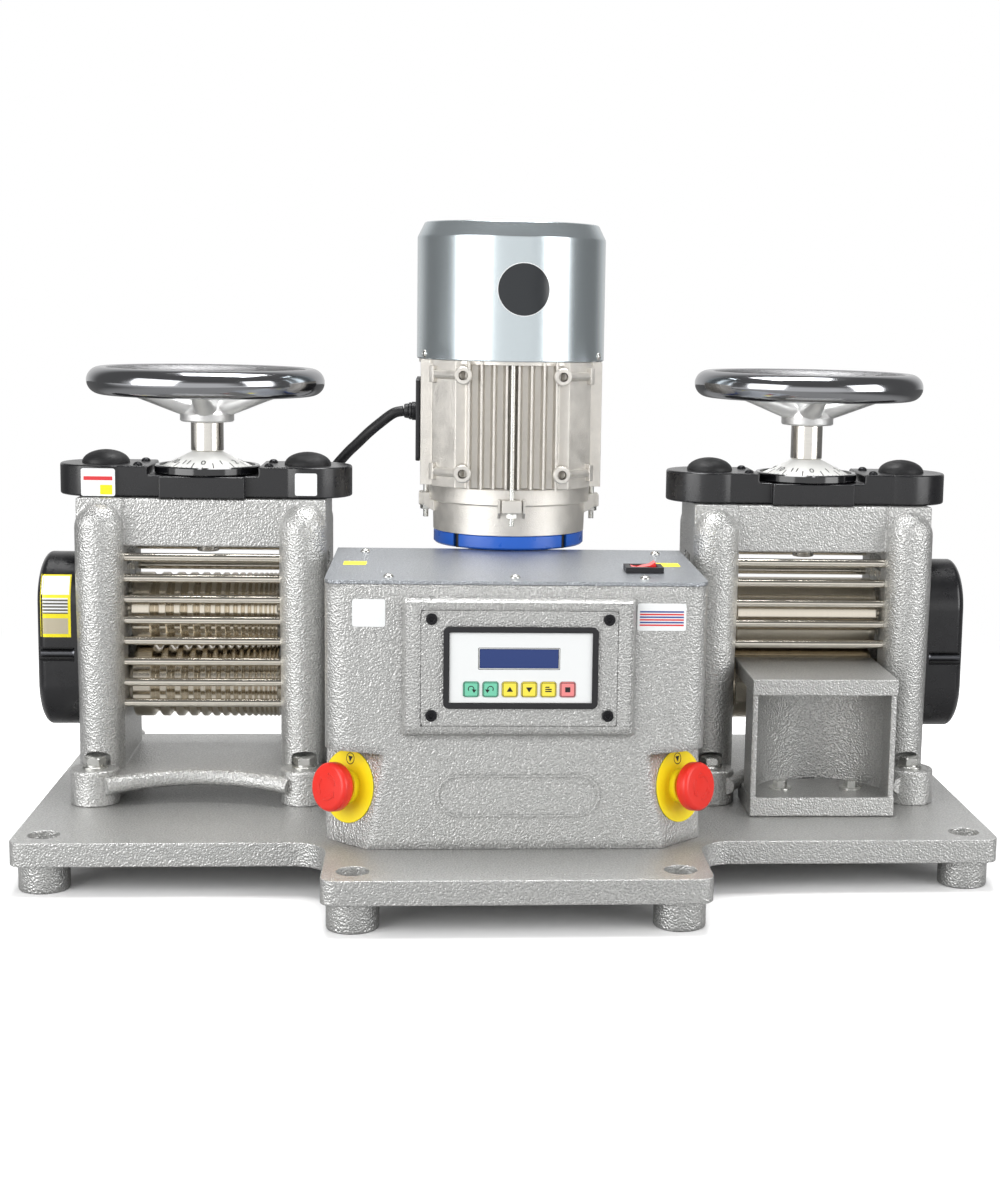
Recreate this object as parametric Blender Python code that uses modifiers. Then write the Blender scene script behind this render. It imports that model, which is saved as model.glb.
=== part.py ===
"""Motor-driven double rolling mill for jewellers, one object for each piece.

Two roll stands share one base plate: the left one has grooved wire rolls, the
right one plain sheet rolls with a work table. A geared motor behind the control
housing drives both lower rolls, and a handwheel on each stand sets its roll gap.

Metres, +Z up. The origin is on the floor under the middle of the base plate.
Stand pieces are modelled about their own stand: x from the stand's middle,
y from the roll axis, z from the top of the base plate.
"""

import bmesh
import bpy
from math import acos, asin, atan2, ceil, cos, pi, radians, sin, sqrt, tan
from mathutils import Matrix, Vector

# Fits and facets
GAP = 0.0003
RUNNING = 0.0003
OVERRUN = 0.002
MERGE = 0.00001
FINE = 24
LOBE_SIDES = 20
ROUND = 16
COARSE = 12
SMALL = 8
TINY = 6

# Base plate and its feet
FOOT_HEIGHT = 0.025
FOOT_RADIUS = 0.021
PLATE_THICKNESS = 0.020
WING_REACH = 0.209
BAY_REACH = 0.318
REAR_REACH = 0.150
PLATE_CORNER = 0.012
BAY_FILLET = 0.028
FOOT_INSET_X = 0.0245
FOOT_INSET_Y = 0.0275
BOLT_HOLE = 0.0065
COUNTERBORE = 0.013
COUNTERBORE_DEPTH = 0.009

BASE_TOP = FOOT_HEIGHT + PLATE_THICKNESS
ROLL_Y = (BAY_REACH - REAR_REACH) / 2

# The lower roll clears the deck, and the chocks' travel sets the stand's height
ROLL_RADIUS = 0.033
DECK_BOTTOM = 0.014
DECK_TOP = 0.029
ROLL_ABOVE_DECK = 0.0335
LOWER_AXIS = DECK_TOP + ROLL_ABOVE_DECK + ROLL_RADIUS
REST_NIP = 0.0006
UPPER_AXIS = LOWER_AXIS + 2 * ROLL_RADIUS + REST_NIP
CHOCK_BELOW = 0.024
CHOCK_ABOVE = 0.042
ROLL_LIFT = 0.005
CHOCK_HEADROOM = 0.0089
WINDOW_TOP = UPPER_AXIS + CHOCK_ABOVE + ROLL_LIFT + CHOCK_HEADROOM
WINDOW_DROP = 0.006
BRIDGE_BOTTOM = WINDOW_TOP + WINDOW_DROP
BRIDGE_HEIGHT = 0.043
STAND_HEIGHT = BRIDGE_BOTTOM + BRIDGE_HEIGHT

# Roll stand casting
ROLL_LENGTH = 0.130
ROLL_END_CLEARANCE = 0.004
CHEEK_THICKNESS = 0.040
CHEEK_INNER = ROLL_LENGTH / 2 + ROLL_END_CLEARANCE
CHEEK_OUTER = CHEEK_INNER + CHEEK_THICKNESS
CHEEK_DEPTH = 0.048
POST_RADIUS = 0.021
POST_FOOT_RADIUS = 0.019
POST_TAPER_START = 0.050
POST_DROP = 0.0045
POST_STRAIGHT = 0.0415
POST_SHOULDER = STAND_HEIGHT - POST_RADIUS - POST_DROP
POST_TAPER_END = POST_SHOULDER - POST_STRAIGHT
BOSS_RADIUS = 0.02125
BOSS_HEIGHT = 0.031
BOSS_X = 0.0916
BOSS_Y = 0.073
BOLT_RECESS = 0.015
BOLT_RECESS_TOP = 0.050
WASHER_RADIUS = 0.0125
WASHER_THICKNESS = 0.0025
BOLT_HEAD_RADIUS = 0.011
BOLT_HEAD_HEIGHT = 0.0085
BRIDGE_DEPTH = 0.045
DECK_REAR = 0.071
DECK_END_REACH = 0.085
DECK_MIDDLE_REACH = 0.070
TABLE_DECK_REACH = 0.040
WINDOW_HALF_WIDTH = 0.023

# The housing sets where the stands are, and they set the plate's width
HOUSING_HALF_WIDTH = 0.156
STAND_CLEARANCE = 0.009
PLATE_MARGIN = 0.030
BAY_MARGIN = 0.002
STAND_X = HOUSING_HALF_WIDTH + STAND_CLEARANCE + CHEEK_OUTER
PLATE_HALF_WIDTH = STAND_X + CHEEK_OUTER + PLATE_MARGIN
BAY_HALF_WIDTH = HOUSING_HALF_WIDTH - BAY_MARGIN

# Guard rods across the stand, top to bottom
ROD_RADIUS = 0.0031
ROD_Y = 0.0435
ROD_DROP = 0.0095
ROD_TOP = BRIDGE_BOTTOM - ROD_DROP
ROD_PITCH = 0.01875
WIRE_STAND_RODS = 8
TABLE_STAND_RODS = 5

# Rolls' journals and grooves
LOWER_JOURNAL = WINDOW_HALF_WIDTH - RUNNING
UPPER_JOURNAL = 0.016
GEAR_SEAT = 0.015
PLAIN_BAND = 0.013
END_LAND = 0.0015
GROOVES = 15
GROOVE_RATIO = 0.9
GROOVE_DEPTH_SHARE = 0.36
JOURNAL_SOCKET = 0.028

# Adjusting screws, which bear on the upper roll's chocks
SCREW_RADIUS = 0.010
SCREW_HOLE_DEPTH = 0.023
SCREW_END_CLEARANCE = 0.0059
SCREW_TIP = UPPER_AXIS + CHOCK_ABOVE - SCREW_HOLE_DEPTH + SCREW_END_CLEARANCE

# Roll gears, cut long so that they stay in mesh as the rolls part
GEAR_TEETH = 12
GEAR_ADDENDUM = 0.0038
GEAR_DEDENDUM = 0.0044
GEAR_TIP = ROLL_RADIUS + GEAR_ADDENDUM
GEAR_ROOT = ROLL_RADIUS - GEAR_DEDENDUM
GEAR_WIDTH = 0.022
GEAR_CLEARANCE = 0.005
GEAR_START = CHEEK_OUTER + GEAR_CLEARANCE
BACKLASH = 0.0022
PRESSURE_ANGLE = radians(20)

# Gear cover on the outer cheek
COVER_WIDTH = 0.039
COVER_WALL = 0.0022
COVER_ROOM = 0.004
COVER_RADIUS = GEAR_TIP + COVER_ROOM + COVER_WALL
COVER_BELOW = 0.0398
COVER_ABOVE = 0.0514
COVER_BOTTOM = LOWER_AXIS - COVER_BELOW
COVER_TOP = UPPER_AXIS + COVER_ABOVE
COVER_CROWN = 0.010
COVER_CROWN_REACH = 0.032
COVER_ARC_STEPS = 10
COVER_GROOVE_Z = 0.1265
COVER_GROOVE = 0.0062
COVER_GROOVE_START = 0.003

# Top cover with its sprockets
TOP_COVER_BOTTOM = STAND_HEIGHT + GAP
TOP_COVER_HEIGHT = 0.028
TOP_COVER_TOP = STAND_HEIGHT + TOP_COVER_HEIGHT
TOP_COVER_WALL = 0.003
LOBE_X = 0.090
LOBE_RADIUS = 0.040
NECK_REACH = 0.0365
BLOCK_HALF_WIDTH = 0.0375
BLOCK_REACH = 0.046
BLOCK_STEP = 0.0085
BLOCK_TOP = TOP_COVER_TOP - BLOCK_STEP
RING_RADIUS = 0.047
RING_WALL = 0.0045
RING_HEIGHT_OVER_BLOCK = 0.0078
RING_BOTTOM = BLOCK_TOP + GAP
RING_TOP = BLOCK_TOP + RING_HEIGHT_OVER_BLOCK
CAP_RADIUS = 0.021
CAP_HEIGHT = 0.010
CAP_SKIRT = 0.001
SPROCKET_RADIUS = 0.028
SPROCKET_LIFT = 0.003
SPROCKET_BOTTOM = STAND_HEIGHT + SPROCKET_LIFT
SPROCKET_THICKNESS = 0.012

# Handwheel, dial and spindle
SPINDLE_RADIUS = 0.008
SPINDLE_NUT = 0.010
SPINDLE_NUT_DROP = 0.0005
SPINDLE_NUT_HEIGHT = 0.008
SPINDLE_NUT_TOP = BRIDGE_BOTTOM - SPINDLE_NUT_DROP
SPINDLE_NUT_BOTTOM = SPINDLE_NUT_TOP - SPINDLE_NUT_HEIGHT
COLLAR_RADIUS = 0.0145
DIAL_SEAT = 0.002
DIAL_RIM = 0.0035
DIAL_HEIGHT = 0.0175
DIAL_BOTTOM = BLOCK_TOP + DIAL_SEAT
DIAL_EDGE = DIAL_BOTTOM + DIAL_RIM
DIAL_TOP = DIAL_BOTTOM + DIAL_HEIGHT
DIAL_RADIUS = 0.0415
HUB_RADIUS = 0.024
HUB_HEIGHT = 0.020
HUB_ABOVE_DIAL = 0.027
HUB_BOTTOM = DIAL_TOP + HUB_ABOVE_DIAL
HUB_RISE = {-1: 0.0, 1: 0.005}
WHEEL_RADIUS = 0.104
RIM_RADIUS = 0.011
RIM_ABOVE_HUB = 0.0362
SPOKES = 5
SPOKE_HUB_RADIUS = 0.008
SPOKE_RIM_RADIUS = 0.0075

# Work table in front of the plain rolls
TABLE_TOP = 0.123
TABLE_THICKNESS = 0.014
TABLE_HALF_WIDTH = 0.0645
TABLE_FRONT = 0.132
TABLE_REAR = 0.022
TABLE_ROLL_CLEARANCE = 0.0015
FLANGE_HEIGHT = 0.016
FLANGE_REAR = 0.100
RIB_THICKNESS = 0.004
RIB_RECESS = 0.003
WEB_END_REACH = 0.116
WEB_MIDDLE_REACH = 0.0585
WEB_THICKNESS = 0.008
TABLE_BOLT_X = 0.032
TABLE_BOLT_Y = 0.083
TABLE_WASHER = 0.010
TABLE_WASHER_THICKNESS = 0.0015
TABLE_BOLT_HEAD = 0.0065
TABLE_BOLT_HEIGHT = 0.006
FLANGE_NOTCH_HALF_WIDTH = 0.0095
FLANGE_NOTCH_HEIGHT = 0.0015

# Control housing
HOUSING_FRONT = 0.230
HOUSING_REAR = 0.016
HOUSING_TOP = 0.218
HOUSING_WALL = 0.003
HOUSING_CORNER = 0.020
HOUSING_TOP_CORNER = 0.014
HOUSING_BLEND_Z = 0.085
HOUSING_LEAN = 0.004
REAR_STRIP_HEIGHT = 0.014
REAR_STRIP_BOTTOM = HOUSING_TOP - REAR_STRIP_HEIGHT
FACET_Z = 0.047
FACET_INSET = 0.019
FACET_SETBACK = 0.025
FACET_X = HOUSING_HALF_WIDTH - FACET_INSET
FACET_Y = HOUSING_FRONT - FACET_SETBACK
FACET_TILT = radians(8)
FACET_TOP = 0.032
FACET_SIZE = 0.090
LID_THICKNESS = 0.003
LID_CORNER = 0.012

# Rear cover round the gearbox
REAR_COVER_INSET = 0.006
REAR_COVER_HALF_WIDTH = HOUSING_HALF_WIDTH - REAR_COVER_INSET
REAR_COVER_DEPTH = 0.128
REAR_COVER_DROP = 0.020
REAR_COVER_TOP = HOUSING_TOP - REAR_COVER_DROP
REAR_COVER_WALL = 0.002
REAR_COVER_CORNER = 0.012
SHAFT_PORT = 0.024
NECK_PORT = 0.040

# Control panel: a raised pad, a screwed plate, and the keypad unit in it
PAD_LEFT = -0.090
PAD_RIGHT = 0.093
PAD_BOTTOM = 0.098
PAD_TOP = 0.205
PAD_PROUD = 0.006
PAD_MARGIN = 0.0118
PAD_RECESS = 0.003
PLATE_CLEARANCE = 0.0004
UNIT_LEFT = -0.060
UNIT_RIGHT = 0.065
UNIT_BOTTOM = 0.119
UNIT_TOP = 0.186
UNIT_PROUD = 0.003
UNIT_BODY_MARGIN = 0.0025
UNIT_RIM = 0.0045
UNIT_FLOOR = 0.0022
OVERLAY_THICKNESS = 0.0026
LCD_LEFT = -0.031
LCD_RIGHT = 0.033
LCD_BOTTOM = 0.152
LCD_TOP = 0.168
LCD_THICKNESS = 0.0022
KEY_COUNT = 6
KEY_SIZE = 0.0123
KEY_PITCH = 0.0156
KEY_FIRST_X = -0.0375
KEY_Z = 0.1349
KEY_THICKNESS = 0.0026
KEY_PROUD = 0.0007
KEY_CLEARANCE = 0.0003
KEY_CORNER = 0.0014

# Rocker switch on the lid
SWITCH_INSET = 0.048
SWITCH_X = HOUSING_HALF_WIDTH - SWITCH_INSET
SWITCH_Y = 0.160
SWITCH_WIDTH = 0.032
SWITCH_DEPTH = 0.026
SWITCH_FLANGE = 0.005
SWITCH_BODY_MARGIN = 0.003
SWITCH_BODY_DEPTH = 0.018
SWITCH_FLOOR = 0.002
SWITCH_RIM = 0.0045
SWITCH_TILT = radians(11)
ROCKER_PROUD = 0.0095
ROCKER_CLEARANCE = 0.0012

# Emergency stops on the facets
LEGEND_RADIUS = 0.0302
LEGEND_THICKNESS = 0.0012
STOP_COLLAR = 0.0145
STOP_COLLAR_HEIGHT = 0.0055
STOP_BODY = 0.011
STOP_BODY_DEPTH = 0.016
STOP_STEM = 0.0075
STOP_STEM_DEPTH = 0.010
STOP_TRAVEL = 0.004
STOP_END_CLEARANCE = 0.0008
MUSHROOM_RADIUS = 0.0202
MUSHROOM_BACK = LEGEND_THICKNESS + STOP_COLLAR_HEIGHT + STOP_TRAVEL + STOP_END_CLEARANCE
MUSHROOM_EDGE = MUSHROOM_BACK + 0.008
MUSHROOM_FRONT = MUSHROOM_EDGE + 0.0045
MUSHROOM_NECK = 0.0125

# Gearbox behind the housing
MOTOR_Y = 0.038
GEARBOX_CASE = 0.050
GEARBOX_CASE_WIDTH = 0.042
GEARBOX_BOSS = 0.026
GEARBOX_BOSS_WIDTH = 0.060
GEARBOX_NECK = 0.0375
GEARBOX_COLUMN_BOTTOM = 0.050
GEARBOX_FOOT_WIDTH = 0.055
GEARBOX_FOOT_FRONT = 0.045
GEARBOX_FOOT_REAR = 0.085
GEARBOX_FOOT_HEIGHT = 0.014
GEARBOX_RIB_WIDTH = 0.008
SHAFT_RADIUS = 0.014
ROTOR_SOCKET_DEPTH = 0.040

# Motor
RING_BASE = 0.222
RING_HEIGHT = 0.0125
FLANGE_RADIUS = 0.070
FLANGE_BORE = 0.030
FLANGE_CHAMFER = 0.002
FLANGE_SLOT_WIDTH = 0.0065
FLANGE_SLOT_DEPTH = 0.007
SHIELD_TOP = 0.278
SHIELD_STEP = 0.262
SHIELD_LOWER = 0.071
SHIELD_UPPER = 0.075
SHIELD_PLATE = 0.012
LUG_BOTTOM = 0.2567
LUG_TOP = 0.2685
LUG_HALF_WIDTH = 0.009
LUG_REACH = 0.084
WEB_OFFSET = 0.0012
LUG_WEB = 0.0022
LUG_WEB_REACH = 0.0795
LUG_WEB_DROP = 0.006
STUD_RADIUS = 0.003
STUD_NUT = 0.005
STUD_NUT_HEIGHT = 0.0045
STUD_BOTTOM = 0.245
STUD_REACH = 0.0775
STATOR_TOP = 0.392
STATOR_TIP = 0.0825
STATOR_ROOT = 0.071
FIN_SPAN = 0.0448
FIN_COUNT = 8
FIN_TIP_THICKNESS = 0.0026
FIN_ROOT_THICKNESS = 0.0036
PAD_EDGE = 0.0507
PAD_LEVEL = 0.0716
STATOR_BORE = 0.0415
STATOR_SPIGOT = 0.010
BOSS_PAD_X = 0.0445
BOSS_PAD_LOW = 0.292
BOSS_PAD_HIGH = 0.3795
BOSS_PAD_RADIUS = 0.008
BOSS_PAD_HOLE = 0.0035
BOSS_PAD_DEPTH = 0.012
BOSS_PAD_PROUD = 0.0035
ARM_RADIUS = 0.0038
ARM_END_X = 0.0700
ARM_END_Y = 0.0530
TAB_WIDTH = 0.0055
TAB_PROUD = 0.0042
TAB_HEIGHT = 0.015
COWL_RADIUS = 0.0866
COWL_WALL = 0.0015
COWL_SHOULDER = 0.502
COWL_TOP = 0.516
COWL_TOP_RADIUS = 0.080
COWL_SLOTS = 12
COWL_SLOT_INNER = 0.030
COWL_SLOT_OUTER = 0.068
COWL_SLOT_WIDTH = 0.005
ROTOR_SHAFT = 0.007
ROTOR_CORE = 0.040
ROTOR_CORE_BOTTOM = 0.300
ROTOR_CORE_TOP = 0.372
ROTOR_TOP = 0.468
FAN_HUB = 0.018
FAN_RADIUS = 0.072
FAN_BOTTOM = 0.425
FAN_DISC = 0.003
FAN_HEIGHT = 0.028
FAN_BLADES = 6
FAN_BLADE_THICKNESS = 0.002

# Terminal plate and motor lead
TERMINAL_OUTER = 0.087
TERMINAL_BOTTOM = 0.299
TERMINAL_TOP = 0.374
TERMINAL_HALF_WIDTH = 0.034
TERMINAL_CORNER = 0.004
GLAND_Z = 0.343
GLAND_RADIUS = 0.0085
GLAND_NECK = 0.0065
GLAND_FLANGE = 0.004
GLAND_LENGTH = 0.011
LEAD_DIAMETER = 0.0096
LEAD_END_Y = 0.106
LEAD_END_Z = 0.024
LEAD_STEP = 0.018

# The lead's own points between the two glands, from the machine's middle,
# the roll axis and the base plate
LEAD_ROUTE = [
    (-0.108, 0.0385, 0.3405),
    (-0.120, 0.0405, 0.3315),
    (-0.131, 0.0440, 0.3220),
    (-0.141, 0.0490, 0.3120),
    (-0.152, 0.0550, 0.3010),
    (-0.165, 0.0620, 0.2850),
    (-0.178, 0.0700, 0.2620),
    (-0.191, 0.0780, 0.2320),
    (-0.202, 0.0840, 0.1980),
    (-0.209, 0.0890, 0.1600),
    (-0.213, 0.0935, 0.1200),
    (-0.214, 0.0975, 0.0850),
    (-0.211, 0.1015, 0.0580),
    (-0.204, 0.1045, 0.0390),
    (-0.193, 0.1060, 0.0275),
]

PAINT = ("hammered_paint", (0.45, 0.46, 0.47), 0.35, 0.6)
BLACK = ("black_plastic", (0.012, 0.012, 0.014), 0.35, 0.0)
STEEL = ("ground_steel", (0.58, 0.56, 0.52), 0.25, 1.0)
CHROME = ("chrome", (0.75, 0.75, 0.76), 0.08, 1.0)
CAST_ALUMINIUM = ("cast_aluminium", (0.62, 0.60, 0.56), 0.42, 0.9)
COWL_PAINT = ("cowl_paint", (0.50, 0.55, 0.58), 0.3, 0.7)
BLUE = ("blue_enamel", (0.014, 0.11, 0.50), 0.35, 0.0)
RED = ("red_plastic", (0.85, 0.06, 0.025), 0.35, 0.0)
YELLOW = ("yellow_plastic", (0.95, 0.78, 0.01), 0.4, 0.0)
WHITE = ("white_film", (0.85, 0.86, 0.86), 0.4, 0.0)
LCD_BLUE = ("display_blue", (0.05, 0.08, 0.25), 0.2, 0.0)
MINT = ("mint_key", (0.20, 0.74, 0.51), 0.45, 0.0)
KEY_YELLOW = ("yellow_key", (0.95, 0.90, 0.16), 0.45, 0.0)
PINK = ("pink_key", (0.90, 0.32, 0.32), 0.45, 0.0)
RUBBER = ("black_rubber", (0.02, 0.02, 0.022), 0.6, 0.0)
KEY_FINISHES = (MINT, MINT, KEY_YELLOW, KEY_YELLOW, KEY_YELLOW, PINK)

# Turns that lay a flat outline in another plane
ACROSS = Matrix(((0, 0, 1, 0), (1, 0, 0, 0), (0, 1, 0, 0), (0, 0, 0, 1)))
UPRIGHT = Matrix(((1, 0, 0, 0), (0, 0, -1, 0), (0, 1, 0, 0), (0, 0, 0, 1)))


def clear_scene():
    for item in list(bpy.data.objects):
        bpy.data.objects.remove(item)


def make_collection(name):
    group = bpy.data.collections.new(name)
    bpy.context.scene.collection.children.link(group)
    return group


clear_scene()
PARTS = make_collection("rolling_mill")
CUTTERS = make_collection("cutters")


def get_material(finish):
    name, colour, roughness, metallic = finish
    material = bpy.data.materials.get(name)
    if material is None:
        material = bpy.data.materials.new(name)
        material.use_nodes = True
        shader = material.node_tree.nodes["Principled BSDF"]
        shader.inputs["Base Color"].default_value = (*colour, 1)
        shader.inputs["Roughness"].default_value = roughness
        shader.inputs["Metallic"].default_value = metallic
        material.diffuse_color = (*colour, 1)
    return material


def from_bmesh(name, shape):
    """A new object in the cutters' collection, until it is placed as a part."""
    mesh = bpy.data.meshes.new(name)
    shape.to_mesh(mesh)
    shape.free()
    item = bpy.data.objects.new(name, mesh)
    CUTTERS.objects.link(item)
    return item


def as_part(item, name, finish, location=(0, 0, 0), smooth=True):
    """Name a finished shape, give it its material and put it in its place."""
    CUTTERS.objects.unlink(item)
    PARTS.objects.link(item)
    item.name = name
    item.data.name = name
    item.data.materials.clear()
    item.data.materials.append(get_material(finish))
    item.location = location
    if smooth:
        item.data.shade_smooth()
        item.data.set_sharp_from_angle(angle=radians(35))
    return item


def baked(item, name, matrix=Matrix.Identity(4)):
    """Turn a curve, or an object with modifiers, into one plain welded mesh."""
    bpy.context.view_layer.update()
    source = item.evaluated_get(bpy.context.evaluated_depsgraph_get())
    mesh = bpy.data.meshes.new_from_object(source)
    shape = bmesh.new()
    shape.from_mesh(mesh)
    shape.transform(matrix @ item.matrix_world)
    bmesh.ops.remove_doubles(shape, verts=shape.verts, dist=MERGE)
    bmesh.ops.dissolve_degenerate(shape, edges=shape.edges, dist=MERGE)
    bmesh.ops.recalc_face_normals(shape, faces=shape.faces)
    bpy.data.meshes.remove(mesh)
    bpy.data.objects.remove(item)
    return from_bmesh(name, shape)


def boolean(target, tool, operation):
    tool.parent = target
    tool.hide_render = True
    tool.display_type = "WIRE"
    modifier = target.modifiers.new(operation.lower(), "BOOLEAN")
    modifier.operation = operation
    modifier.solver = "EXACT"
    modifier.object = tool


def cut(target, *tools):
    for tool in tools:
        boolean(target, tool, "DIFFERENCE")


def fuse(target, *tools):
    for tool in tools:
        boolean(target, tool, "UNION")


def box(name, low, high):
    """A box between two corners, given in either order."""
    shape = bmesh.new()
    bmesh.ops.create_cube(shape, size=1)
    size = [abs(b - a) for a, b in zip(low, high)]
    middle = [(a + b) / 2 for a, b in zip(low, high)]
    bmesh.ops.scale(shape, vec=size, verts=shape.verts)
    bmesh.ops.translate(shape, vec=middle, verts=shape.verts)
    return from_bmesh(name, shape)


def rod(name, start, end, radius, end_radius=None, sides=COARSE):
    """A round bar, or a taper, between two points."""
    start, end = Vector(start), Vector(end)
    span = end - start
    shape = bmesh.new()
    bmesh.ops.create_cone(
        shape, cap_ends=True, segments=sides, radius1=radius,
        radius2=radius if end_radius is None else end_radius, depth=span.length)
    turn = span.to_track_quat("Z", "Y").to_matrix().to_4x4()
    shape.transform(Matrix.Translation((start + end) / 2) @ turn)
    return from_bmesh(name, shape)


def turned(name, profile, sides=ROUND, matrix=Matrix.Identity(4), closed=False):
    """Turn (radius, height) points, listed top to bottom, about +Z."""
    mesh = bpy.data.meshes.new(name)
    points = [(radius, 0, height) for radius, height in profile]
    edges = [(i, i + 1) for i in range(len(points) - 1)]
    if closed:
        edges.append((len(points) - 1, 0))
    mesh.from_pydata(points, edges, [])
    item = bpy.data.objects.new(name, mesh)
    CUTTERS.objects.link(item)
    screw = item.modifiers.new("turn", "SCREW")
    screw.axis = "Z"
    screw.angle = 2 * pi
    screw.steps = sides
    screw.render_steps = sides
    screw.use_merge_vertices = True
    screw.merge_threshold = MERGE
    return baked(item, name, matrix)


def plate(name, outlines, bottom, top, matrix=Matrix.Identity(4)):
    """Extrude a flat outline and its holes between two heights."""
    curve = bpy.data.curves.new(name, "CURVE")
    curve.dimensions = "2D"
    curve.fill_mode = "BOTH"
    curve.extrude = abs(top - bottom) / 2
    for outline in outlines:
        spline = curve.splines.new("POLY")
        spline.points.add(len(outline) - 1)
        for point, (x, y) in zip(spline.points, outline):
            point.co = (x, y, 0, 1)
        spline.use_cyclic_u = True
    item = bpy.data.objects.new(name, curve)
    CUTTERS.objects.link(item)
    item.location.z = (bottom + top) / 2
    return baked(item, name, matrix)


def tube(name, points, radius, resolution=1):
    """A round wire along points, with closed ends."""
    curve = bpy.data.curves.new(name, "CURVE")
    curve.dimensions = "3D"
    curve.bevel_depth = radius
    curve.bevel_resolution = resolution
    curve.use_fill_caps = True
    spline = curve.splines.new("POLY")
    spline.points.add(len(points) - 1)
    for point, place in zip(spline.points, points):
        point.co = (*place, 1)
    item = bpy.data.objects.new(name, curve)
    CUTTERS.objects.link(item)
    return item


def arc(centre, radius, start, end, steps):
    """Points along an arc, both ends included, angles in radians."""
    angles = [start + (end - start) * i / steps for i in range(steps + 1)]
    return [(centre[0] + radius * cos(a), centre[1] + radius * sin(a)) for a in angles]


def rounded(corners, steps=4):
    """An outline from (x, y, radius) corners, each rounded by its own radius."""
    outline = []
    count = len(corners)
    for i, (x, y, radius) in enumerate(corners):
        here = Vector((x, y))
        to_last = (Vector(corners[i - 1][:2]) - here).normalized()
        to_next = (Vector(corners[(i + 1) % count][:2]) - here).normalized()
        if radius == 0:
            outline.append((x, y))
            continue
        half = acos(max(-1, min(1, to_last.dot(to_next)))) / 2
        reach = radius / tan(half)
        centre = here + (to_last + to_next).normalized() * (radius / sin(half))
        first = here + to_last * reach - centre
        last = here + to_next * reach - centre
        begin = atan2(first.y, first.x)
        sweep = atan2(last.y, last.x) - begin
        sweep = (sweep + pi) % (2 * pi) - pi
        outline += arc(centre, radius, begin, begin + sweep, steps)
    return outline


def rectangle(left, right, bottom, top, corner=0, steps=3):
    corners = [(left, bottom, corner), (right, bottom, corner),
               (right, top, corner), (left, top, corner)]
    return rounded(corners, steps)


def circle(centre, radius, sides):
    return arc(centre, radius, 0, 2 * pi * (sides - 1) / sides, sides - 1)


def arc_through(half_width, end_reach, middle_reach, steps):
    """An arc in plan, bowed to the rear: its ends lie at end_reach in front."""
    bow = end_reach - middle_reach
    radius = (half_width ** 2 + bow ** 2) / (2 * bow)
    half_angle = asin(half_width / radius)
    centre_y = -middle_reach - radius
    places = []
    for i in range(steps + 1):
        angle = half_angle - 2 * half_angle * i / steps
        places.append((radius * sin(angle), centre_y + radius * cos(angle)))
    return places


def loft(name, sections):
    """Skin rings of equal point counts, listed bottom to top, and cap both ends."""
    shape = bmesh.new()
    rings = [[shape.verts.new(point) for point in section] for section in sections]
    count = len(rings[0])
    for lower, upper in zip(rings, rings[1:]):
        for i in range(count):
            j = (i + 1) % count
            shape.faces.new((lower[i], lower[j], upper[j], upper[i]))
    shape.faces.new(list(reversed(rings[0])))
    shape.faces.new(rings[-1])
    bmesh.ops.recalc_face_normals(shape, faces=shape.faces)
    return from_bmesh(name, shape)


def stand_origin(side):
    return Vector((side * STAND_X, ROLL_Y, BASE_TOP))


def machine_origin():
    return Vector((0, ROLL_Y, BASE_TOP))


def foot_places():
    """Feet under the bay's front, the wings' front and the whole rear edge."""
    wing_x = PLATE_HALF_WIDTH - FOOT_INSET_X
    bay_x = BAY_HALF_WIDTH - FOOT_INSET_X
    rows = [(bay_x, -BAY_REACH + FOOT_INSET_Y), (wing_x, -WING_REACH + FOOT_INSET_Y),
            (wing_x, REAR_REACH - FOOT_INSET_Y), (bay_x, REAR_REACH - FOOT_INSET_Y)]
    return [(side * x, y) for x, y in rows for side in (-1, 1)]


def bay_outline():
    """The bay in front, with a fillet where each side runs into a wing."""
    flare = BAY_HALF_WIDTH + BAY_FILLET
    fillet_y = -WING_REACH - BAY_FILLET
    root_y = -WING_REACH + BAY_FILLET
    left = [(-flare, root_y)] + arc((-flare, fillet_y), BAY_FILLET, pi / 2, 0, 4)
    right = arc((flare, fillet_y), BAY_FILLET, pi, pi / 2, 4) + [(flare, root_y)]
    inner = BAY_HALF_WIDTH - PLATE_CORNER
    front_y = -BAY_REACH + PLATE_CORNER
    front = arc((-inner, front_y), PLATE_CORNER, pi, 3 * pi / 2, 3)
    front += arc((inner, front_y), PLATE_CORNER, -pi / 2, 0, 3)
    return left + front + right


def make_base():
    bottom = -PLATE_THICKNESS
    wings = rectangle(-PLATE_HALF_WIDTH, PLATE_HALF_WIDTH, -WING_REACH, REAR_REACH,
                      PLATE_CORNER)
    base = plate("plate", [wings], bottom, 0)
    fuse(base, plate("bay", [bay_outline()], bottom, 0))
    for x, y in foot_places():
        foot = rod("foot", (x, y, bottom - FOOT_HEIGHT), (x, y, bottom + OVERRUN),
                   FOOT_RADIUS, sides=COARSE)
        fuse(base, foot)
    for x, y in foot_places():
        hole = turned("hole", [
            (0, OVERRUN), (COUNTERBORE, OVERRUN), (COUNTERBORE, -COUNTERBORE_DEPTH),
            (BOLT_HOLE, -COUNTERBORE_DEPTH), (BOLT_HOLE, bottom - FOOT_HEIGHT - OVERRUN),
            (0, bottom - FOOT_HEIGHT - OVERRUN)], SMALL, Matrix.Translation((x, y, 0)))
        cut(base, hole)
    as_part(base, "base_plate", PAINT, machine_origin())


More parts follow.
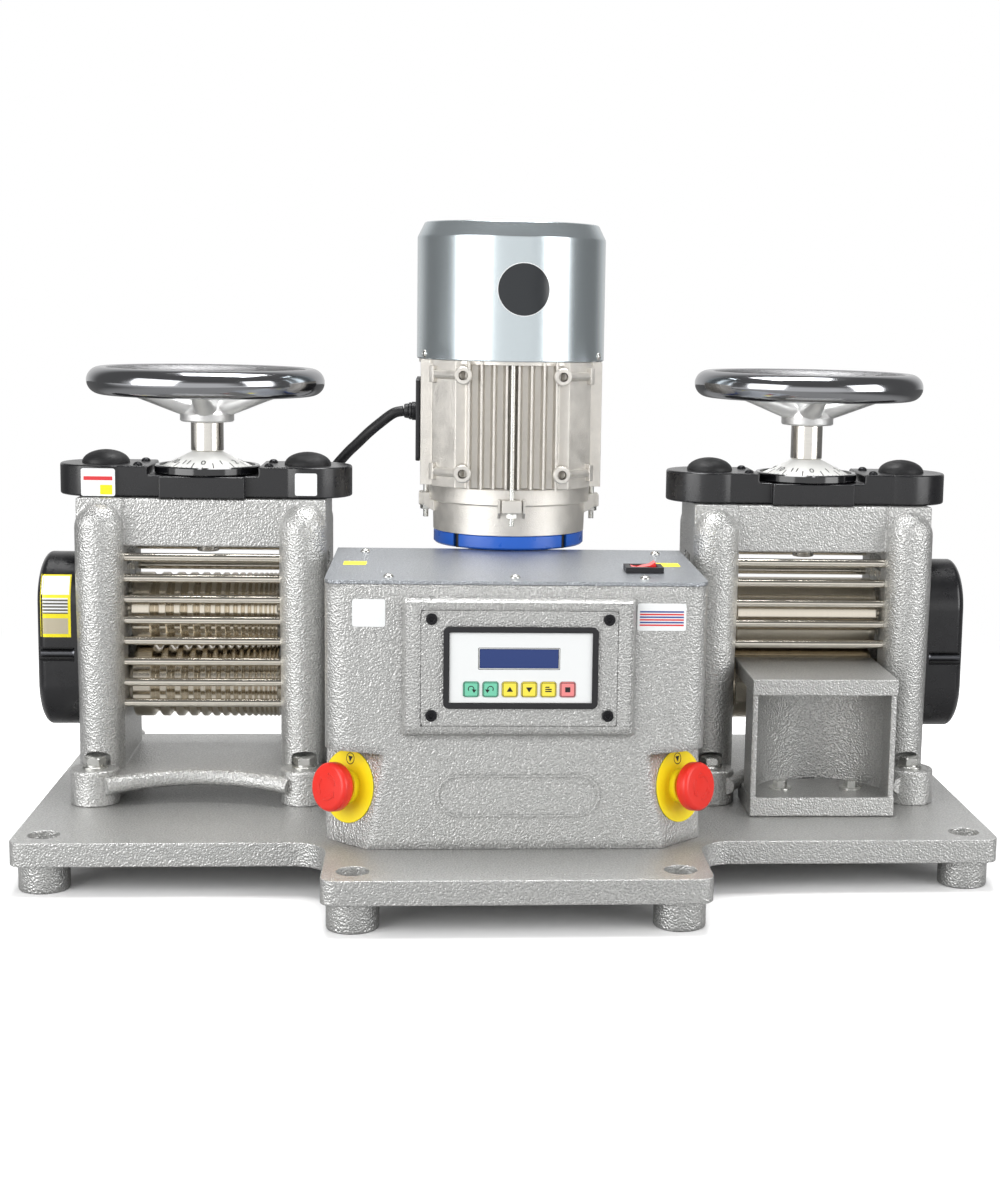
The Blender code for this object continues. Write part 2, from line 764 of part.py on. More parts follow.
def make_post(x, y):
    """One corner post: a tapered column with a domed top."""
    dome = [(POST_RADIUS * sin(a), POST_SHOULDER + POST_RADIUS * cos(a))
            for a in (0, pi / 5, pi * 2 / 5, pi / 2)]
    profile = dome + [(POST_RADIUS, POST_TAPER_END), (POST_FOOT_RADIUS, POST_TAPER_START),
                      (POST_FOOT_RADIUS, GAP), (0, GAP)]
    return turned("post", profile, COARSE, Matrix.Translation((x, y, 0)))


def make_foot_bolt(x, y):
    """A hexagon head on its washer, standing on a foot boss."""
    seat = BOSS_HEIGHT - OVERRUN
    top = BOSS_HEIGHT + WASHER_THICKNESS
    washer = rod("washer", (x, y, seat), (x, y, top), WASHER_RADIUS, sides=SMALL)
    head = rod("head", (x, y, seat), (x, y, top + BOLT_HEAD_HEIGHT),
               BOLT_HEAD_RADIUS, sides=6)
    return [washer, head]


def make_deck(front_reach):
    """The bottom tie of the stand, its front edge bowed to the rear."""
    half_width = CHEEK_INNER + POST_RADIUS / 2
    front = arc_through(half_width, DECK_END_REACH, front_reach, TINY)
    outline = [(half_width, DECK_REAR), (-half_width, DECK_REAR)] + list(reversed(front))
    deck = plate("deck", [outline], DECK_BOTTOM, DECK_TOP)
    lip_radius = (DECK_TOP - DECK_BOTTOM) / 2
    lip_z = (DECK_TOP + DECK_BOTTOM) / 2
    lip = baked(tube("lip", [(x, y, lip_z) for x, y in front], lip_radius), "lip")
    fuse(deck, lip)
    return baked(deck, "deck")


def make_stand(side, name, rod_count, deck_reach):
    """The cast frame: two cheeks with posts, a bridge, a deck and guard rods."""
    bridge = box("bridge", (-CHEEK_OUTER + OVERRUN, -BRIDGE_DEPTH, BRIDGE_BOTTOM),
                 (CHEEK_OUTER - OVERRUN, BRIDGE_DEPTH, STAND_HEIGHT - GAP))
    deck = make_deck(deck_reach)
    stand = box("cheek", (CHEEK_INNER, -CHEEK_DEPTH, GAP),
                (CHEEK_OUTER, CHEEK_DEPTH, STAND_HEIGHT))
    other = box("cheek", (-CHEEK_INNER, -CHEEK_DEPTH, GAP),
                (-CHEEK_OUTER, CHEEK_DEPTH, STAND_HEIGHT))
    fuse(stand, bridge, other, deck)
    post_x = (CHEEK_INNER + CHEEK_OUTER) / 2 + GAP
    for x_side in (-1, 1):
        for y_side in (-1, 1):
            fuse(stand, make_post(x_side * post_x, y_side * CHEEK_DEPTH))
            x = x_side * BOSS_X
            y = y_side * BOSS_Y
            fuse(stand, rod("boss", (x, y, GAP), (x, y, BOSS_HEIGHT), BOSS_RADIUS))
            cut(stand, rod("recess", (x, y, BOSS_HEIGHT), (x, y, BOLT_RECESS_TOP),
                           BOLT_RECESS, sides=SMALL))
            fuse(stand, *make_foot_bolt(x, y))
    window = box("window", (-CHEEK_OUTER - OVERRUN, -WINDOW_HALF_WIDTH, LOWER_AXIS),
                 (CHEEK_OUTER + OVERRUN, WINDOW_HALF_WIDTH, WINDOW_TOP))
    seat = rod("seat", (-CHEEK_OUTER - OVERRUN, 0, LOWER_AXIS),
               (CHEEK_OUTER + OVERRUN, 0, LOWER_AXIS), WINDOW_HALF_WIDTH, sides=FINE)
    fuse(window, seat)
    cut(stand, baked(window, "window"))
    reach = CHEEK_INNER + OVERRUN
    for i in range(rod_count):
        z = ROD_TOP - i * ROD_PITCH
        for y in (-ROD_Y, ROD_Y):
            fuse(stand, rod("guard", (-reach, y, z), (reach, y, z), ROD_RADIUS, sides=TINY))
    holes = [(-LOBE_X, SCREW_RADIUS), (LOBE_X, SCREW_RADIUS), (0, SPINDLE_RADIUS)]
    for x, radius in holes:
        cut(stand, rod("hole", (x, 0, WINDOW_TOP - OVERRUN), (x, 0, STAND_HEIGHT + OVERRUN),
                       radius + RUNNING, sides=ROUND))
    as_part(stand, name, PAINT, stand_origin(side))


def groove_profile():
    """(position along the roll, radius) of the wire grooves, widest first."""
    room = ROLL_LENGTH - PLAIN_BAND - END_LAND
    width = room * (1 - GROOVE_RATIO) / (1 - GROOVE_RATIO ** GROOVES)
    place = PLAIN_BAND
    points = [(place, ROLL_RADIUS)]
    for _ in range(GROOVES):
        points.append((place + width / 2, ROLL_RADIUS - GROOVE_DEPTH_SHARE * width))
        place += width
        points.append((place, ROLL_RADIUS))
        width *= GROOVE_RATIO
    return points


def roll_profile(grooved, journal, socket):
    """(radius, position along x) down the roll, from its geared end inwards."""
    half = ROLL_LENGTH / 2
    gear_end = GEAR_START + GEAR_WIDTH + OVERRUN
    outer = [(0, gear_end), (GEAR_SEAT, gear_end), (GEAR_SEAT, CHEEK_OUTER),
             (journal, CHEEK_OUTER), (journal, half), (ROLL_RADIUS, half)]
    barrel = []
    if grooved:
        barrel = [(radius, half - place) for place, radius in groove_profile()]
    inner = [(ROLL_RADIUS, -half), (journal, -half), (journal, -CHEEK_OUTER)]
    if socket:
        bore = SHAFT_RADIUS + RUNNING
        depth = -CHEEK_OUTER + JOURNAL_SOCKET
        inner += [(bore, -CHEEK_OUTER), (bore, depth), (0, depth)]
    else:
        inner += [(0, -CHEEK_OUTER)]
    return outer + barrel + inner


def make_roll(side, name, grooved, z, journal, socket):
    """A roll, turned about x, with its geared end to the outside."""
    profile = roll_profile(grooved, journal, socket)
    turn = Matrix.Rotation(side * pi / 2, 4, "Y")
    roll = turned("roll", profile, ROUND, turn)
    as_part(roll, name, STEEL, stand_origin(side) + Vector((0, 0, z)))


def make_chock(side, name, x_side):
    """A bearing block that slides in the cheek's window."""
    half = WINDOW_HALF_WIDTH - RUNNING
    inner = CHEEK_INNER + RUNNING
    outer = CHEEK_OUTER - RUNNING
    chock = box("chock", (x_side * inner, -half, -CHOCK_BELOW),
                (x_side * outer, half, CHOCK_ABOVE))
    bore = rod("bore", (x_side * (inner - OVERRUN), 0, 0), (x_side * (outer + OVERRUN), 0, 0),
               UPPER_JOURNAL + RUNNING, sides=FINE)
    screw_x = x_side * LOBE_X
    hole = rod("hole", (screw_x, 0, CHOCK_ABOVE - SCREW_HOLE_DEPTH),
               (screw_x, 0, CHOCK_ABOVE + OVERRUN), SCREW_RADIUS + RUNNING, sides=ROUND)
    cut(chock, bore, hole)
    as_part(chock, name, STEEL, stand_origin(side) + Vector((0, 0, UPPER_AXIS)))


def involute(angle):
    return tan(angle) - angle


def gear_outline(phase):
    """A spur gear with long involute teeth and backlash."""
    pitch_radius = ROLL_RADIUS + REST_NIP / 2
    base_radius = pitch_radius * cos(PRESSURE_ANGLE)
    tooth_angle = (pi / GEAR_TEETH) - BACKLASH / (2 * pitch_radius)
    half_at_base = tooth_angle / 2 + involute(PRESSURE_ANGLE)
    radii = [base_radius, GEAR_TIP]
    flank = [(GEAR_ROOT, half_at_base + involute(0))]
    flank += [(r, half_at_base - involute(acos(min(1, base_radius / r)))) for r in radii]
    outline = []
    for tooth in range(GEAR_TEETH):
        middle = 2 * pi * tooth / GEAR_TEETH + phase
        right = [(r, middle - half) for r, half in flank]
        left = [(r, middle + half) for r, half in reversed(flank)]
        outline += [(r * cos(a), r * sin(a)) for r, a in right + left]
    return outline


def make_gear(side, name, z, phase):
    """A gear on the outer end of its roll, its bore a running fit on the seat."""
    bore = circle((0, 0), GEAR_SEAT + RUNNING, ROUND)
    start = side * GEAR_START
    gear = plate("gear", [gear_outline(phase), bore],
                 min(start, start + side * GEAR_WIDTH),
                 max(start, start + side * GEAR_WIDTH), ACROSS)
    as_part(gear, name, STEEL, stand_origin(side) + Vector((0, 0, z)), smooth=False)


def stadium(half_width, bottom, top):
    upper = arc((0, top - half_width), half_width, 0, pi, COVER_ARC_STEPS)
    lower = arc((0, bottom + half_width), half_width, pi, 2 * pi, COVER_ARC_STEPS)
    return upper + lower


def crowned(name, side, start, end, offset):
    """A stadium block, drawn in by offset, whose outer face is crowned."""
    levels = [(start, 0)]
    for angle in (0, pi / 6, pi / 3, pi / 2):
        levels.append((end - COVER_CROWN * (1 - sin(angle)),
                       COVER_CROWN_REACH * (1 - cos(angle))))
    sections = []
    for x, inset in levels:
        shrink = offset + inset
        outline = stadium(COVER_RADIUS - shrink, COVER_BOTTOM + shrink, COVER_TOP - shrink)
        sections.append([(side * x, y, z) for y, z in outline])
    return loft(name, sections)


def make_gear_cover(side, name):
    """A black crowned cap over the roll gears, with a screw groove across each edge."""
    inner = CHEEK_OUTER + GAP
    outer = inner + COVER_WIDTH
    cover = crowned("cover", side, inner, outer, 0)
    hollow = crowned("hollow", side, inner - OVERRUN, outer - COVER_WALL, COVER_WALL)
    start = side * (inner + COVER_GROOVE_START)
    for y in (-COVER_RADIUS, COVER_RADIUS):
        cut(hollow, rod("rib", (side * (inner - OVERRUN * 2), y, COVER_GROOVE_Z),
                        (side * (outer + OVERRUN), y, COVER_GROOVE_Z),
                        COVER_GROOVE + COVER_WALL, sides=SMALL))
    grooves = [rod("groove", (start, y, COVER_GROOVE_Z),
                   (side * (outer + OVERRUN), y, COVER_GROOVE_Z), COVER_GROOVE, sides=SMALL)
               for y in (-COVER_RADIUS, COVER_RADIUS)]
    cut(cover, baked(hollow, "hollow"), *grooves)
    as_part(cover, name, BLACK, stand_origin(side))


def top_cover_body(name, offset, bottom, top):
    """Two round lobes, a drawn-in neck between them and a square middle block."""
    neck_y = NECK_REACH - offset
    block_x = BLOCK_HALF_WIDTH - offset
    block_y = BLOCK_REACH - offset
    body = box(name, (-LOBE_X, -neck_y, bottom), (LOBE_X, neck_y, top))
    block = box("block", (-block_x, -block_y, bottom), (block_x, block_y, top))
    lobes = [rod("lobe", (x, 0, bottom), (x, 0, top), LOBE_RADIUS - offset, sides=LOBE_SIDES)
             for x in (-LOBE_X, LOBE_X)]
    fuse(body, block, *lobes)
    return body


def make_top_cover(side, name):
    """The black cover on the stand, with a pan for the dial and two caps."""
    cover = top_cover_body("cover", 0, TOP_COVER_BOTTOM, TOP_COVER_TOP)
    skirt = TOP_COVER_TOP + CAP_SKIRT
    dome = [(CAP_RADIUS * sin(a), skirt + (CAP_HEIGHT - CAP_SKIRT) * cos(a))
            for a in (0, pi / 4, pi / 2)]
    foot = [(CAP_RADIUS, TOP_COVER_TOP - OVERRUN), (0, TOP_COVER_TOP - OVERRUN)]
    for x in (-LOBE_X, LOBE_X):
        fuse(cover, turned("cap", dome + foot, COARSE, Matrix.Translation((x, 0, 0))))
    step_radius = RING_RADIUS + OVERRUN
    step = rod("step", (0, 0, BLOCK_TOP), (0, 0, TOP_COVER_TOP + CAP_HEIGHT), step_radius,
               sides=FINE)
    floor = DIAL_BOTTOM - GAP
    inner = RING_RADIUS - RING_WALL
    stem = BLOCK_HALF_WIDTH - OVERRUN
    pan = turned("pan", [
        (0, floor), (inner, floor), (inner, RING_TOP), (RING_RADIUS, RING_TOP),
        (RING_RADIUS, RING_BOTTOM), (stem, RING_BOTTOM), (stem, BLOCK_TOP - OVERRUN),
        (0, BLOCK_TOP - OVERRUN)], FINE)
    cut(cover, step)
    fuse(cover, pan)
    hollow = top_cover_body("hollow", TOP_COVER_WALL, TOP_COVER_BOTTOM - OVERRUN,
                            BLOCK_TOP - TOP_COVER_WALL)
    bore = rod("bore", (0, 0, TOP_COVER_BOTTOM), (0, 0, TOP_COVER_TOP),
               SPINDLE_RADIUS + RUNNING, sides=ROUND)
    cut(cover, baked(hollow, "hollow"), bore)
    as_part(cover, name, BLACK, stand_origin(side))


def make_screw(side, name, x_side):
    """An adjusting screw: its thread runs in the chock, its sprocket on top."""
    top = SPROCKET_BOTTOM + SPROCKET_THICKNESS
    collar = STAND_HEIGHT + GAP
    screw = turned("screw", [
        (0, top), (SPROCKET_RADIUS, top), (SPROCKET_RADIUS, SPROCKET_BOTTOM),
        (SCREW_RADIUS + OVERRUN, SPROCKET_BOTTOM), (SCREW_RADIUS + OVERRUN, collar),
        (SCREW_RADIUS, collar), (SCREW_RADIUS, SCREW_TIP), (0, SCREW_TIP)], COARSE)
    place = stand_origin(side) + Vector((x_side * LOBE_X, 0, 0))
    as_part(screw, name, STEEL, place)


def make_spindle(side, name):
    """The handwheel's shaft: a nut under the bridge, a collar over the dial."""
    rise = HUB_RISE[side]
    top = HUB_BOTTOM + HUB_HEIGHT + rise
    collar_top = HUB_BOTTOM + rise - GAP
    collar_bottom = DIAL_TOP + GAP
    spindle = turned("spindle", [
        (0, top), (SPINDLE_RADIUS, top), (SPINDLE_RADIUS, collar_top),
        (COLLAR_RADIUS, collar_top), (COLLAR_RADIUS, collar_bottom),
        (SPINDLE_RADIUS, collar_bottom), (SPINDLE_RADIUS, SPINDLE_NUT_TOP),
        (SPINDLE_NUT, SPINDLE_NUT_TOP), (SPINDLE_NUT, SPINDLE_NUT_BOTTOM),
        (0, SPINDLE_NUT_BOTTOM)], COARSE)
    as_part(spindle, name, STEEL, stand_origin(side))


def make_dial(side, name):
    """A shallow cone with its scale, seated in the top cover's ring."""
    bore = SPINDLE_RADIUS + RUNNING
    dial = turned("dial", [
        (COLLAR_RADIUS, DIAL_TOP), (DIAL_RADIUS, DIAL_EDGE), (DIAL_RADIUS, DIAL_BOTTOM),
        (bore, DIAL_BOTTOM), (bore, DIAL_TOP)], FINE, closed=True)
    as_part(dial, name, WHITE, stand_origin(side))


def make_handwheel(side, name):
    """A round rim on five rising spokes, with a bored hub."""
    hub_bottom = HUB_BOTTOM + HUB_RISE[side]
    hub_top = hub_bottom + HUB_HEIGHT
    rim_z = hub_bottom + RIM_ABOVE_HUB
    rim_reach = WHEEL_RADIUS - RIM_RADIUS
    bore = SPINDLE_RADIUS + RUNNING
    wheel = turned("hub", [
        (HUB_RADIUS, hub_top), (HUB_RADIUS, hub_bottom), (bore, hub_bottom),
        (bore, hub_top)], ROUND, closed=True)
    rim = turned("rim", [(rim_reach + x, rim_z + z) for x, z in
                         reversed(circle((0, 0), RIM_RADIUS, SMALL))], FINE, closed=True)
    for i in range(SPOKES):
        angle = 2 * pi * i / SPOKES - pi / 2
        middle = (bore + HUB_RADIUS) / 2 + bore / 2
        start = (middle * cos(angle), middle * sin(angle), hub_bottom + HUB_HEIGHT / 2)
        end = (rim_reach * cos(angle), rim_reach * sin(angle), rim_z)
        fuse(wheel, rod("spoke", start, end, SPOKE_HUB_RADIUS, SPOKE_RIM_RADIUS,
                        sides=TINY))
    fuse(wheel, rim)
    as_part(wheel, name, CHROME, stand_origin(side))


def make_work_table():
    """A cast angle: a flange on the base, a bowed web, side ribs and a slab."""
    slab_bottom = TABLE_TOP - TABLE_THICKNESS
    half = TABLE_HALF_WIDTH
    table = box("slab", (-half, -TABLE_FRONT, slab_bottom), (half, -TABLE_REAR, TABLE_TOP))
    roll_space = rod("roll", (-half - OVERRUN, 0, LOWER_AXIS), (half + OVERRUN, 0, LOWER_AXIS),
                     ROLL_RADIUS + TABLE_ROLL_CLEARANCE, sides=FINE)
    cut(table, roll_space)
    inner = half - RIB_THICKNESS
    web_front = arc_through(inner + OVERRUN, WEB_END_REACH, WEB_MIDDLE_REACH, SMALL)
    web_back = [(x, y + WEB_THICKNESS) for x, y in web_front]
    web = plate("web", [web_front + list(reversed(web_back))], GAP, slab_bottom + OVERRUN)
    flange_front = TABLE_FRONT
    floor = [(inner + OVERRUN, -flange_front), (-inner - OVERRUN, -flange_front)]
    floor += [(x, y + WEB_THICKNESS / 2) for x, y in reversed(web_front)]
    flange = plate("flange", [floor], GAP, FLANGE_HEIGHT)
    fuse(table, web, flange)
    for side in (-1, 1):
        rib = box("rib", (side * inner, -flange_front + RIB_RECESS, GAP * 2),
                  (side * (half - GAP), -FLANGE_REAR + WEB_THICKNESS, slab_bottom + OVERRUN))
        shoe = box("shoe", (side * (inner - OVERRUN), -flange_front, GAP),
                   (side * half, -FLANGE_REAR, FLANGE_HEIGHT))
        fuse(table, rib, shoe)
    notch = box("notch", (-FLANGE_NOTCH_HALF_WIDTH, -flange_front - OVERRUN, 0),
                (FLANGE_NOTCH_HALF_WIDTH, -flange_front + RIB_THICKNESS,
                 FLANGE_NOTCH_HEIGHT))
    cut(table, notch)
    for side in (-1, 1):
        x = side * TABLE_BOLT_X
        top = FLANGE_HEIGHT + TABLE_WASHER_THICKNESS
        washer = rod("washer", (x, -TABLE_BOLT_Y, FLANGE_HEIGHT - OVERRUN),
                     (x, -TABLE_BOLT_Y, top), TABLE_WASHER, sides=SMALL)
        head = rod("head", (x, -TABLE_BOLT_Y, FLANGE_HEIGHT - OVERRUN),
                   (x, -TABLE_BOLT_Y, top + TABLE_BOLT_HEIGHT), TABLE_BOLT_HEAD, sides=6)
        fuse(table, washer, head)
    as_part(table, "work_table", PAINT, stand_origin(1))


def housing_section(z, corner, inset):
    """One level of the housing: square at the rear, round corners in front."""
    half = HOUSING_HALF_WIDTH - inset
    front = -HOUSING_FRONT + inset + HOUSING_LEAN * z / HOUSING_TOP
    rear = -HOUSING_REAR
    radius = corner - inset
    right = arc((half - radius, front + radius), radius, -pi / 2, 0, 5)
    left = arc((-half + radius, front + radius), radius, -pi, -pi / 2, 5)
    outline = left + right + [(half, rear), (-half, rear)]
    return [(x, y, z) for x, y in outline]


def facet_matrix(side):
    """A frame on the corner facet, its +Z pointing straight out of it."""
    normal = Vector((side * sqrt(1 / 2) * cos(FACET_TILT), -sqrt(1 / 2) * cos(FACET_TILT),
                     sin(FACET_TILT)))
    across = Vector((0, 0, 1)).cross(normal).normalized()
    up = normal.cross(across)
    turn = Matrix((across, up, normal)).transposed().to_4x4()
    return Matrix.Translation((side * FACET_X, -FACET_Y, FACET_Z)) @ turn


def moved(item, matrix):
    item.data.transform(matrix)
    return item


def make_housing():
    """The cast shell of the controls, open below and behind."""
    corner = HOUSING_CORNER
    top_corner = HOUSING_TOP_CORNER
    levels = [(GAP, corner), (HOUSING_BLEND_Z, corner), (HOUSING_TOP, top_corner)]
    housing = loft("shell", [housing_section(z, c, 0) for z, c in levels])
    facets = [moved(box("facet", (-FACET_SIZE, -FACET_SIZE, 0),
                        (FACET_SIZE, FACET_TOP, FACET_SIZE)), facet_matrix(side))
              for side in (-1, 1)]
    wall = HOUSING_WALL
    inner_levels = [(GAP - OVERRUN, corner), (HOUSING_BLEND_Z, corner),
                    (HOUSING_TOP + OVERRUN, top_corner)]
    hollow = loft("hollow", [
        [(x, y + (OVERRUN if y > -HOUSING_REAR - wall else 0), z)
         for x, y, z in housing_section(z, c, wall)] for z, c in inner_levels])
    inner_facets = [moved(box("wall", (-FACET_SIZE, -FACET_SIZE, -wall),
                              (FACET_SIZE, FACET_TOP + wall, FACET_SIZE)),
                          facet_matrix(side)) for side in (-1, 1)]
    cut(hollow, *inner_facets)
    hollow = baked(hollow, "hollow")
    cut(housing, *facets)
    cut(housing, hollow)
    strip = box("strip", (-HOUSING_HALF_WIDTH + wall / 2, -HOUSING_REAR - wall,
                          REAR_STRIP_BOTTOM),
                (HOUSING_HALF_WIDTH - wall / 2, -HOUSING_REAR - GAP, HOUSING_TOP - GAP))
    fuse(housing, strip)
    front = -HOUSING_FRONT
    back = front + HOUSING_LEAN + wall / 2
    pad = box("pad", (PAD_LEFT, front - PAD_PROUD, PAD_BOTTOM),
              (PAD_RIGHT, back, PAD_TOP))
    fuse(housing, pad)
    recess = box("recess", (PAD_LEFT + PAD_MARGIN, front - PAD_PROUD - OVERRUN,
                            PAD_BOTTOM + PAD_MARGIN / 2),
                 (PAD_RIGHT - PAD_MARGIN, front - PAD_PROUD + PAD_RECESS,
                  PAD_TOP - PAD_MARGIN / 2))
    margin = UNIT_BODY_MARGIN - PLATE_CLEARANCE
    window = box("window", (UNIT_LEFT + margin, front - PAD_PROUD - OVERRUN,
                            UNIT_BOTTOM + margin),
                 (UNIT_RIGHT - margin, back + wall + OVERRUN, UNIT_TOP - margin))
    cut(housing, recess, window)
    for side in (-1, 1):
        hole = rod("hole", (0, 0, -HOUSING_CORNER), (0, 0, OVERRUN), STOP_BODY + GAP,
                   sides=FINE)
        cut(housing, moved(hole, facet_matrix(side)))
    as_part(housing, "housing", PAINT, machine_origin())


def make_lid():
    """The flat lid, with an opening for the rocker switch."""
    front = -HOUSING_FRONT + HOUSING_LEAN
    half = HOUSING_HALF_WIDTH
    outline = rounded([(-half, -HOUSING_REAR, 0), (-half, front, LID_CORNER),
                       (half, front, LID_CORNER), (half, -HOUSING_REAR, 0)])
    body_x = SWITCH_WIDTH / 2 - SWITCH_BODY_MARGIN + GAP
    body_y = SWITCH_DEPTH / 2 - SWITCH_BODY_MARGIN + GAP
    opening = rectangle(SWITCH_X - body_x, SWITCH_X + body_x,
                        -SWITCH_Y - body_y, -SWITCH_Y + body_y)
    bottom = HOUSING_TOP + GAP
    lid = plate("lid", [outline, opening], bottom, bottom + LID_THICKNESS)
    as_part(lid, "housing_lid", PAINT, machine_origin())


def make_rear_cover():
    """A sheet box behind the housing, round the gearbox, open below."""
    half = REAR_COVER_HALF_WIDTH
    front = -HOUSING_REAR + GAP
    rear = front + REAR_COVER_DEPTH
    wall = REAR_COVER_WALL
    corner = REAR_COVER_CORNER
    outline = rounded([(-half, front, 0), (half, front, 0),
                       (half, rear, corner), (-half, rear, corner)])
    inner = rounded([(-half + wall, front - OVERRUN, 0), (half - wall, front - OVERRUN, 0),
                     (half - wall, rear - wall, corner - wall),
                     (-half + wall, rear - wall, corner - wall)])
    cover = plate("cover", [outline], GAP, REAR_COVER_TOP)
    hollow = plate("hollow", [inner], -OVERRUN, REAR_COVER_TOP - wall)
    neck = rod("neck", (0, MOTOR_Y, REAR_COVER_TOP - wall - OVERRUN),
               (0, MOTOR_Y, REAR_COVER_TOP + OVERRUN), NECK_PORT, sides=ROUND)
    ports = rod("ports", (-half - OVERRUN, 0, LOWER_AXIS), (half + OVERRUN, 0, LOWER_AXIS),
                SHAFT_PORT, sides=ROUND)
    slots = box("slots", (-half - OVERRUN, front - OVERRUN, LOWER_AXIS - SHAFT_PORT),
                (half + OVERRUN, 0, LOWER_AXIS + SHAFT_PORT))
    cut(cover, hollow, neck, ports, slots)
    gland_inner = -half + wall / 2
    flange_end = -half - GLAND_FLANGE
    end = -half - GLAND_LENGTH
    flange = rod("gland", (gland_inner, LEAD_END_Y, LEAD_END_Z),
                 (flange_end, LEAD_END_Y, LEAD_END_Z), GLAND_RADIUS, sides=SMALL)
    neck_end = rod("gland", (gland_inner, LEAD_END_Y, LEAD_END_Z),
                   (end, LEAD_END_Y, LEAD_END_Z), GLAND_RADIUS, GLAND_NECK, sides=SMALL)
    fuse(cover, flange, neck_end)
    as_part(cover, "rear_cover", PAINT, machine_origin())


def panel_levels():
    """Depths of the panel's layers, counted forwards from the pad's recess."""
    pad_front = -HOUSING_FRONT - PAD_PROUD
    recess = pad_front + PAD_RECESS
    return pad_front, recess


def make_panel_plate():
    """The screwed front plate in the pad's recess."""
    pad_front, recess = panel_levels()
    left = PAD_LEFT + PAD_MARGIN + PLATE_CLEARANCE
    right = PAD_RIGHT - PAD_MARGIN - PLATE_CLEARANCE
    bottom = PAD_BOTTOM + PAD_MARGIN / 2 + PLATE_CLEARANCE
    top = PAD_TOP - PAD_MARGIN / 2 - PLATE_CLEARANCE
    margin = UNIT_BODY_MARGIN - PLATE_CLEARANCE
    window = rectangle(UNIT_LEFT + margin, UNIT_RIGHT - margin,
                       UNIT_BOTTOM + margin, UNIT_TOP - margin)
    panel = plate("panel", [rectangle(left, right, bottom, top, KEY_CORNER * 2), window],
                  -recess + GAP, -pad_front, UPRIGHT)
    as_part(panel, "panel_plate", PAINT, machine_origin())


def unit_floor():
    """The face inside the keypad frame that carries the overlay and the keys."""
    pad_front, _ = panel_levels()
    return pad_front - UNIT_PROUD + UNIT_RIM


def make_keypad_frame():
    """The black frame of the keypad unit: a flange, a body and a shallow tray."""
    pad_front, _ = panel_levels()
    flange_back = pad_front - GAP
    flange_front = pad_front - UNIT_PROUD
    corner = UNIT_BODY_MARGIN * 2
    frame = plate("frame", [rectangle(UNIT_LEFT, UNIT_RIGHT, UNIT_BOTTOM, UNIT_TOP, corner)],
                  -flange_back, -flange_front, UPRIGHT)
    margin = UNIT_BODY_MARGIN
    body = box("body", (UNIT_LEFT + margin, flange_back - UNIT_PROUD / 2,
                        UNIT_BOTTOM + margin),
               (UNIT_RIGHT - margin, unit_floor() + UNIT_FLOOR, UNIT_TOP - margin))
    fuse(frame, body)
    rim = UNIT_RIM
    tray = box("tray", (UNIT_LEFT + rim, flange_front - OVERRUN, UNIT_BOTTOM + rim),
               (UNIT_RIGHT - rim, unit_floor(), UNIT_TOP - rim))
    cut(frame, tray)
    as_part(frame, "keypad_frame", BLACK, machine_origin())


def key_places():
    return [KEY_FIRST_X + i * KEY_PITCH for i in range(KEY_COUNT)]


def make_overlay():
    """The white face film's carrier, cut out for the display and the keys."""
    floor = unit_floor() - GAP
    edge = UNIT_RIM + GAP
    outlines = [rectangle(UNIT_LEFT + edge, UNIT_RIGHT - edge,
                          UNIT_BOTTOM + edge, UNIT_TOP - edge)]
    outlines.append(rectangle(LCD_LEFT, LCD_RIGHT, LCD_BOTTOM, LCD_TOP))
    half = KEY_SIZE / 2 + KEY_CLEARANCE
    for x in key_places():
        outlines.append(rectangle(x - half, x + half, KEY_Z - half, KEY_Z + half,
                                  KEY_CORNER, 1))
    overlay = plate("overlay", outlines, -floor, -floor + OVERLAY_THICKNESS, UPRIGHT)
    as_part(overlay, "keypad_overlay", WHITE, machine_origin())
    display = box("display", (LCD_LEFT + GAP, floor, LCD_BOTTOM + GAP),
                  (LCD_RIGHT - GAP, floor - LCD_THICKNESS, LCD_TOP - GAP))
    as_part(display, "display", LCD_BLUE, machine_origin())


def make_keys():
    """Six keys that press into the overlay, proud of it at rest."""
    front = unit_floor() - GAP - OVERLAY_THICKNESS - KEY_PROUD
    half = KEY_SIZE / 2
    for i, x in enumerate(key_places()):
        outline = rectangle(-half, half, -half, half, KEY_CORNER, 1)
        key = plate("key", [outline], 0, KEY_THICKNESS, UPRIGHT)
        place = machine_origin() + Vector((x, front + KEY_THICKNESS, KEY_Z))
        as_part(key, f"key_{i + 1}", KEY_FINISHES[i], place)


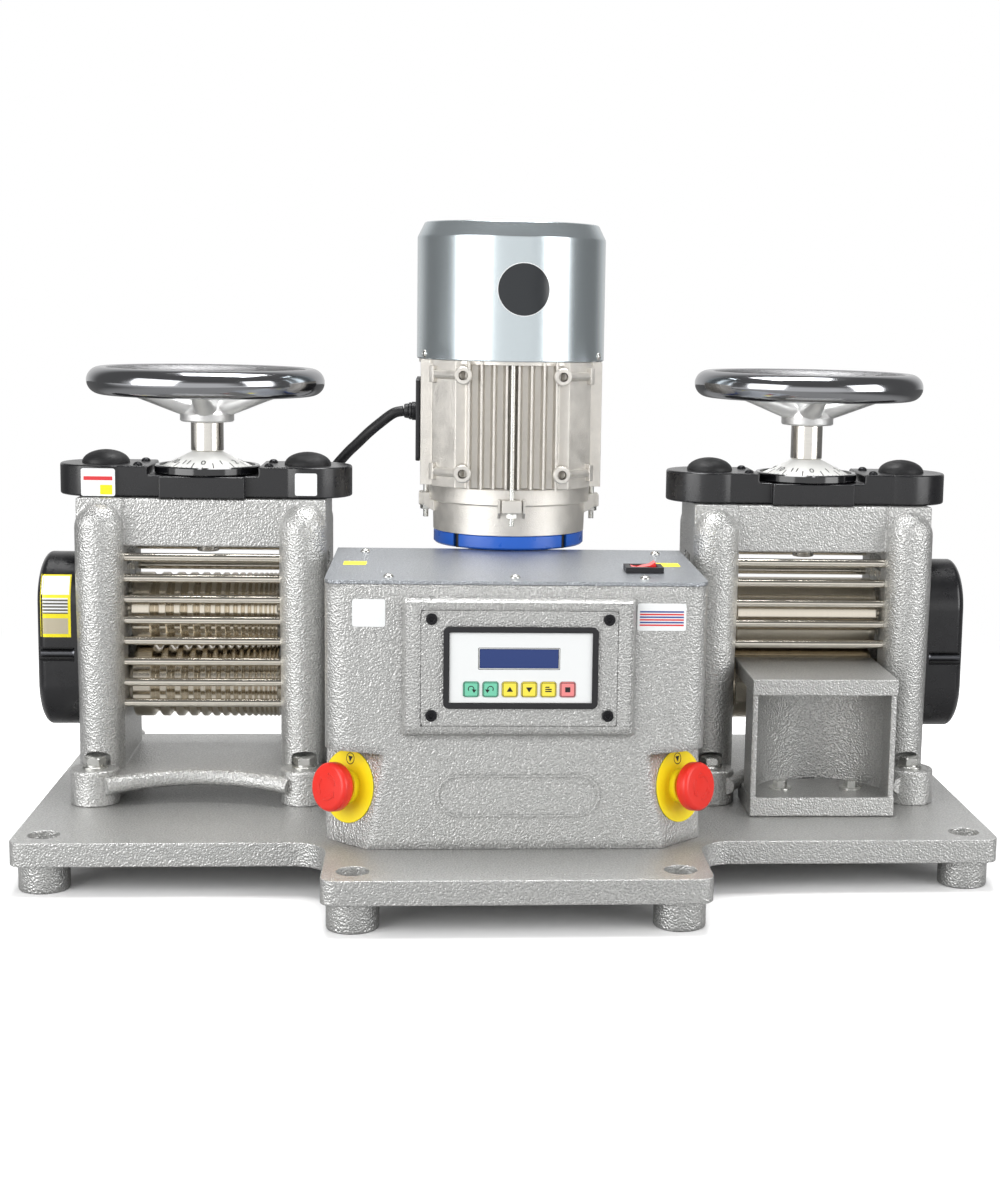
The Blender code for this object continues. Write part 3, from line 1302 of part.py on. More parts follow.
def make_rocker_switch():
    """The switch frame through the lid, and its rocker on a fore-and-aft pivot."""
    lid_top = HOUSING_TOP + GAP + LID_THICKNESS
    origin = machine_origin() + Vector((SWITCH_X, -SWITCH_Y, lid_top))
    half_x = SWITCH_WIDTH / 2
    half_y = SWITCH_DEPTH / 2
    margin = SWITCH_BODY_MARGIN
    frame = box("frame", (-half_x, -half_y, GAP), (half_x, half_y, SWITCH_FLANGE))
    body = box("body", (-half_x + margin, -half_y + margin, -SWITCH_BODY_DEPTH),
               (half_x - margin, half_y - margin, SWITCH_FLANGE / 2))
    rim = SWITCH_RIM
    well = box("well", (-half_x + rim, -half_y + rim, -SWITCH_BODY_DEPTH + SWITCH_FLOOR),
               (half_x - rim, half_y - rim, SWITCH_FLANGE + OVERRUN))
    fuse(frame, body)
    cut(frame, well)
    as_part(frame, "switch_frame", BLACK, origin)
    width = half_x - rim - ROCKER_CLEARANCE
    depth = half_y - rim - ROCKER_CLEARANCE
    top = ROCKER_PROUD - SWITCH_FLANGE
    dip = top * (1 - cos(SWITCH_TILT))
    outline = [(-width, -margin), (-width, top - dip), (-width / 2, SWITCH_FLANGE / 2 - dip),
               (0, SWITCH_FLANGE / 2), (width / 2, SWITCH_FLANGE / 2 - dip),
               (width, top - dip), (width, -margin)]
    outline += arc((0, 0), width / 2, 0, -pi, TINY)
    rocker = plate("rocker", [outline], -depth, depth, UPRIGHT)
    rocker.data.transform(Matrix.Rotation(-SWITCH_TILT, 4, "Y"))
    as_part(rocker, "rocker", RED, origin + Vector((0, 0, SWITCH_FLANGE / 2)))


def make_stop(side, label):
    """An emergency stop: legend plate and body, and the mushroom that presses."""
    place = facet_matrix(side)
    collar_top = LEGEND_THICKNESS + STOP_COLLAR_HEIGHT
    bore = STOP_STEM + RUNNING
    body = turned("body", [
        (bore, collar_top), (STOP_COLLAR, collar_top), (STOP_COLLAR, LEGEND_THICKNESS),
        (LEGEND_RADIUS, LEGEND_THICKNESS), (LEGEND_RADIUS, GAP), (STOP_BODY, GAP),
        (STOP_BODY, -STOP_BODY_DEPTH), (bore, -STOP_BODY_DEPTH)], ROUND, place, closed=True)
    as_part(body, f"{label}_stop_body", YELLOW, machine_origin())
    knob = turned("knob", [
        (0, MUSHROOM_FRONT), (MUSHROOM_RADIUS * 3 / 5, MUSHROOM_FRONT - GAP * 3),
        (MUSHROOM_RADIUS, MUSHROOM_EDGE), (MUSHROOM_RADIUS, MUSHROOM_BACK + GAP * 3),
        (MUSHROOM_NECK, MUSHROOM_BACK), (STOP_STEM, MUSHROOM_BACK),
        (STOP_STEM, -STOP_STEM_DEPTH), (0, -STOP_STEM_DEPTH)], ROUND)
    knob.data.transform(place.to_3x3().to_4x4())
    as_part(knob, f"{label}_stop_button", RED, machine_origin() + place.translation)


def make_gearbox():
    """A worm gearbox: cross case, upright column under the motor, and a foot."""
    gearbox = rod("case", (-GEARBOX_CASE_WIDTH, 0, LOWER_AXIS),
                  (GEARBOX_CASE_WIDTH, 0, LOWER_AXIS), GEARBOX_CASE, sides=ROUND)
    boss = rod("boss", (-GEARBOX_BOSS_WIDTH, 0, LOWER_AXIS),
               (GEARBOX_BOSS_WIDTH, 0, LOWER_AXIS), GEARBOX_BOSS, sides=ROUND)
    column = rod("column", (0, MOTOR_Y, GEARBOX_COLUMN_BOTTOM), (0, MOTOR_Y, RING_BASE - GAP),
                 GEARBOX_NECK, sides=ROUND)
    foot = box("foot", (-GEARBOX_FOOT_WIDTH, -GEARBOX_FOOT_FRONT, GAP),
               (GEARBOX_FOOT_WIDTH, GEARBOX_FOOT_REAR, GEARBOX_FOOT_HEIGHT))
    fuse(gearbox, boss, column, foot)
    for side in (-1, 1):
        x = side * (GEARBOX_CASE_WIDTH - GEARBOX_RIB_WIDTH)
        rib = box("rib", (x, -GEARBOX_FOOT_FRONT + OVERRUN, GEARBOX_FOOT_HEIGHT - OVERRUN),
                  (side * (GEARBOX_CASE_WIDTH - GAP), GEARBOX_FOOT_REAR - OVERRUN,
                   LOWER_AXIS))
        fuse(gearbox, rib)
    bore = rod("bore", (-GEARBOX_BOSS_WIDTH - OVERRUN, 0, LOWER_AXIS),
               (GEARBOX_BOSS_WIDTH + OVERRUN, 0, LOWER_AXIS), SHAFT_RADIUS + RUNNING,
               sides=ROUND)
    socket = rod("socket", (0, MOTOR_Y, RING_BASE - ROTOR_SOCKET_DEPTH),
                 (0, MOTOR_Y, RING_BASE + OVERRUN), ROTOR_SHAFT + RUNNING, sides=COARSE)
    cut(gearbox, bore, socket)
    as_part(gearbox, "gearbox", CAST_ALUMINIUM, machine_origin())


def make_drive_shaft():
    """One shaft through the gearbox, keyed into both lower rolls."""
    reach = STAND_X - CHEEK_OUTER + JOURNAL_SOCKET - RUNNING
    shaft = rod("shaft", (-reach, 0, 0), (reach, 0, 0), SHAFT_RADIUS, sides=ROUND)
    as_part(shaft, "drive_shaft", STEEL, machine_origin() + Vector((0, 0, LOWER_AXIS)))


def motor_origin():
    return machine_origin() + Vector((0, MOTOR_Y, 0))


def make_motor_flange():
    """The blue ring between gearbox and motor, slotted for its four screws."""
    top = RING_BASE + RING_HEIGHT
    ring = turned("ring", [
        (FLANGE_BORE, top), (FLANGE_RADIUS, top), (FLANGE_RADIUS, RING_BASE + FLANGE_CHAMFER),
        (FLANGE_RADIUS - FLANGE_CHAMFER, RING_BASE), (ROTOR_SHAFT * 2, RING_BASE),
        (ROTOR_SHAFT * 2, RING_BASE + FLANGE_CHAMFER * 2),
        (FLANGE_BORE, RING_BASE + FLANGE_CHAMFER * 2)], FINE, closed=True)
    for i in range(4):
        slot = box("slot", (FLANGE_RADIUS - FLANGE_SLOT_DEPTH, -FLANGE_SLOT_WIDTH / 2,
                            RING_BASE - OVERRUN),
                   (FLANGE_RADIUS + OVERRUN, FLANGE_SLOT_WIDTH / 2, top + OVERRUN))
        cut(ring, moved(slot, Matrix.Rotation(pi / 4 + pi / 2 * i, 4, "Z")))
    as_part(ring, "motor_flange", BLUE, motor_origin())


def lug_web_outline():
    """(radius, height) of the thin web that stands on each side of a lug."""
    inner = SHIELD_LOWER - OVERRUN
    return [(inner, LUG_TOP), (LUG_WEB_REACH, LUG_TOP), (LUG_WEB_REACH, LUG_BOTTOM),
            (inner, LUG_BOTTOM - LUG_WEB_DROP)]


def make_end_shield():
    """The drive-end shield: a skirt, a bearing plate and four webbed lugs."""
    bottom = RING_BASE + RING_HEIGHT + GAP
    wall = SHIELD_PLATE / 2
    bore = ROTOR_SHAFT + RUNNING
    plate_bottom = SHIELD_TOP - SHIELD_PLATE
    shield = turned("shield", [
        (bore, SHIELD_TOP), (SHIELD_UPPER, SHIELD_TOP), (SHIELD_UPPER, SHIELD_STEP),
        (SHIELD_LOWER, SHIELD_STEP), (SHIELD_LOWER, bottom), (SHIELD_LOWER - wall, bottom),
        (SHIELD_LOWER - wall, plate_bottom), (bore, plate_bottom)], FINE, closed=True)
    for i in range(4):
        turn = Matrix.Rotation(pi / 2 * i, 4, "Z")
        lug = moved(box("lug", (SHIELD_LOWER - OVERRUN, -LUG_HALF_WIDTH, LUG_BOTTOM),
                        (LUG_REACH, LUG_HALF_WIDTH, LUG_TOP)), turn)
        nut = moved(rod("nut", (STUD_REACH, 0, LUG_BOTTOM - STUD_NUT_HEIGHT),
                        (STUD_REACH, 0, LUG_BOTTOM + OVERRUN), STUD_NUT, sides=6), turn)
        stud = moved(rod("stud", (STUD_REACH, 0, STUD_BOTTOM),
                         (STUD_REACH, 0, LUG_BOTTOM + OVERRUN), STUD_RADIUS, sides=TINY), turn)
        fuse(shield, lug, nut, stud)
        for side in (-1, 1):
            middle = side * (LUG_HALF_WIDTH + WEB_OFFSET + LUG_WEB / 2)
            web = plate("web", [lug_web_outline()], -LUG_WEB / 2, LUG_WEB / 2,
                        turn @ Matrix.Translation((0, middle, 0)) @ UPRIGHT)
            fuse(shield, web)
    as_part(shield, "motor_end_shield", CAST_ALUMINIUM, motor_origin())


def stator_outline():
    """Fins on four faces, with a plain slanted pad at each corner."""
    pitch = 2 * FIN_SPAN / FIN_COUNT
    tip = FIN_TIP_THICKNESS / 2
    root = FIN_ROOT_THICKNESS / 2
    face = [(-PAD_EDGE, PAD_LEVEL)]
    for i in range(FIN_COUNT):
        x = -FIN_SPAN + pitch * (i + 1 / 2)
        face += [(x - root, STATOR_ROOT), (x - tip, STATOR_TIP),
                 (x + tip, STATOR_TIP), (x + root, STATOR_ROOT)]
    face.append((PAD_EDGE, PAD_LEVEL))
    outline = []
    for i in range(4):
        turn = Matrix.Rotation(-pi / 2 * i, 2)
        outline += [tuple(turn @ Vector(point)) for point in face]
    return outline


def make_stator():
    """The finned body, with four bolt bosses and their arms on its front face."""
    bottom = SHIELD_TOP + GAP
    stator = plate("fins", [stator_outline(), circle((0, 0), STATOR_BORE, ROUND)],
                   bottom, STATOR_TOP)
    spigot = turned("spigot", [
        (ROTOR_SHAFT + RUNNING, STATOR_TOP + STATOR_SPIGOT),
        (COWL_RADIUS - COWL_WALL - GAP, STATOR_TOP + STATOR_SPIGOT),
        (COWL_RADIUS - COWL_WALL - GAP, STATOR_TOP - OVERRUN),
        (ROTOR_SHAFT + RUNNING, STATOR_TOP - OVERRUN)], FINE, closed=True)
    fuse(stator, spigot)
    for side in (-1, 1):
        for z in (BOSS_PAD_LOW, BOSS_PAD_HIGH):
            x = side * BOSS_PAD_X
            face = -STATOR_TIP - BOSS_PAD_PROUD
            boss = rod("boss", (x, -STATOR_TIP + BOSS_PAD_DEPTH, z), (x, face, z),
                       BOSS_PAD_RADIUS, sides=COARSE)
            arm = rod("arm", (x, -STATOR_TIP + ARM_RADIUS / 2, z),
                      (side * ARM_END_X, -ARM_END_Y, z), ARM_RADIUS, sides=TINY)
            hole = rod("hole", (x, face + BOSS_PAD_DEPTH / 2, z), (x, face - OVERRUN, z),
                       BOSS_PAD_HOLE, sides=TINY)
            tab = moved(box("tab", (-TAB_WIDTH / 2, -TAB_PROUD, -TAB_HEIGHT / 2),
                            (TAB_WIDTH / 2, TAB_PROUD, TAB_HEIGHT / 2)),
                        Matrix.Translation((side * ARM_END_X, -ARM_END_Y, z))
                        @ Matrix.Rotation(side * pi / 4, 4, "Z"))
            fuse(stator, boss, arm, tab)
            cut(stator, hole)
    as_part(stator, "motor_stator", CAST_ALUMINIUM, motor_origin())


def make_fan_cowl():
    """The round fan cowl, with slots in its top for the air."""
    bottom = STATOR_TOP + GAP
    wall = COWL_WALL
    cowl = turned("cowl", [
        (0, COWL_TOP), (COWL_TOP_RADIUS, COWL_TOP), (COWL_RADIUS, COWL_SHOULDER),
        (COWL_RADIUS, bottom), (COWL_RADIUS - wall, bottom),
        (COWL_RADIUS - wall, COWL_SHOULDER - wall / 2),
        (COWL_TOP_RADIUS - wall, COWL_TOP - wall), (0, COWL_TOP - wall)], FINE)
    for i in range(COWL_SLOTS):
        angle = 2 * pi * i / COWL_SLOTS
        slot = moved(box("slot", (COWL_SLOT_INNER, -COWL_SLOT_WIDTH / 2,
                                  COWL_TOP - wall - OVERRUN),
                         (COWL_SLOT_OUTER, COWL_SLOT_WIDTH / 2, COWL_TOP + OVERRUN)),
                     Matrix.Rotation(angle, 4, "Z"))
        cut(cowl, slot)
    as_part(cowl, "fan_cowl", COWL_PAINT, motor_origin())


def make_rotor():
    """The motor's shaft and core, with the cooling fan on its upper end."""
    bottom = RING_BASE - ROTOR_SOCKET_DEPTH + OVERRUN
    fan_top = FAN_BOTTOM + FAN_DISC
    rotor = turned("rotor", [
        (0, ROTOR_TOP), (ROTOR_SHAFT, ROTOR_TOP), (ROTOR_SHAFT, fan_top + FAN_HEIGHT),
        (FAN_HUB, fan_top + FAN_HEIGHT), (FAN_HUB, fan_top), (FAN_RADIUS, fan_top),
        (FAN_RADIUS, FAN_BOTTOM), (ROTOR_SHAFT, FAN_BOTTOM), (ROTOR_SHAFT, ROTOR_CORE_TOP),
        (ROTOR_CORE, ROTOR_CORE_TOP), (ROTOR_CORE, ROTOR_CORE_BOTTOM),
        (ROTOR_SHAFT, ROTOR_CORE_BOTTOM), (ROTOR_SHAFT, bottom), (0, bottom)], ROUND)
    for i in range(FAN_BLADES):
        blade = moved(box("blade", (FAN_HUB - OVERRUN, -FAN_BLADE_THICKNESS / 2,
                                    FAN_BOTTOM + FAN_DISC / 2),
                          (FAN_RADIUS - FAN_DISC, FAN_BLADE_THICKNESS / 2,
                           fan_top + FAN_HEIGHT - FAN_DISC)),
                      Matrix.Rotation(2 * pi * i / FAN_BLADES, 4, "Z"))
        fuse(rotor, blade)
    as_part(rotor, "motor_rotor", STEEL, motor_origin())


def make_terminal_plate():
    """The black terminal cover on the motor's left side, with the lead's gland."""
    inner = -STATOR_TIP - GAP
    half = TERMINAL_HALF_WIDTH
    cover = plate("cover", [rectangle(-half, half, TERMINAL_BOTTOM, TERMINAL_TOP,
                                      TERMINAL_CORNER)], -TERMINAL_OUTER, inner, ACROSS)
    flange_end = -TERMINAL_OUTER - GLAND_FLANGE
    end = -TERMINAL_OUTER - GLAND_LENGTH
    flange = rod("gland", (inner - OVERRUN, 0, GLAND_Z), (flange_end, 0, GLAND_Z),
                 GLAND_RADIUS, sides=SMALL)
    neck = rod("gland", (inner - OVERRUN, 0, GLAND_Z), (end, 0, GLAND_Z),
               GLAND_RADIUS, GLAND_NECK, sides=SMALL)
    fuse(cover, flange, neck)
    as_part(cover, "terminal_cover", BLACK, motor_origin())


def smooth_route(points, step):
    """Evenly spaced places along a smooth curve through the given points."""
    points = [Vector(point) for point in points]
    padded = [points[0] * 2 - points[1]] + points + [points[-1] * 2 - points[-2]]
    dense = []
    for a, b, c, d in zip(padded, padded[1:], padded[2:], padded[3:]):
        for i in range(COARSE):
            t = i / COARSE
            dense.append((b * 2 + (c - a) * t + (a * 2 - b * 5 + c * 4 - d) * t ** 2
                          + (b * 3 - a - c * 3 + d) * t ** 3) / 2)
    dense.append(points[-1])
    lengths = [0]
    for a, b in zip(dense, dense[1:]):
        lengths.append(lengths[-1] + (b - a).length)
    count = max(2, ceil(lengths[-1] / step))
    places = []
    k = 0
    for i in range(count + 1):
        target = lengths[-1] * i / count
        while k < len(lengths) - 2 and lengths[k + 1] < target:
            k += 1
        share = (target - lengths[k]) / (lengths[k + 1] - lengths[k])
        places.append(dense[k].lerp(dense[k + 1], share))
    return places, lengths[-1]


def make_motor_lead():
    """The motor's lead, from its terminal cover round behind the left stand."""
    start = Vector((-TERMINAL_OUTER - GLAND_LENGTH - GAP, MOTOR_Y, GLAND_Z))
    end = Vector((-REAR_COVER_HALF_WIDTH - GLAND_LENGTH - GAP, LEAD_END_Y, LEAD_END_Z))
    out = Vector((-LEAD_DIAMETER, 0, 0))
    route = [start] + LEAD_ROUTE + [end + out, end]
    places, length = smooth_route(route, LEAD_STEP)
    places[1] = Vector((places[1].x, start.y, start.z))
    places[-2] = Vector((places[-2].x, end.y, end.z))
    lead = baked(tube("lead", places, LEAD_DIAMETER / 2), "lead")
    as_part(lead, "motor_lead", RUBBER, machine_origin())
    print(f"lead length {length:.4f} m")


def make_stand_group(side, label, grooved, rods, deck_reach):
    """Everything that one roll stand carries."""
    make_stand(side, f"{label}_stand", rods, deck_reach)
    make_roll(side, f"{label}_lower_roll", grooved, LOWER_AXIS, LOWER_JOURNAL, True)
    make_roll(side, f"{label}_upper_roll", grooved, UPPER_AXIS, UPPER_JOURNAL, False)
    half_tooth = pi / GEAR_TEETH
    make_gear(side, f"{label}_lower_gear", LOWER_AXIS, 0)
    make_gear(side, f"{label}_upper_gear", UPPER_AXIS, half_tooth)
    for name, direction in (("inner", -1), ("outer", 1)):
        make_chock(side, f"{label}_{name}_chock", side * direction)
        make_screw(side, f"{label}_{name}_screw", side * direction)
    make_gear_cover(side, f"{label}_gear_cover")
    make_top_cover(side, f"{label}_top_cover")
    make_spindle(side, f"{label}_spindle")
    make_dial(side, f"{label}_dial")
    make_handwheel(side, f"{label}_handwheel")


def main():
    make_base()
    make_stand_group(-1, "left", True, WIRE_STAND_RODS, DECK_MIDDLE_REACH)
    make_stand_group(1, "right", False, TABLE_STAND_RODS, TABLE_DECK_REACH)
    make_work_table()
    make_housing()
    make_lid()
    make_rear_cover()
    make_panel_plate()
    make_keypad_frame()
    make_overlay()
    make_keys()
    make_rocker_switch()
    make_stop(-1, "left")
    make_stop(1, "right")
    make_gearbox()
    make_drive_shaft()
    make_motor_flange()
    make_end_shield()
    make_stator()
    make_fan_cowl()
    make_rotor()
    make_terminal_plate()
    make_motor_lead()


main()
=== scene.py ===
"""Looks, light and camera for the double rolling mill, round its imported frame.

Each sub-assembly is a class that builds finer pieces than the frame's where the
render needs them. Its sizes are metres from its own zero: the roll axis, the
middle of the stand or machine, and the top of the base plate.
"""

import logging
from dataclasses import dataclass, replace
from enum import Enum
from functools import cache, partial
from math import acos, asin, atan2, cos, pi, radians, sin, sqrt, tan
from typing import Iterable, Optional, Sequence

import bmesh
import bpy
from mathutils import Matrix, Vector

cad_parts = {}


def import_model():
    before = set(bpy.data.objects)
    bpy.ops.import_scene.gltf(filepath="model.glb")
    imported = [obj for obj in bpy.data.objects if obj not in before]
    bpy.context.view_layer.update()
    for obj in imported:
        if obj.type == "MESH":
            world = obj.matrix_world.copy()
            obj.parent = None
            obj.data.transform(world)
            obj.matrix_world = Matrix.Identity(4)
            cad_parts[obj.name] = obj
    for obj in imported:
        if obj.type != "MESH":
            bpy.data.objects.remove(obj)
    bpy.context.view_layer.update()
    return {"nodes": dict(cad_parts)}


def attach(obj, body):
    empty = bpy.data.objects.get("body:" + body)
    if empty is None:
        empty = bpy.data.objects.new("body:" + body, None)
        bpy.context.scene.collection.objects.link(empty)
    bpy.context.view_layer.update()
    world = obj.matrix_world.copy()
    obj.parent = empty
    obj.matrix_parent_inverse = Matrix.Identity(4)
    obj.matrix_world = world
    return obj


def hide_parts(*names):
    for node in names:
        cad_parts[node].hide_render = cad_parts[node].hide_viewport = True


LOG = logging.getLogger("rolling_mill")

Item = bpy.types.Object
Node = bpy.types.Node
Socket = bpy.types.NodeSocket
Point = Sequence[float]
Outline = list[tuple[float, float]]

MM = 0.001
HAIR = 0.05 * MM
MERGE = 0.01 * MM
FLUSH = 0.3 * MM
QUARTER = pi / 2
SIGNS = (-1, 1)
SHARP = radians(32)
IDENTITY = Matrix.Identity(4)
ACROSS = Matrix(((0, 0, 1, 0), (1, 0, 0, 0), (0, 1, 0, 0), (0, 0, 0, 1)))
UPRIGHT = Matrix(((1, 0, 0, 0), (0, 0, -1, 0), (0, 1, 0, 0), (0, 0, 0, 1)))


class Body(Enum):
    """Bodies of the frame that both stands share."""

    MACHINE = "machine"
    DRIVE = "drive"


class Side(Enum):
    """The two stands, by the sign of their place along X."""

    LEFT = -1
    RIGHT = 1

    @property
    def label(self) -> str:
        """The side's word in node and body names."""
        return self.name.lower()


class Pattern(Enum):
    """How a surface was made, which decides its small relief."""

    PLAIN = "plain"
    HAMMERED = "hammered"
    CAST = "cast"
    MOULDED = "moulded"
    TURNED_X = "turned about x"
    TURNED_Z = "turned about z"
    FLAKE = "flake"


@dataclass(frozen=True)
class Finish:
    """One surface finish: what the material is and how it catches the light."""

    name: str
    slot: str
    colour: str
    roughness: float
    metallic: float = 0.0
    pattern: Pattern = Pattern.PLAIN
    coat: float = 0.0
    relief: float = 1.0
    second: str = ""
    edge: float = 1.0


# Silver hammer paint: aluminium flake in a lacquer that dries into small dimples
HAMMER_PAINT = Finish("hammer_paint", "hammered_paint", "#c8c8c6", 0.28, 0.72,
                      Pattern.HAMMERED, 0.0, 1.45, "#a4a4a3")
# The same paint on the housing, whose upright corners are generously rounded
HOUSING_PAINT = replace(HAMMER_PAINT, name="housing_paint", edge=7.0)
# The folded lid's coat is thinner and a little bluer
LID_PAINT = replace(HAMMER_PAINT, name="lid_paint", colour="#aeb2b7", second="#999da2")
# Black satin paint on cast covers: deep black with a soft, wide highlight
BLACK_COVER = Finish("black_cover", "black_plastic", "#131316", 0.28, 0.0, Pattern.MOULDED, 0.2)
# The pan that the dial turns in: black, stoved and polished
GLOSS_BLACK = Finish("gloss_black", "black_plastic", "#0f0f12", 0.12, 0.0, Pattern.PLAIN, 0.5)
# Moulded ABS round the keypad and switch: fine grain, slightly grey
BLACK_ABS = Finish("black_abs", "black_plastic", "#1b1b1e", 0.42, 0.0, Pattern.MOULDED)
# Natural rubber caps: dull with a faint sheen
RUBBER = Finish("rubber_cap", "black_plastic", "#161618", 0.55, 0.0, Pattern.MOULDED)
# Cable jacket of soft PVC
JACKET = Finish("cable_jacket", "lead_rubber", "#1a1a1c", 0.48, 0.0, Pattern.MOULDED)
# Hardened roll steel, ground: warm grey with fine rings round the roll
ROLL_STEEL = Finish("roll_steel", "ground_steel", "#e0d8c9", 0.17, 1.0, Pattern.TURNED_X)
# Bright drawn bar for guard rods and shafts
BAR_STEEL = Finish("bar_steel", "ground_steel", "#e6e0d4", 0.15, 1.0, Pattern.TURNED_X)
# Turned spindle steel: rings about the upright axis
SPINDLE_STEEL = Finish("spindle_steel", "ground_steel", "#dddad4", 0.2, 1.0, Pattern.TURNED_Z)
# Zinc plated fasteners: pale, a little milky
ZINC = Finish("zinc_plate", "ground_steel", "#d8d8d4", 0.28, 1.0, Pattern.CAST, 0.0, 0.2)
# Chrome on a polished rim: dark, with soft-edged lights
CHROME = Finish("bright_chrome", "chrome", "#9fa0a3", 0.13, 1.0)
# Nickel over a rough casting: the hub and spokes
NICKEL_CASTING = Finish("nickel_casting", "chrome", "#d9d9d8", 0.42, 0.8, Pattern.CAST, 0.0, 1.5)
# The rim's hidden side, left as cast: a dark, coarse sand surface
RAW_CASTING = Finish("raw_casting", "chrome", "#7b7b7c", 0.42, 0.9, Pattern.CAST, 0.0, 3.0)
# Etched dial ring: satin aluminium with a white lacquer
DIAL_FACE = Finish("dial_face", "dial_face", "#e6e6e3", 0.34, 0.1, Pattern.MOULDED)
# Printed black ink
INK = Finish("black_ink", "dial_face", "#17171a", 0.5)
# Pressure die-cast aluminium: pale with a dull grain
CAST_ALUMINIUM = Finish("cast_aluminium", "cast_aluminium", "#e0dcd5", 0.38, 0.75,
                        Pattern.CAST, 0.0, 1.8)
# Silver lacquer on spun steel
COWL_PAINT = Finish("cowl_paint", "cowl_paint", "#c8d1d5", 0.24, 0.9, Pattern.FLAKE, 0.15)
# Blue enamel on the motor's flange
BLUE_ENAMEL = Finish("blue_enamel", "blue_enamel", "#1f5fc4", 0.3, 0.0, Pattern.MOULDED, 0.3)
# Injection moulded polycarbonate knobs
RED_KNOB = Finish("red_knob", "red_plastic", "#e32c20", 0.33, 0.0, Pattern.MOULDED)
RED_ROCKER = Finish("red_rocker", "red_plastic", "#e02422", 0.2, 0.0, Pattern.PLAIN, 0.4)
# Printed yellow sheet under the knobs
YELLOW_PLATE = Finish("yellow_plate", "yellow_plastic", "#fbe61c", 0.36, 0.0, Pattern.MOULDED)
# Printed polyester film of the keypad
WHITE_FILM = Finish("white_film", "white_film", "#e8eaea", 0.38, 0.0, Pattern.MOULDED)
DISPLAY_GLASS = Finish("display_glass", "display_blue", "#253a72", 0.35, 0.0, Pattern.PLAIN, 0.0)
MINT_KEY = Finish("mint_key", "mint_key", "#74c9a9", 0.4, 0.0, Pattern.MOULDED)
YELLOW_KEY = Finish("yellow_key", "yellow_key", "#f3e14e", 0.4, 0.0, Pattern.MOULDED)
PINK_KEY = Finish("pink_key", "pink_key", "#ea8a8a", 0.4, 0.0, Pattern.MOULDED)
# Vinyl stickers
WHITE_STICKER = Finish("white_sticker", "white_film", "#eef0f0", 0.35)
YELLOW_STICKER = Finish("yellow_sticker", "white_film", "#f2e21b", 0.35)
RED_STICKER = Finish("red_sticker", "white_film", "#d8343a", 0.35)
BLUE_STICKER = Finish("blue_sticker", "white_film", "#3a4f93", 0.35)
GREY_STICKER = Finish("grey_sticker", "white_film", "#5a574c", 0.35)
TAN_STICKER = Finish("tan_sticker", "white_film", "#b9b099", 0.35)
BADGE = Finish("gloss_badge", "black_plastic", "#1b1f23", 0.2, 0.0, Pattern.PLAIN, 0.1)
# Blackened socket screws
BLACK_SCREW = Finish("black_screw", "black_plastic", "#202023", 0.35, 0.6, Pattern.CAST, 0.0, 0.3)
# Oiled dark steel of the cover's screws
OILED_STEEL = Finish("oiled_steel", "black_plastic", "#5c5d61", 0.28, 0.9)


def linear(hex_colour: str) -> tuple[float, float, float, float]:
    """Turn an sRGB hex colour into linear RGBA.

    Args:
        hex_colour: Six hex digits after a hash.

    Returns:
        The linear colour with alpha 1.
    """
    values = [int(hex_colour[i:i + 2], 16) / 255 for i in (1, 3, 5)]
    curve = [v / 12.92 if v <= 0.04045 else ((v + 0.055) / 1.055) ** 2.4 for v in values]
    return (curve[0], curve[1], curve[2], 1.0)


def add_node(tree: bpy.types.NodeTree, kind: str, settings: Optional[dict] = None,
             inputs: Optional[dict] = None) -> Node:
    """Add one node, set its properties, and set or link its inputs.

    Args:
        tree: The node tree that gets the node.
        kind: The node's Blender type name.
        settings: Property names and their values.
        inputs: Input names or numbers, each with a value, or with an output to link;
            a node stands for its first output.

    Returns:
        The new node.
    """
    node = tree.nodes.new(kind)
    for name, value in (settings or {}).items():
        setattr(node, name, value)
    for key, value in (inputs or {}).items():
        source = value.outputs[0] if isinstance(value, Node) else value
        if isinstance(source, Socket):
            tree.links.new(source, node.inputs[key])
        else:
            node.inputs[key].default_value = source
    return node


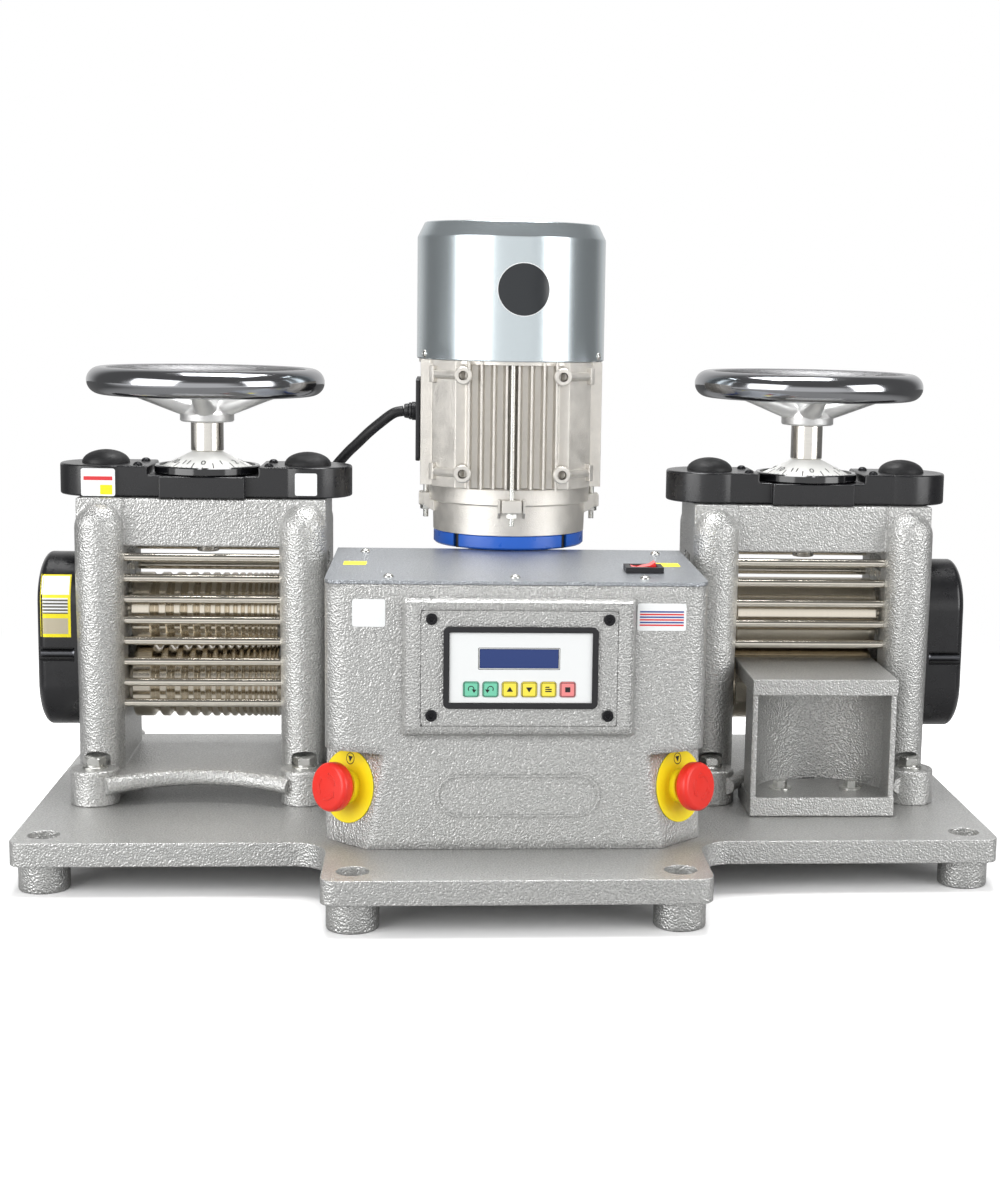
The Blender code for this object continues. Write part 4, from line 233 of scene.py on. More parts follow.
class Coat:
    """One finish's material while its nodes are set."""

    DIMPLE = 1.6 * MM
    GRAIN = 0.7 * MM
    MOULD_GRAIN = 0.35 * MM
    RING_PITCH = 0.45 * MM
    FLAKE_SIZE = 0.5 * MM
    EDGE_RADIUS = 1.6 * MM
    CLEAR_ROUGHNESS = 0.12

    def __init__(self, finish: Finish) -> None:
        """Start the material with the finish's plain values.

        Args:
            finish: The surface to build.
        """
        self.finish = finish
        self.material = bpy.data.materials.new(finish.name)
        self.material.use_nodes = True
        self.material.diffuse_color = linear(finish.colour)
        self.node = partial(add_node, self.material.node_tree)
        self.shader = self.material.node_tree.nodes["Principled BSDF"]
        for label, value in (("Base Color", linear(finish.colour)),
                             ("Roughness", finish.roughness), ("Metallic", finish.metallic),
                             ("Coat Weight", finish.coat),
                             ("Coat Roughness", self.CLEAR_ROUGHNESS)):
            self.shader.inputs[label].default_value = value

    def build(self) -> bpy.types.Material:
        """Add the relief that the finish's pattern gives.

        Returns:
            The finished material.
        """
        relief = {Pattern.HAMMERED: self.hammered, Pattern.CAST: self.cast,
                  Pattern.MOULDED: self.moulded, Pattern.TURNED_X: self.turned,
                  Pattern.TURNED_Z: self.turned, Pattern.FLAKE: self.flake}
        if self.finish.pattern in relief:
            relief[self.finish.pattern](self.node("ShaderNodeTexCoord").outputs["Object"])
        return self.material

    def feed(self, source: Socket, label: str) -> None:
        """Link an output to an input of the shader."""
        self.material.node_tree.links.new(source, self.shader.inputs[label])

    def hammered(self, place: Socket) -> None:
        """Dimples about 1.6 mm across, darker in their hollows, on rounded edges.

        Args:
            place: The point on the piece.
        """
        wander = self.node("ShaderNodeTexNoise", {}, {
            "Vector": place, "Scale": 1 / (3 * self.DIMPLE), "Detail": 2.0})
        shift = self.node("ShaderNodeVectorMath", {"operation": "SCALE"}, {
            0: wander.outputs["Color"], "Scale": 0.8 * self.DIMPLE})
        moved = self.node("ShaderNodeVectorMath", {"operation": "ADD"}, {0: place, 1: shift})
        cells = self.node("ShaderNodeTexVoronoi", {"feature": "SMOOTH_F1"}, {
            "Vector": moved, "Scale": 1 / self.DIMPLE, "Smoothness": 0.7})
        fine = self.node("ShaderNodeTexNoise", {}, {
            "Vector": place, "Scale": 1 / self.GRAIN, "Detail": 3.0})
        height = self.node("ShaderNodeMath", {"operation": "MULTIPLY_ADD"}, {
            0: fine, 1: 0.35, 2: cells})
        self.blend(height, 0.2, 0.85, linear(self.finish.second))
        self.emboss(height, 0.5 * MM, 1.0, self.EDGE_RADIUS * self.finish.edge, 4)

    def cast(self, place: Socket) -> None:
        """Sand or die texture, uneven in tone.

        Args:
            place: The point on the piece.
        """
        grain = self.node("ShaderNodeTexNoise", {}, {
            "Vector": place, "Scale": 1 / (1.6 * self.GRAIN), "Detail": 4.0})
        cloud = self.node("ShaderNodeTexNoise", {}, {
            "Vector": place, "Scale": 1 / (14 * self.GRAIN), "Detail": 3.0})
        self.darken(cloud, 0.05)
        self.roughen(cloud, 0.8, 1.25)
        self.emboss(grain, 0.25 * MM, 0.7, self.EDGE_RADIUS / 2)

    def moulded(self, place: Socket) -> None:
        """Fine tool grain, with edges broken by a small radius.

        Args:
            place: The point on the piece.
        """
        grain = self.node("ShaderNodeTexNoise", {}, {
            "Vector": place, "Scale": 1 / self.MOULD_GRAIN, "Detail": 2.0})
        cloud = self.node("ShaderNodeTexNoise", {}, {
            "Vector": place, "Scale": 1 / (40 * self.MOULD_GRAIN), "Detail": 2.0})
        self.roughen(cloud, 0.85, 1.2)
        self.emboss(grain, 0.04 * MM, 0.5, self.EDGE_RADIUS / 2)

    def turned(self, place: Socket) -> None:
        """Rings left by grinding or turning, across the piece's own axis.

        Args:
            place: The point on the piece.
        """
        along = 1 / self.RING_PITCH
        around = along / 60
        scale = (along, around, around)
        if self.finish.pattern is Pattern.TURNED_Z:
            scale = (around, around, along)
        stretch = self.node("ShaderNodeMapping", {}, {"Vector": place, "Scale": scale})
        rings = self.node("ShaderNodeTexNoise", {}, {
            "Vector": stretch, "Scale": 1.0, "Detail": 3.0})
        self.darken(rings, 0.04)
        self.roughen(rings, 0.85, 1.2)
        self.emboss(rings, 0.012 * MM, 0.35)

    def flake(self, place: Socket) -> None:
        """Metal flake that gives a lacquer its fine sparkle.

        Args:
            place: The point on the piece.
        """
        cells = self.node("ShaderNodeTexVoronoi", {}, {
            "Vector": place, "Scale": 1 / self.FLAKE_SIZE})
        self.darken(cells, 0.04)
        self.emboss(cells, 0.01 * MM, 0.3)

    def blend(self, factor: Node, low: float, high: float, dark: Point) -> None:
        """Go from a second colour to the finish's own.

        Args:
            factor: What the colour follows.
            low: The factor that has the second colour.
            high: The factor that has the finish's own.
            dark: The second colour.
        """
        share = self.node("ShaderNodeMapRange", {}, {
            "Value": factor, "From Min": low, "From Max": high})
        colour = self.node("ShaderNodeMix", {"data_type": "RGBA"}, {
            "Factor": share, 6: dark, 7: linear(self.finish.colour)})
        self.feed(colour.outputs[2], "Base Color")

    def darken(self, factor: Node, amount: float) -> None:
        """Darken the colour by up to twice the amount where the factor is low."""
        own = linear(self.finish.colour)[:3]
        self.blend(factor, 0.3, 0.7, tuple(c * (1 - amount * 2) for c in own) + (1.0,))

    def roughen(self, factor: Node, least: float, most: float) -> None:
        """Let the roughness follow a factor.

        Args:
            factor: What the roughness follows.
            least: Its lowest share of the finish's roughness.
            most: Its highest share.
        """
        own = self.finish.roughness
        rough = self.node("ShaderNodeMapRange", {}, {
            "Value": factor, "From Min": 0.3, "From Max": 0.7,
            "To Min": own * least, "To Max": own * most})
        self.feed(rough.outputs[0], "Roughness")

    def emboss(self, height: Node, depth: float, strength: float, edge: float = 0.0,
               samples: int = 3) -> None:
        """Raise the relief, and round sharp edges by a small radius.

        Args:
            height: The relief, from 0 to 1.
            depth: Its depth where the finish's relief is 1.
            strength: The bump's strength.
            edge: The radius on edges; 0 leaves them sharp.
            samples: Samples of that rounding.
        """
        inputs = {"Height": height, "Distance": depth * self.finish.relief,
                  "Strength": strength}
        if edge:
            inputs["Normal"] = self.node("ShaderNodeBevel", {"samples": samples},
                                         {"Radius": edge})
        self.feed(self.node("ShaderNodeBump", {}, inputs).outputs[0], "Normal")


@cache
def paint(finish: Finish) -> bpy.types.Material:
    """The finish's material, built on first use."""
    return Coat(finish).build()


def linked(name: str, data: bpy.types.ID) -> Item:
    """Put a mesh, curve, lamp or camera in the scene as an object at the origin.

    Args:
        name: The object's name.
        data: What it shows.

    Returns:
        The object.
    """
    item = bpy.data.objects.new(name, data)
    bpy.context.scene.collection.objects.link(item)
    return item


def from_bmesh(name: str, shape: bmesh.types.BMesh) -> Item:
    """Turn a bmesh into an object and free it.

    Args:
        name: The object's name.
        shape: The bmesh.

    Returns:
        The object.
    """
    mesh = bpy.data.meshes.new(name)
    shape.to_mesh(mesh)
    shape.free()
    return linked(name, mesh)


def at(x: float, y: float, z: float) -> Matrix:
    """A move."""
    return Matrix.Translation((x, y, z))


def turn(angle: float, axis: str) -> Matrix:
    """A turn about an axis."""
    return Matrix.Rotation(angle, 4, axis)


def moved(item: Item, place: Matrix) -> Item:
    """Put a turn or move into an object's mesh."""
    item.data.transform(place)
    return item


def baked(item: Item, place: Matrix = IDENTITY) -> Item:
    """Replace an object with one plain mesh of its evaluated shape.

    Args:
        item: A mesh, curve or text object, with or without modifiers.
        place: A turn or move that goes into the mesh.

    Returns:
        A new object at the origin, of the same name.
    """
    bpy.context.view_layer.update()
    name = item.name
    source = item.evaluated_get(bpy.context.evaluated_depsgraph_get())
    mesh = bpy.data.meshes.new_from_object(source)
    mesh.transform(place @ item.matrix_world)
    bpy.data.objects.remove(item)
    result = linked(name, mesh)
    result.name = name
    return result


def skinned(name: str, loops: Sequence[Sequence[Point]], place: Matrix = IDENTITY,
            ends: bool = True, closed: bool = False) -> Item:
    """Join loops of points by bands of faces.

    Args:
        name: The object's name.
        loops: Closed loops of equally many points; one of a single point is a pole.
        place: A turn or move that goes into the mesh.
        ends: Put a face on the first and the last loop.
        closed: Join the last loop to the first.

    Returns:
        The object, its faces outwards.
    """
    shape = bmesh.new()
    rings = [[shape.verts.new(point) for point in loop] for loop in loops]
    pairs = list(zip(rings, rings[1:])) + ([(rings[-1], rings[0])] if closed else [])
    for near, far in pairs:
        count = max(len(near), len(far))
        for k in range(count):
            j = (k + 1) % count
            corners = [near[k % len(near)], near[j % len(near)],
                       far[j % len(far)], far[k % len(far)]]
            face = list(dict.fromkeys(corners))
            if len(face) > 2:
                shape.faces.new(face)
    if ends:
        shape.faces.new(rings[0])
        shape.faces.new(rings[-1])
    bmesh.ops.recalc_face_normals(shape, faces=shape.faces)
    shape.transform(place)
    return from_bmesh(name, shape)


def lathe(name: str, profile: Sequence[Point], sides: int = 64, place: Matrix = IDENTITY,
          closed: bool = False) -> Item:
    """Turn (radius, height) points about +Z.

    Args:
        name: The object's name.
        profile: The outline; a radius of 0 makes a pole.
        sides: Facets round the axis.
        place: A turn or move that goes into the mesh.
        closed: Join the last point to the first, for a ring.

    Returns:
        The turned object.
    """
    angles = [2 * pi * i / sides for i in range(sides)]
    loops = [[(r * cos(a), r * sin(a), z) for a in (angles if r else angles[:1])]
             for r, z in profile]
    return skinned(name, loops, place, False, closed)


def bar(name: str, start: Point, end: Point, radius: float, sides: int = 32) -> Item:
    """A round bar between two points.

    Args:
        name: The object's name.
        start: The middle of one end.
        end: The middle of the other end.
        radius: The bar's radius.
        sides: Facets round it.

    Returns:
        The bar.
    """
    span = Vector(end) - Vector(start)
    place = at(*start) @ span.to_track_quat("Z", "Y").to_matrix().to_4x4()
    return lathe(name, [(0, span.length), (radius, span.length), (radius, 0), (0, 0)],
                 sides, place)


def block(name: str, low: Point, high: Point) -> Item:
    """A box between two corners.

    Args:
        name: The object's name.
        low: One corner.
        high: The opposite corner.

    Returns:
        The box.
    """
    shape = bmesh.new()
    bmesh.ops.create_cube(shape, size=1)
    bmesh.ops.scale(shape, vec=[abs(b - a) for a, b in zip(low, high)], verts=shape.verts)
    bmesh.ops.translate(shape, vec=[(a + b) / 2 for a, b in zip(low, high)],
                        verts=shape.verts)
    return from_bmesh(name, shape)


def sheet_metal(name: str, outlines: Sequence[Outline], bottom: float, top: float,
                place: Matrix = IDENTITY) -> Item:
    """Extrude an outline and its holes between two heights.

    Args:
        name: The object's name.
        outlines: The outer outline, then any holes.
        bottom: Lower height.
        top: Upper height.
        place: A turn or move that goes into the mesh.

    Returns:
        The extruded object.
    """
    curve = bpy.data.curves.new(name, "CURVE")
    curve.dimensions = "2D"
    curve.fill_mode = "BOTH"
    curve.extrude = abs(top - bottom) / 2
    for outline in outlines:
        spline = curve.splines.new("POLY")
        spline.points.add(len(outline) - 1)
        for point, (x, y) in zip(spline.points, outline):
            point.co = (x, y, 0, 1)
        spline.use_cyclic_u = True
    item = linked(name, curve)
    item.location.z = (bottom + top) / 2
    item = baked(item, place)
    shape = bmesh.new()
    shape.from_mesh(item.data)
    bmesh.ops.remove_doubles(shape, verts=shape.verts, dist=MERGE)
    bmesh.ops.recalc_face_normals(shape, faces=shape.faces)
    shape.to_mesh(item.data)
    shape.free()
    return item


def slab(name: str, outline: Outline, bottom: float, top: float,
         place: Matrix = IDENTITY) -> Item:
    """Extrude one outline without holes, with one face on each end."""
    return skinned(name, [[(x, y, z) for x, y in outline] for z in (bottom, top)], place)


def arc(centre: Point, radius: float, start: float, end: float, steps: int) -> Outline:
    """Points along an arc, both ends included, angles in radians."""
    angles = [start + (end - start) * i / steps for i in range(steps + 1)]
    return [(centre[0] + radius * cos(a), centre[1] + radius * sin(a)) for a in angles]


def circle(centre: Point, radius: float, sides: int = 48) -> Outline:
    """A closed round outline."""
    return arc(centre, radius, 0, 2 * pi * (sides - 1) / sides, sides - 1)


def dome(radius: float, rise: float, foot: float, steps: int) -> Outline:
    """Half a dome's section, from its top down to its rim at the foot's height."""
    angles = [QUARTER * i / steps for i in range(steps + 1)]
    return [(radius * sin(a), foot + rise * cos(a)) for a in angles]


def bowed(half: float, middle: float, end: float, steps: int) -> Outline:
    """Points along a line across the machine whose middle is bowed to the rear.

    Args:
        half: Half its length.
        middle: How far in front of the zero its middle is.
        end: How far in front of the zero its ends are.
        steps: Parts of the line.

    Returns:
        The points, from left to right.
    """
    bow = end - middle
    radius = (half ** 2 + bow ** 2) / (2 * bow)
    spread = asin(half / radius)
    angles = [-spread + 2 * spread * i / steps for i in range(steps + 1)]
    return [(radius * sin(a), -middle - radius + radius * cos(a)) for a in angles]


def rounded(corners: Sequence[Point], steps: int = 6) -> Outline:
    """Round an outline's corners, each by its own radius.

    Args:
        corners: (x, y, radius) of each corner.
        steps: Parts of each round.

    Returns:
        The outline.
    """
    outline: Outline = []
    count = len(corners)
    for i, (x, y, radius) in enumerate(corners):
        here = Vector((x, y))
        to_last = (Vector(corners[i - 1][:2]) - here).normalized()
        to_next = (Vector(corners[(i + 1) % count][:2]) - here).normalized()
        if radius == 0:
            outline.append((x, y))
            continue
        half = acos(max(-1, min(1, to_last.dot(to_next)))) / 2
        centre = here + (to_last + to_next).normalized() * (radius / sin(half))
        first = here + to_last * (radius / tan(half)) - centre
        last = here + to_next * (radius / tan(half)) - centre
        begin = atan2(first.y, first.x)
        sweep = (atan2(last.y, last.x) - begin + pi) % (2 * pi) - pi
        outline += arc(centre, radius, begin, begin + sweep, steps)
    return outline


def rectangle(left: float, right: float, bottom: float, top: float, corner: float = 0.0,
              steps: int = 6) -> Outline:
    """A rectangle with equal corner radii."""
    return rounded([(left, bottom, corner), (right, bottom, corner),
                    (right, top, corner), (left, top, corner)], steps)


def frame_of(box: Point, grow: float, width: float, radii: Point, steps: int) -> list[Outline]:
    """The two outlines of a rectangular frame.

    Args:
        box: Left, right, low and high.
        grow: How far the outer outline is outside the box.
        width: The frame's width.
        radii: Corner radius outside and inside.
        steps: Parts of each round.

    Returns:
        The outer and the inner outline.
    """
    left, right, low, high = box
    return [rectangle(left - g, right + g, low - g, high + g, radius, steps)
            for g, radius in zip((grow, grow - width), radii)]


def boolean(target: Item, tools: Iterable[Item], operation: str = "DIFFERENCE") -> Item:
    """Cut tools from a target, or join them to it, and keep the plain result.

    Args:
        target: The object that stays.
        tools: The objects that go into it.
        operation: What to do with them.

    Returns:
        The result.
    """
    tools = list(tools)
    for tool in tools:
        modifier = target.modifiers.new(tool.name, "BOOLEAN")
        modifier.operation = operation
        modifier.solver = "EXACT"
        modifier.object = tool
    result = baked(target)
    for tool in tools:
        bpy.data.objects.remove(tool)
    return result


def softened(item: Item, width: float, segments: int = 2, angle: float = SHARP) -> Item:
    """Round an object's sharp edges by a small bevel.

    Args:
        item: The object.
        width: The bevel's width.
        segments: Its steps.
        angle: Edges sharper than this are rounded.

    Returns:
        The rounded object.
    """
    bevel = item.modifiers.new("edges", "BEVEL")
    bevel.width = width
    bevel.segments = segments
    bevel.limit_method = "ANGLE"
    bevel.angle_limit = angle
    bevel.use_clamp_overlap = True
    bevel.miter_outer = "MITER_ARC"
    return baked(item)


def joined(name: str, items: Sequence[Item]) -> Item:
    """Put several plain meshes into one object.

    Args:
        name: The object's name.
        items: The objects, which are removed.

    Returns:
        The one object.
    """
    shape = bmesh.new()
    for item in items:
        shape.from_mesh(item.data)
        bpy.data.objects.remove(item)
    return from_bmesh(name, shape)


class PatternTree:
    """Geometry Nodes that set copies of a shape on points."""

    def __init__(self, name: str, finish: Finish, sizes: dict[str, str]) -> None:
        """Start a tree with its named inputs.

        Args:
            name: The tree's name.
            finish: The surface of the copies.
            sizes: The inputs' names and kinds.
        """
        self.finish = finish
        self.tree = bpy.data.node_groups.new(name, "GeometryNodeTree")
        self.node = partial(add_node, self.tree)
        self.tree.interface.new_socket("Geometry", in_out="OUTPUT",
                                       socket_type="NodeSocketGeometry")
        for label, kind in {"Shape": "Object", **sizes}.items():
            self.tree.interface.new_socket(label, in_out="INPUT",
                                           socket_type=f"NodeSocket{kind}")
        self.sizes = self.node("NodeGroupInput").outputs

    def copy_onto(self, points: Node, facing: Optional[Node] = None) -> None:
        """Set the shape on the points, realise the copies and give them the finish.

        Args:
            points: The points.
            facing: The turn of each copy.
        """
        shape = self.node("GeometryNodeObjectInfo", {"transform_space": "ORIGINAL"},
                          {"Object": self.sizes["Shape"]})
        inputs = {"Points": points, "Instance": shape.outputs["Geometry"]}
        if facing is not None:
            inputs["Rotation"] = facing
        copies = self.node("GeometryNodeInstanceOnPoints", {}, inputs)
        real = self.node("GeometryNodeRealizeInstances", {}, {0: copies})
        painted = self.node("GeometryNodeSetMaterial", {}, {
            "Geometry": real, "Material": paint(self.finish)})
        self.node("NodeGroupOutput", {}, {0: painted})

    def run(self, name: str, shape: Item, values: dict) -> Item:
        """Run the tree on a new object and keep the plain mesh.

        Args:
            name: The result's name.
            shape: The object that is copied; it is removed afterwards.
            values: Input names and their values.

        Returns:
            The finished object.
        """
        carrier = linked(name, bpy.data.meshes.new(name))
        modifier = carrier.modifiers.new(name, "NODES")
        modifier.node_group = self.tree
        given = {"Shape": shape, **values}
        for socket in self.tree.interface.items_tree:
            if socket.in_out == "INPUT":
                modifier[socket.identifier] = given[socket.name]
        result = baked(carrier)
        bpy.data.objects.remove(shape)
        return result


def on_ring(name: str, shape: Item, finish: Finish, count: int, radius: float,
            height: float, start: float) -> Item:
    """Copies of a shape on a circle about Z, each turned to face outwards.

    Args:
        name: The result's name.
        shape: The object that is copied.
        finish: The copies' surface.
        count: How many there are.
        radius: The circle's radius.
        height: The circle's height.
        start: The first copy's angle.

    Returns:
        The copies as one object.
    """
    tree = PatternTree(f"{name}_tree", finish, {
        "Count": "Int", "Radius": "Float", "Height": "Float", "Start": "Float",
        "Step": "Float"})
    angle = tree.node("ShaderNodeMath", {"operation": "MULTIPLY_ADD"}, {
        0: tree.node("GeometryNodeInputIndex"), 1: tree.sizes["Step"], 2: tree.sizes["Start"]})
    reach = {}
    for axis, wave in (("X", "COSINE"), ("Y", "SINE")):
        share = tree.node("ShaderNodeMath", {"operation": wave}, {0: angle})
        reach[axis] = tree.node("ShaderNodeMath", {"operation": "MULTIPLY"}, {
            0: share, 1: tree.sizes["Radius"]})
    spot = tree.node("ShaderNodeCombineXYZ", {}, {**reach, "Z": tree.sizes["Height"]})
    points = tree.node("GeometryNodePoints", {}, {
        "Count": tree.sizes["Count"], "Position": spot})
    tree.copy_onto(points, tree.node("ShaderNodeCombineXYZ", {}, {"Z": angle}))
    return tree.run(name, shape, {"Count": count, "Radius": radius, "Height": height,
                                  "Start": start, "Step": 2 * pi / count})


def on_line(name: str, shape: Item, finish: Finish, count: int, start: Point,
            step: Point) -> Item:
    """Copies of a shape along a straight line at an even step.

    Args:
        name: The result's name.
        shape: The object that is copied.
        finish: The copies' surface.
        count: How many there are.
        start: The first copy's place.
        step: From each copy to the next.

    Returns:
        The copies as one object.
    """
    tree = PatternTree(f"{name}_tree", finish, {
        "Count": "Int", "Start": "Vector", "Step": "Vector"})
    line = tree.node("GeometryNodeMeshLine", {"mode": "OFFSET"}, {
        "Count": tree.sizes["Count"], "Start Location": tree.sizes["Start"],
        "Offset": tree.sizes["Step"]})
    tree.copy_onto(line)
    return tree.run(name, shape, {"Count": count, "Start": tuple(start),
                                  "Step": tuple(step)})


@dataclass
class Studio:
    """Floor, light and the photograph's camera."""

    eye: Point = (-0.0597, -1.68605, 0.4868)
    yaw: float = 0.0872
    pitch: float = 0.1389
    roll: float = 0.0202
    focal_px: float = 1931.7
    centre_px: Point = (611.57, 577.60)
    image_px: Point = (1000, 1200)
    sensor_mm: float = 36.0
    floor_size: float = 14.0
    sheet_reach: Point = (0.75, 1.35)
    dark_front: float = 0.17
    lit_front: float = 1.1
    lit_way: Point = (-0.35, -0.94, 0.0)
    lit_behind: float = 0.75
    soft_light: float = 0.6

    def build(self) -> None:
        """Set the camera, the floor, the lights and the white surroundings."""
        self.camera()
        self.floor()
        self.lights()
        self.surroundings()

    def camera(self) -> None:
        """Stand where the photographer stood, with the frame shifted as in the photo."""
        forward = Vector((sin(self.yaw) * cos(self.pitch), cos(self.yaw) * cos(self.pitch),
                          -sin(self.pitch)))
        level = Vector((cos(self.yaw), -sin(self.yaw), 0))
        upright = level.cross(forward)
        right = level * cos(self.roll) + upright * sin(self.roll)
        top = upright * cos(self.roll) - level * sin(self.roll)
        tall = max(self.image_px)
        data = bpy.data.cameras.new("camera")
        data.sensor_width = self.sensor_mm
        data.lens = self.focal_px / tall * self.sensor_mm
        data.shift_x = (self.image_px[0] / 2 - self.centre_px[0]) / tall
        data.shift_y = (self.centre_px[1] - self.image_px[1] / 2) / tall
        data.clip_end = 50
        item = linked("camera", data)
        item.matrix_world = at(*self.eye) @ Matrix(
            (right, top, -forward)).transposed().to_4x4()
        bpy.context.scene.camera = item

    def floor(self) -> None:
        """A plain pale sheet, white to the camera far out, with a lit and a dark
        part that only metal mirrors."""
        half = self.floor_size / 2
        ground = slab("floor", rectangle(-half, half, -half, half), -0.01, 0)
        material = bpy.data.materials.new("pale_floor")
        material.use_nodes = True
        node = partial(add_node, material.node_tree)
        shader = material.node_tree.nodes["Principled BSDF"]
        shader.inputs["Roughness"].default_value = 0.9
        rays = node("ShaderNodeLightPath").outputs
        sheet = node("ShaderNodeMix", {"data_type": "RGBA"}, {
            0: rays["Is Camera Ray"], 6: linear("#8c8c8c"), 7: linear("#fbfbfb")})
        material.node_tree.links.new(sheet.outputs[2], shader.inputs["Base Color"])
        place = node("ShaderNodeTexCoord").outputs["Object"]
        ahead = node("ShaderNodeVectorMath", {"operation": "DOT_PRODUCT"}, {
            0: place, 1: self.lit_way})
        mirrored = node("ShaderNodeMapRange", {"interpolation_type": "SMOOTHSTEP"}, {
            "Value": ahead.outputs["Value"], "From Min": 0.2, "From Max": 1.8,
            "To Min": self.dark_front, "To Max": self.lit_front})
        away = node("ShaderNodeVectorMath", {"operation": "LENGTH"}, {0: place})
        fade = node("ShaderNodeMapRange", {"interpolation_type": "SMOOTHSTEP"}, {
            "Value": away.outputs["Value"], "From Min": self.sheet_reach[0],
            "From Max": self.sheet_reach[1]})
        seen = node("ShaderNodeMath", {"operation": "MAXIMUM"}, {
            0: rays["Is Camera Ray"], 1: rays["Is Glossy Ray"]})
        share = node("ShaderNodeMath", {"operation": "MULTIPLY"}, {0: fade, 1: seen})
        bright = node("ShaderNodeMapRange", {}, {
            "Value": rays["Is Camera Ray"], "To Min": mirrored})
        white = node("ShaderNodeEmission", {}, {
            "Color": linear("#ffffff"), "Strength": bright})
        mix = node("ShaderNodeMixShader", {}, {0: share, 1: shader, 2: white})
        material.node_tree.links.new(
            mix.outputs[0], material.node_tree.nodes["Material Output"].inputs["Surface"])
        ground.data.materials.append(material)

    def lights(self) -> None:
        """Two large soft boxes at the machine's height, and a light overhead."""
        target = Vector((0, 0, 0.30))
        for name, place, size, power in (
                ("left_box", (-1.70, -1.40, 0.90), (1.8, 1.7), 38),
                ("right_box", (1.82, -1.20, 0.90), (1.3, 1.7), 28),
                ("overhead", (0.0, 0.25, 2.3), (1.3, 1.0), 66)):
            data = bpy.data.lights.new(name, "AREA")
            data.shape = "RECTANGLE"
            data.size, data.size_y = size
            data.energy = power
            item = linked(name, data)
            item.location = place
            aim = target - Vector(place)
            item.rotation_euler = aim.to_track_quat("-Z", "Y").to_euler()

    def surroundings(self) -> None:
        """White for the camera and behind the machine in reflections, with the dark
        room behind the camera for metal to mirror, and a softer grey as light."""
        scene = bpy.context.scene
        scene.view_settings.view_transform = "Standard"
        scene.world = bpy.data.worlds.new("studio")
        scene.world.use_nodes = True
        scene.world.node_tree.nodes.clear()
        node = partial(add_node, scene.world.node_tree)
        rays = node("ShaderNodeLightPath").outputs
        way = node("ShaderNodeTexCoord").outputs["Generated"]
        axes = node("ShaderNodeSeparateXYZ", {}, {0: way}).outputs
        behind = node("ShaderNodeMapRange", {"interpolation_type": "SMOOTHSTEP"}, {
            "Value": axes["Y"], "From Min": 0.5, "From Max": 0.9,
            "To Min": self.dark_front, "To Max": self.lit_behind})
        towards = node("ShaderNodeVectorMath", {"operation": "DOT_PRODUCT"}, {
            0: way, 1: self.lit_way})
        ahead = node("ShaderNodeMapRange", {"interpolation_type": "SMOOTHSTEP"}, {
            "Value": towards.outputs["Value"], "From Min": 0.35, "From Max": 0.8,
            "To Max": self.lit_front})
        low = node("ShaderNodeMapRange", {"interpolation_type": "SMOOTHSTEP"}, {
            "Value": axes["Z"], "From Min": 0.15, "From Max": 0.5,
            "To Min": 1.0, "To Max": 0.0})
        card = node("ShaderNodeMath", {"operation": "MULTIPLY"}, {0: ahead, 1: low})
        mirrored = node("ShaderNodeMath", {"operation": "MAXIMUM"}, {0: behind, 1: card})
        seen = node("ShaderNodeMath", {"operation": "MAXIMUM"}, {
            0: rays["Is Camera Ray"], 1: rays["Is Transmission Ray"]})
        indirect = node("ShaderNodeMix", {"data_type": "FLOAT"}, {
            0: rays["Is Glossy Ray"], 2: self.soft_light, 3: mirrored})
        strength = node("ShaderNodeMix", {"data_type": "FLOAT"}, {
            0: seen, 2: indirect, 3: 1.0})
        white = node("ShaderNodeBackground", {}, {
            "Color": linear("#ffffff"), "Strength": strength})
        node("ShaderNodeOutputWorld", {}, {"Surface": white})


@dataclass(frozen=True)
class Datum:
    """The drawing's zero in the row frame: roll axis, machine's middle, plate top."""

    roll_y: float = 0.084
    base_top: float = 0.045
    stand_x: float = 0.274
    motor_y: float = 0.038

    def machine(self) -> Vector:
        """The machine's own zero."""
        return Vector((0, self.roll_y, self.base_top))

    def stand(self, side: Side) -> Vector:
        """The zero of one stand."""
        return Vector((side.value * self.stand_x, self.roll_y, self.base_top))

    def motor(self) -> Vector:
        """The foot of the motor's axis."""
        return Vector((0, self.roll_y + self.motor_y, self.base_top))


DATUM = Datum()


class Assembly:
    """What every sub-assembly shares: its zero, and how its pieces are placed."""

    def zero(self) -> Vector:
        """The sub-assembly's zero in the row frame."""
        return DATUM.machine()

    def add(self, item: Item, name: str, finish: Finish, node: str = "",
            body: str = Body.MACHINE.value) -> Item:
        """Give a piece its name, finish, place and body.

        Args:
            item: The finished mesh object.
            name: The piece's name.
            finish: Its surface.
            node: The frame's node that it replaces, if any.
            body: The frame's body that carries it.

        Returns:
            The placed piece.
        """
        item.name = name
        item.data.transform(at(*self.zero()))
        item.data.materials.clear()
        item.data.materials.append(paint(finish))
        for polygon in item.data.polygons:
            polygon.material_index = 0
        item.data.shade_smooth()
        item.data.set_sharp_from_angle(angle=SHARP)
        flatten = item.modifiers.new("flat_faces", "WEIGHTED_NORMAL")
        flatten.keep_sharp = True
        item = baked(item)
        item.data.name = name
        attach(item, body)
        if node:
            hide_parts(node)
        LOG.info("%s: %d faces", name, len(item.data.polygons))
        return item


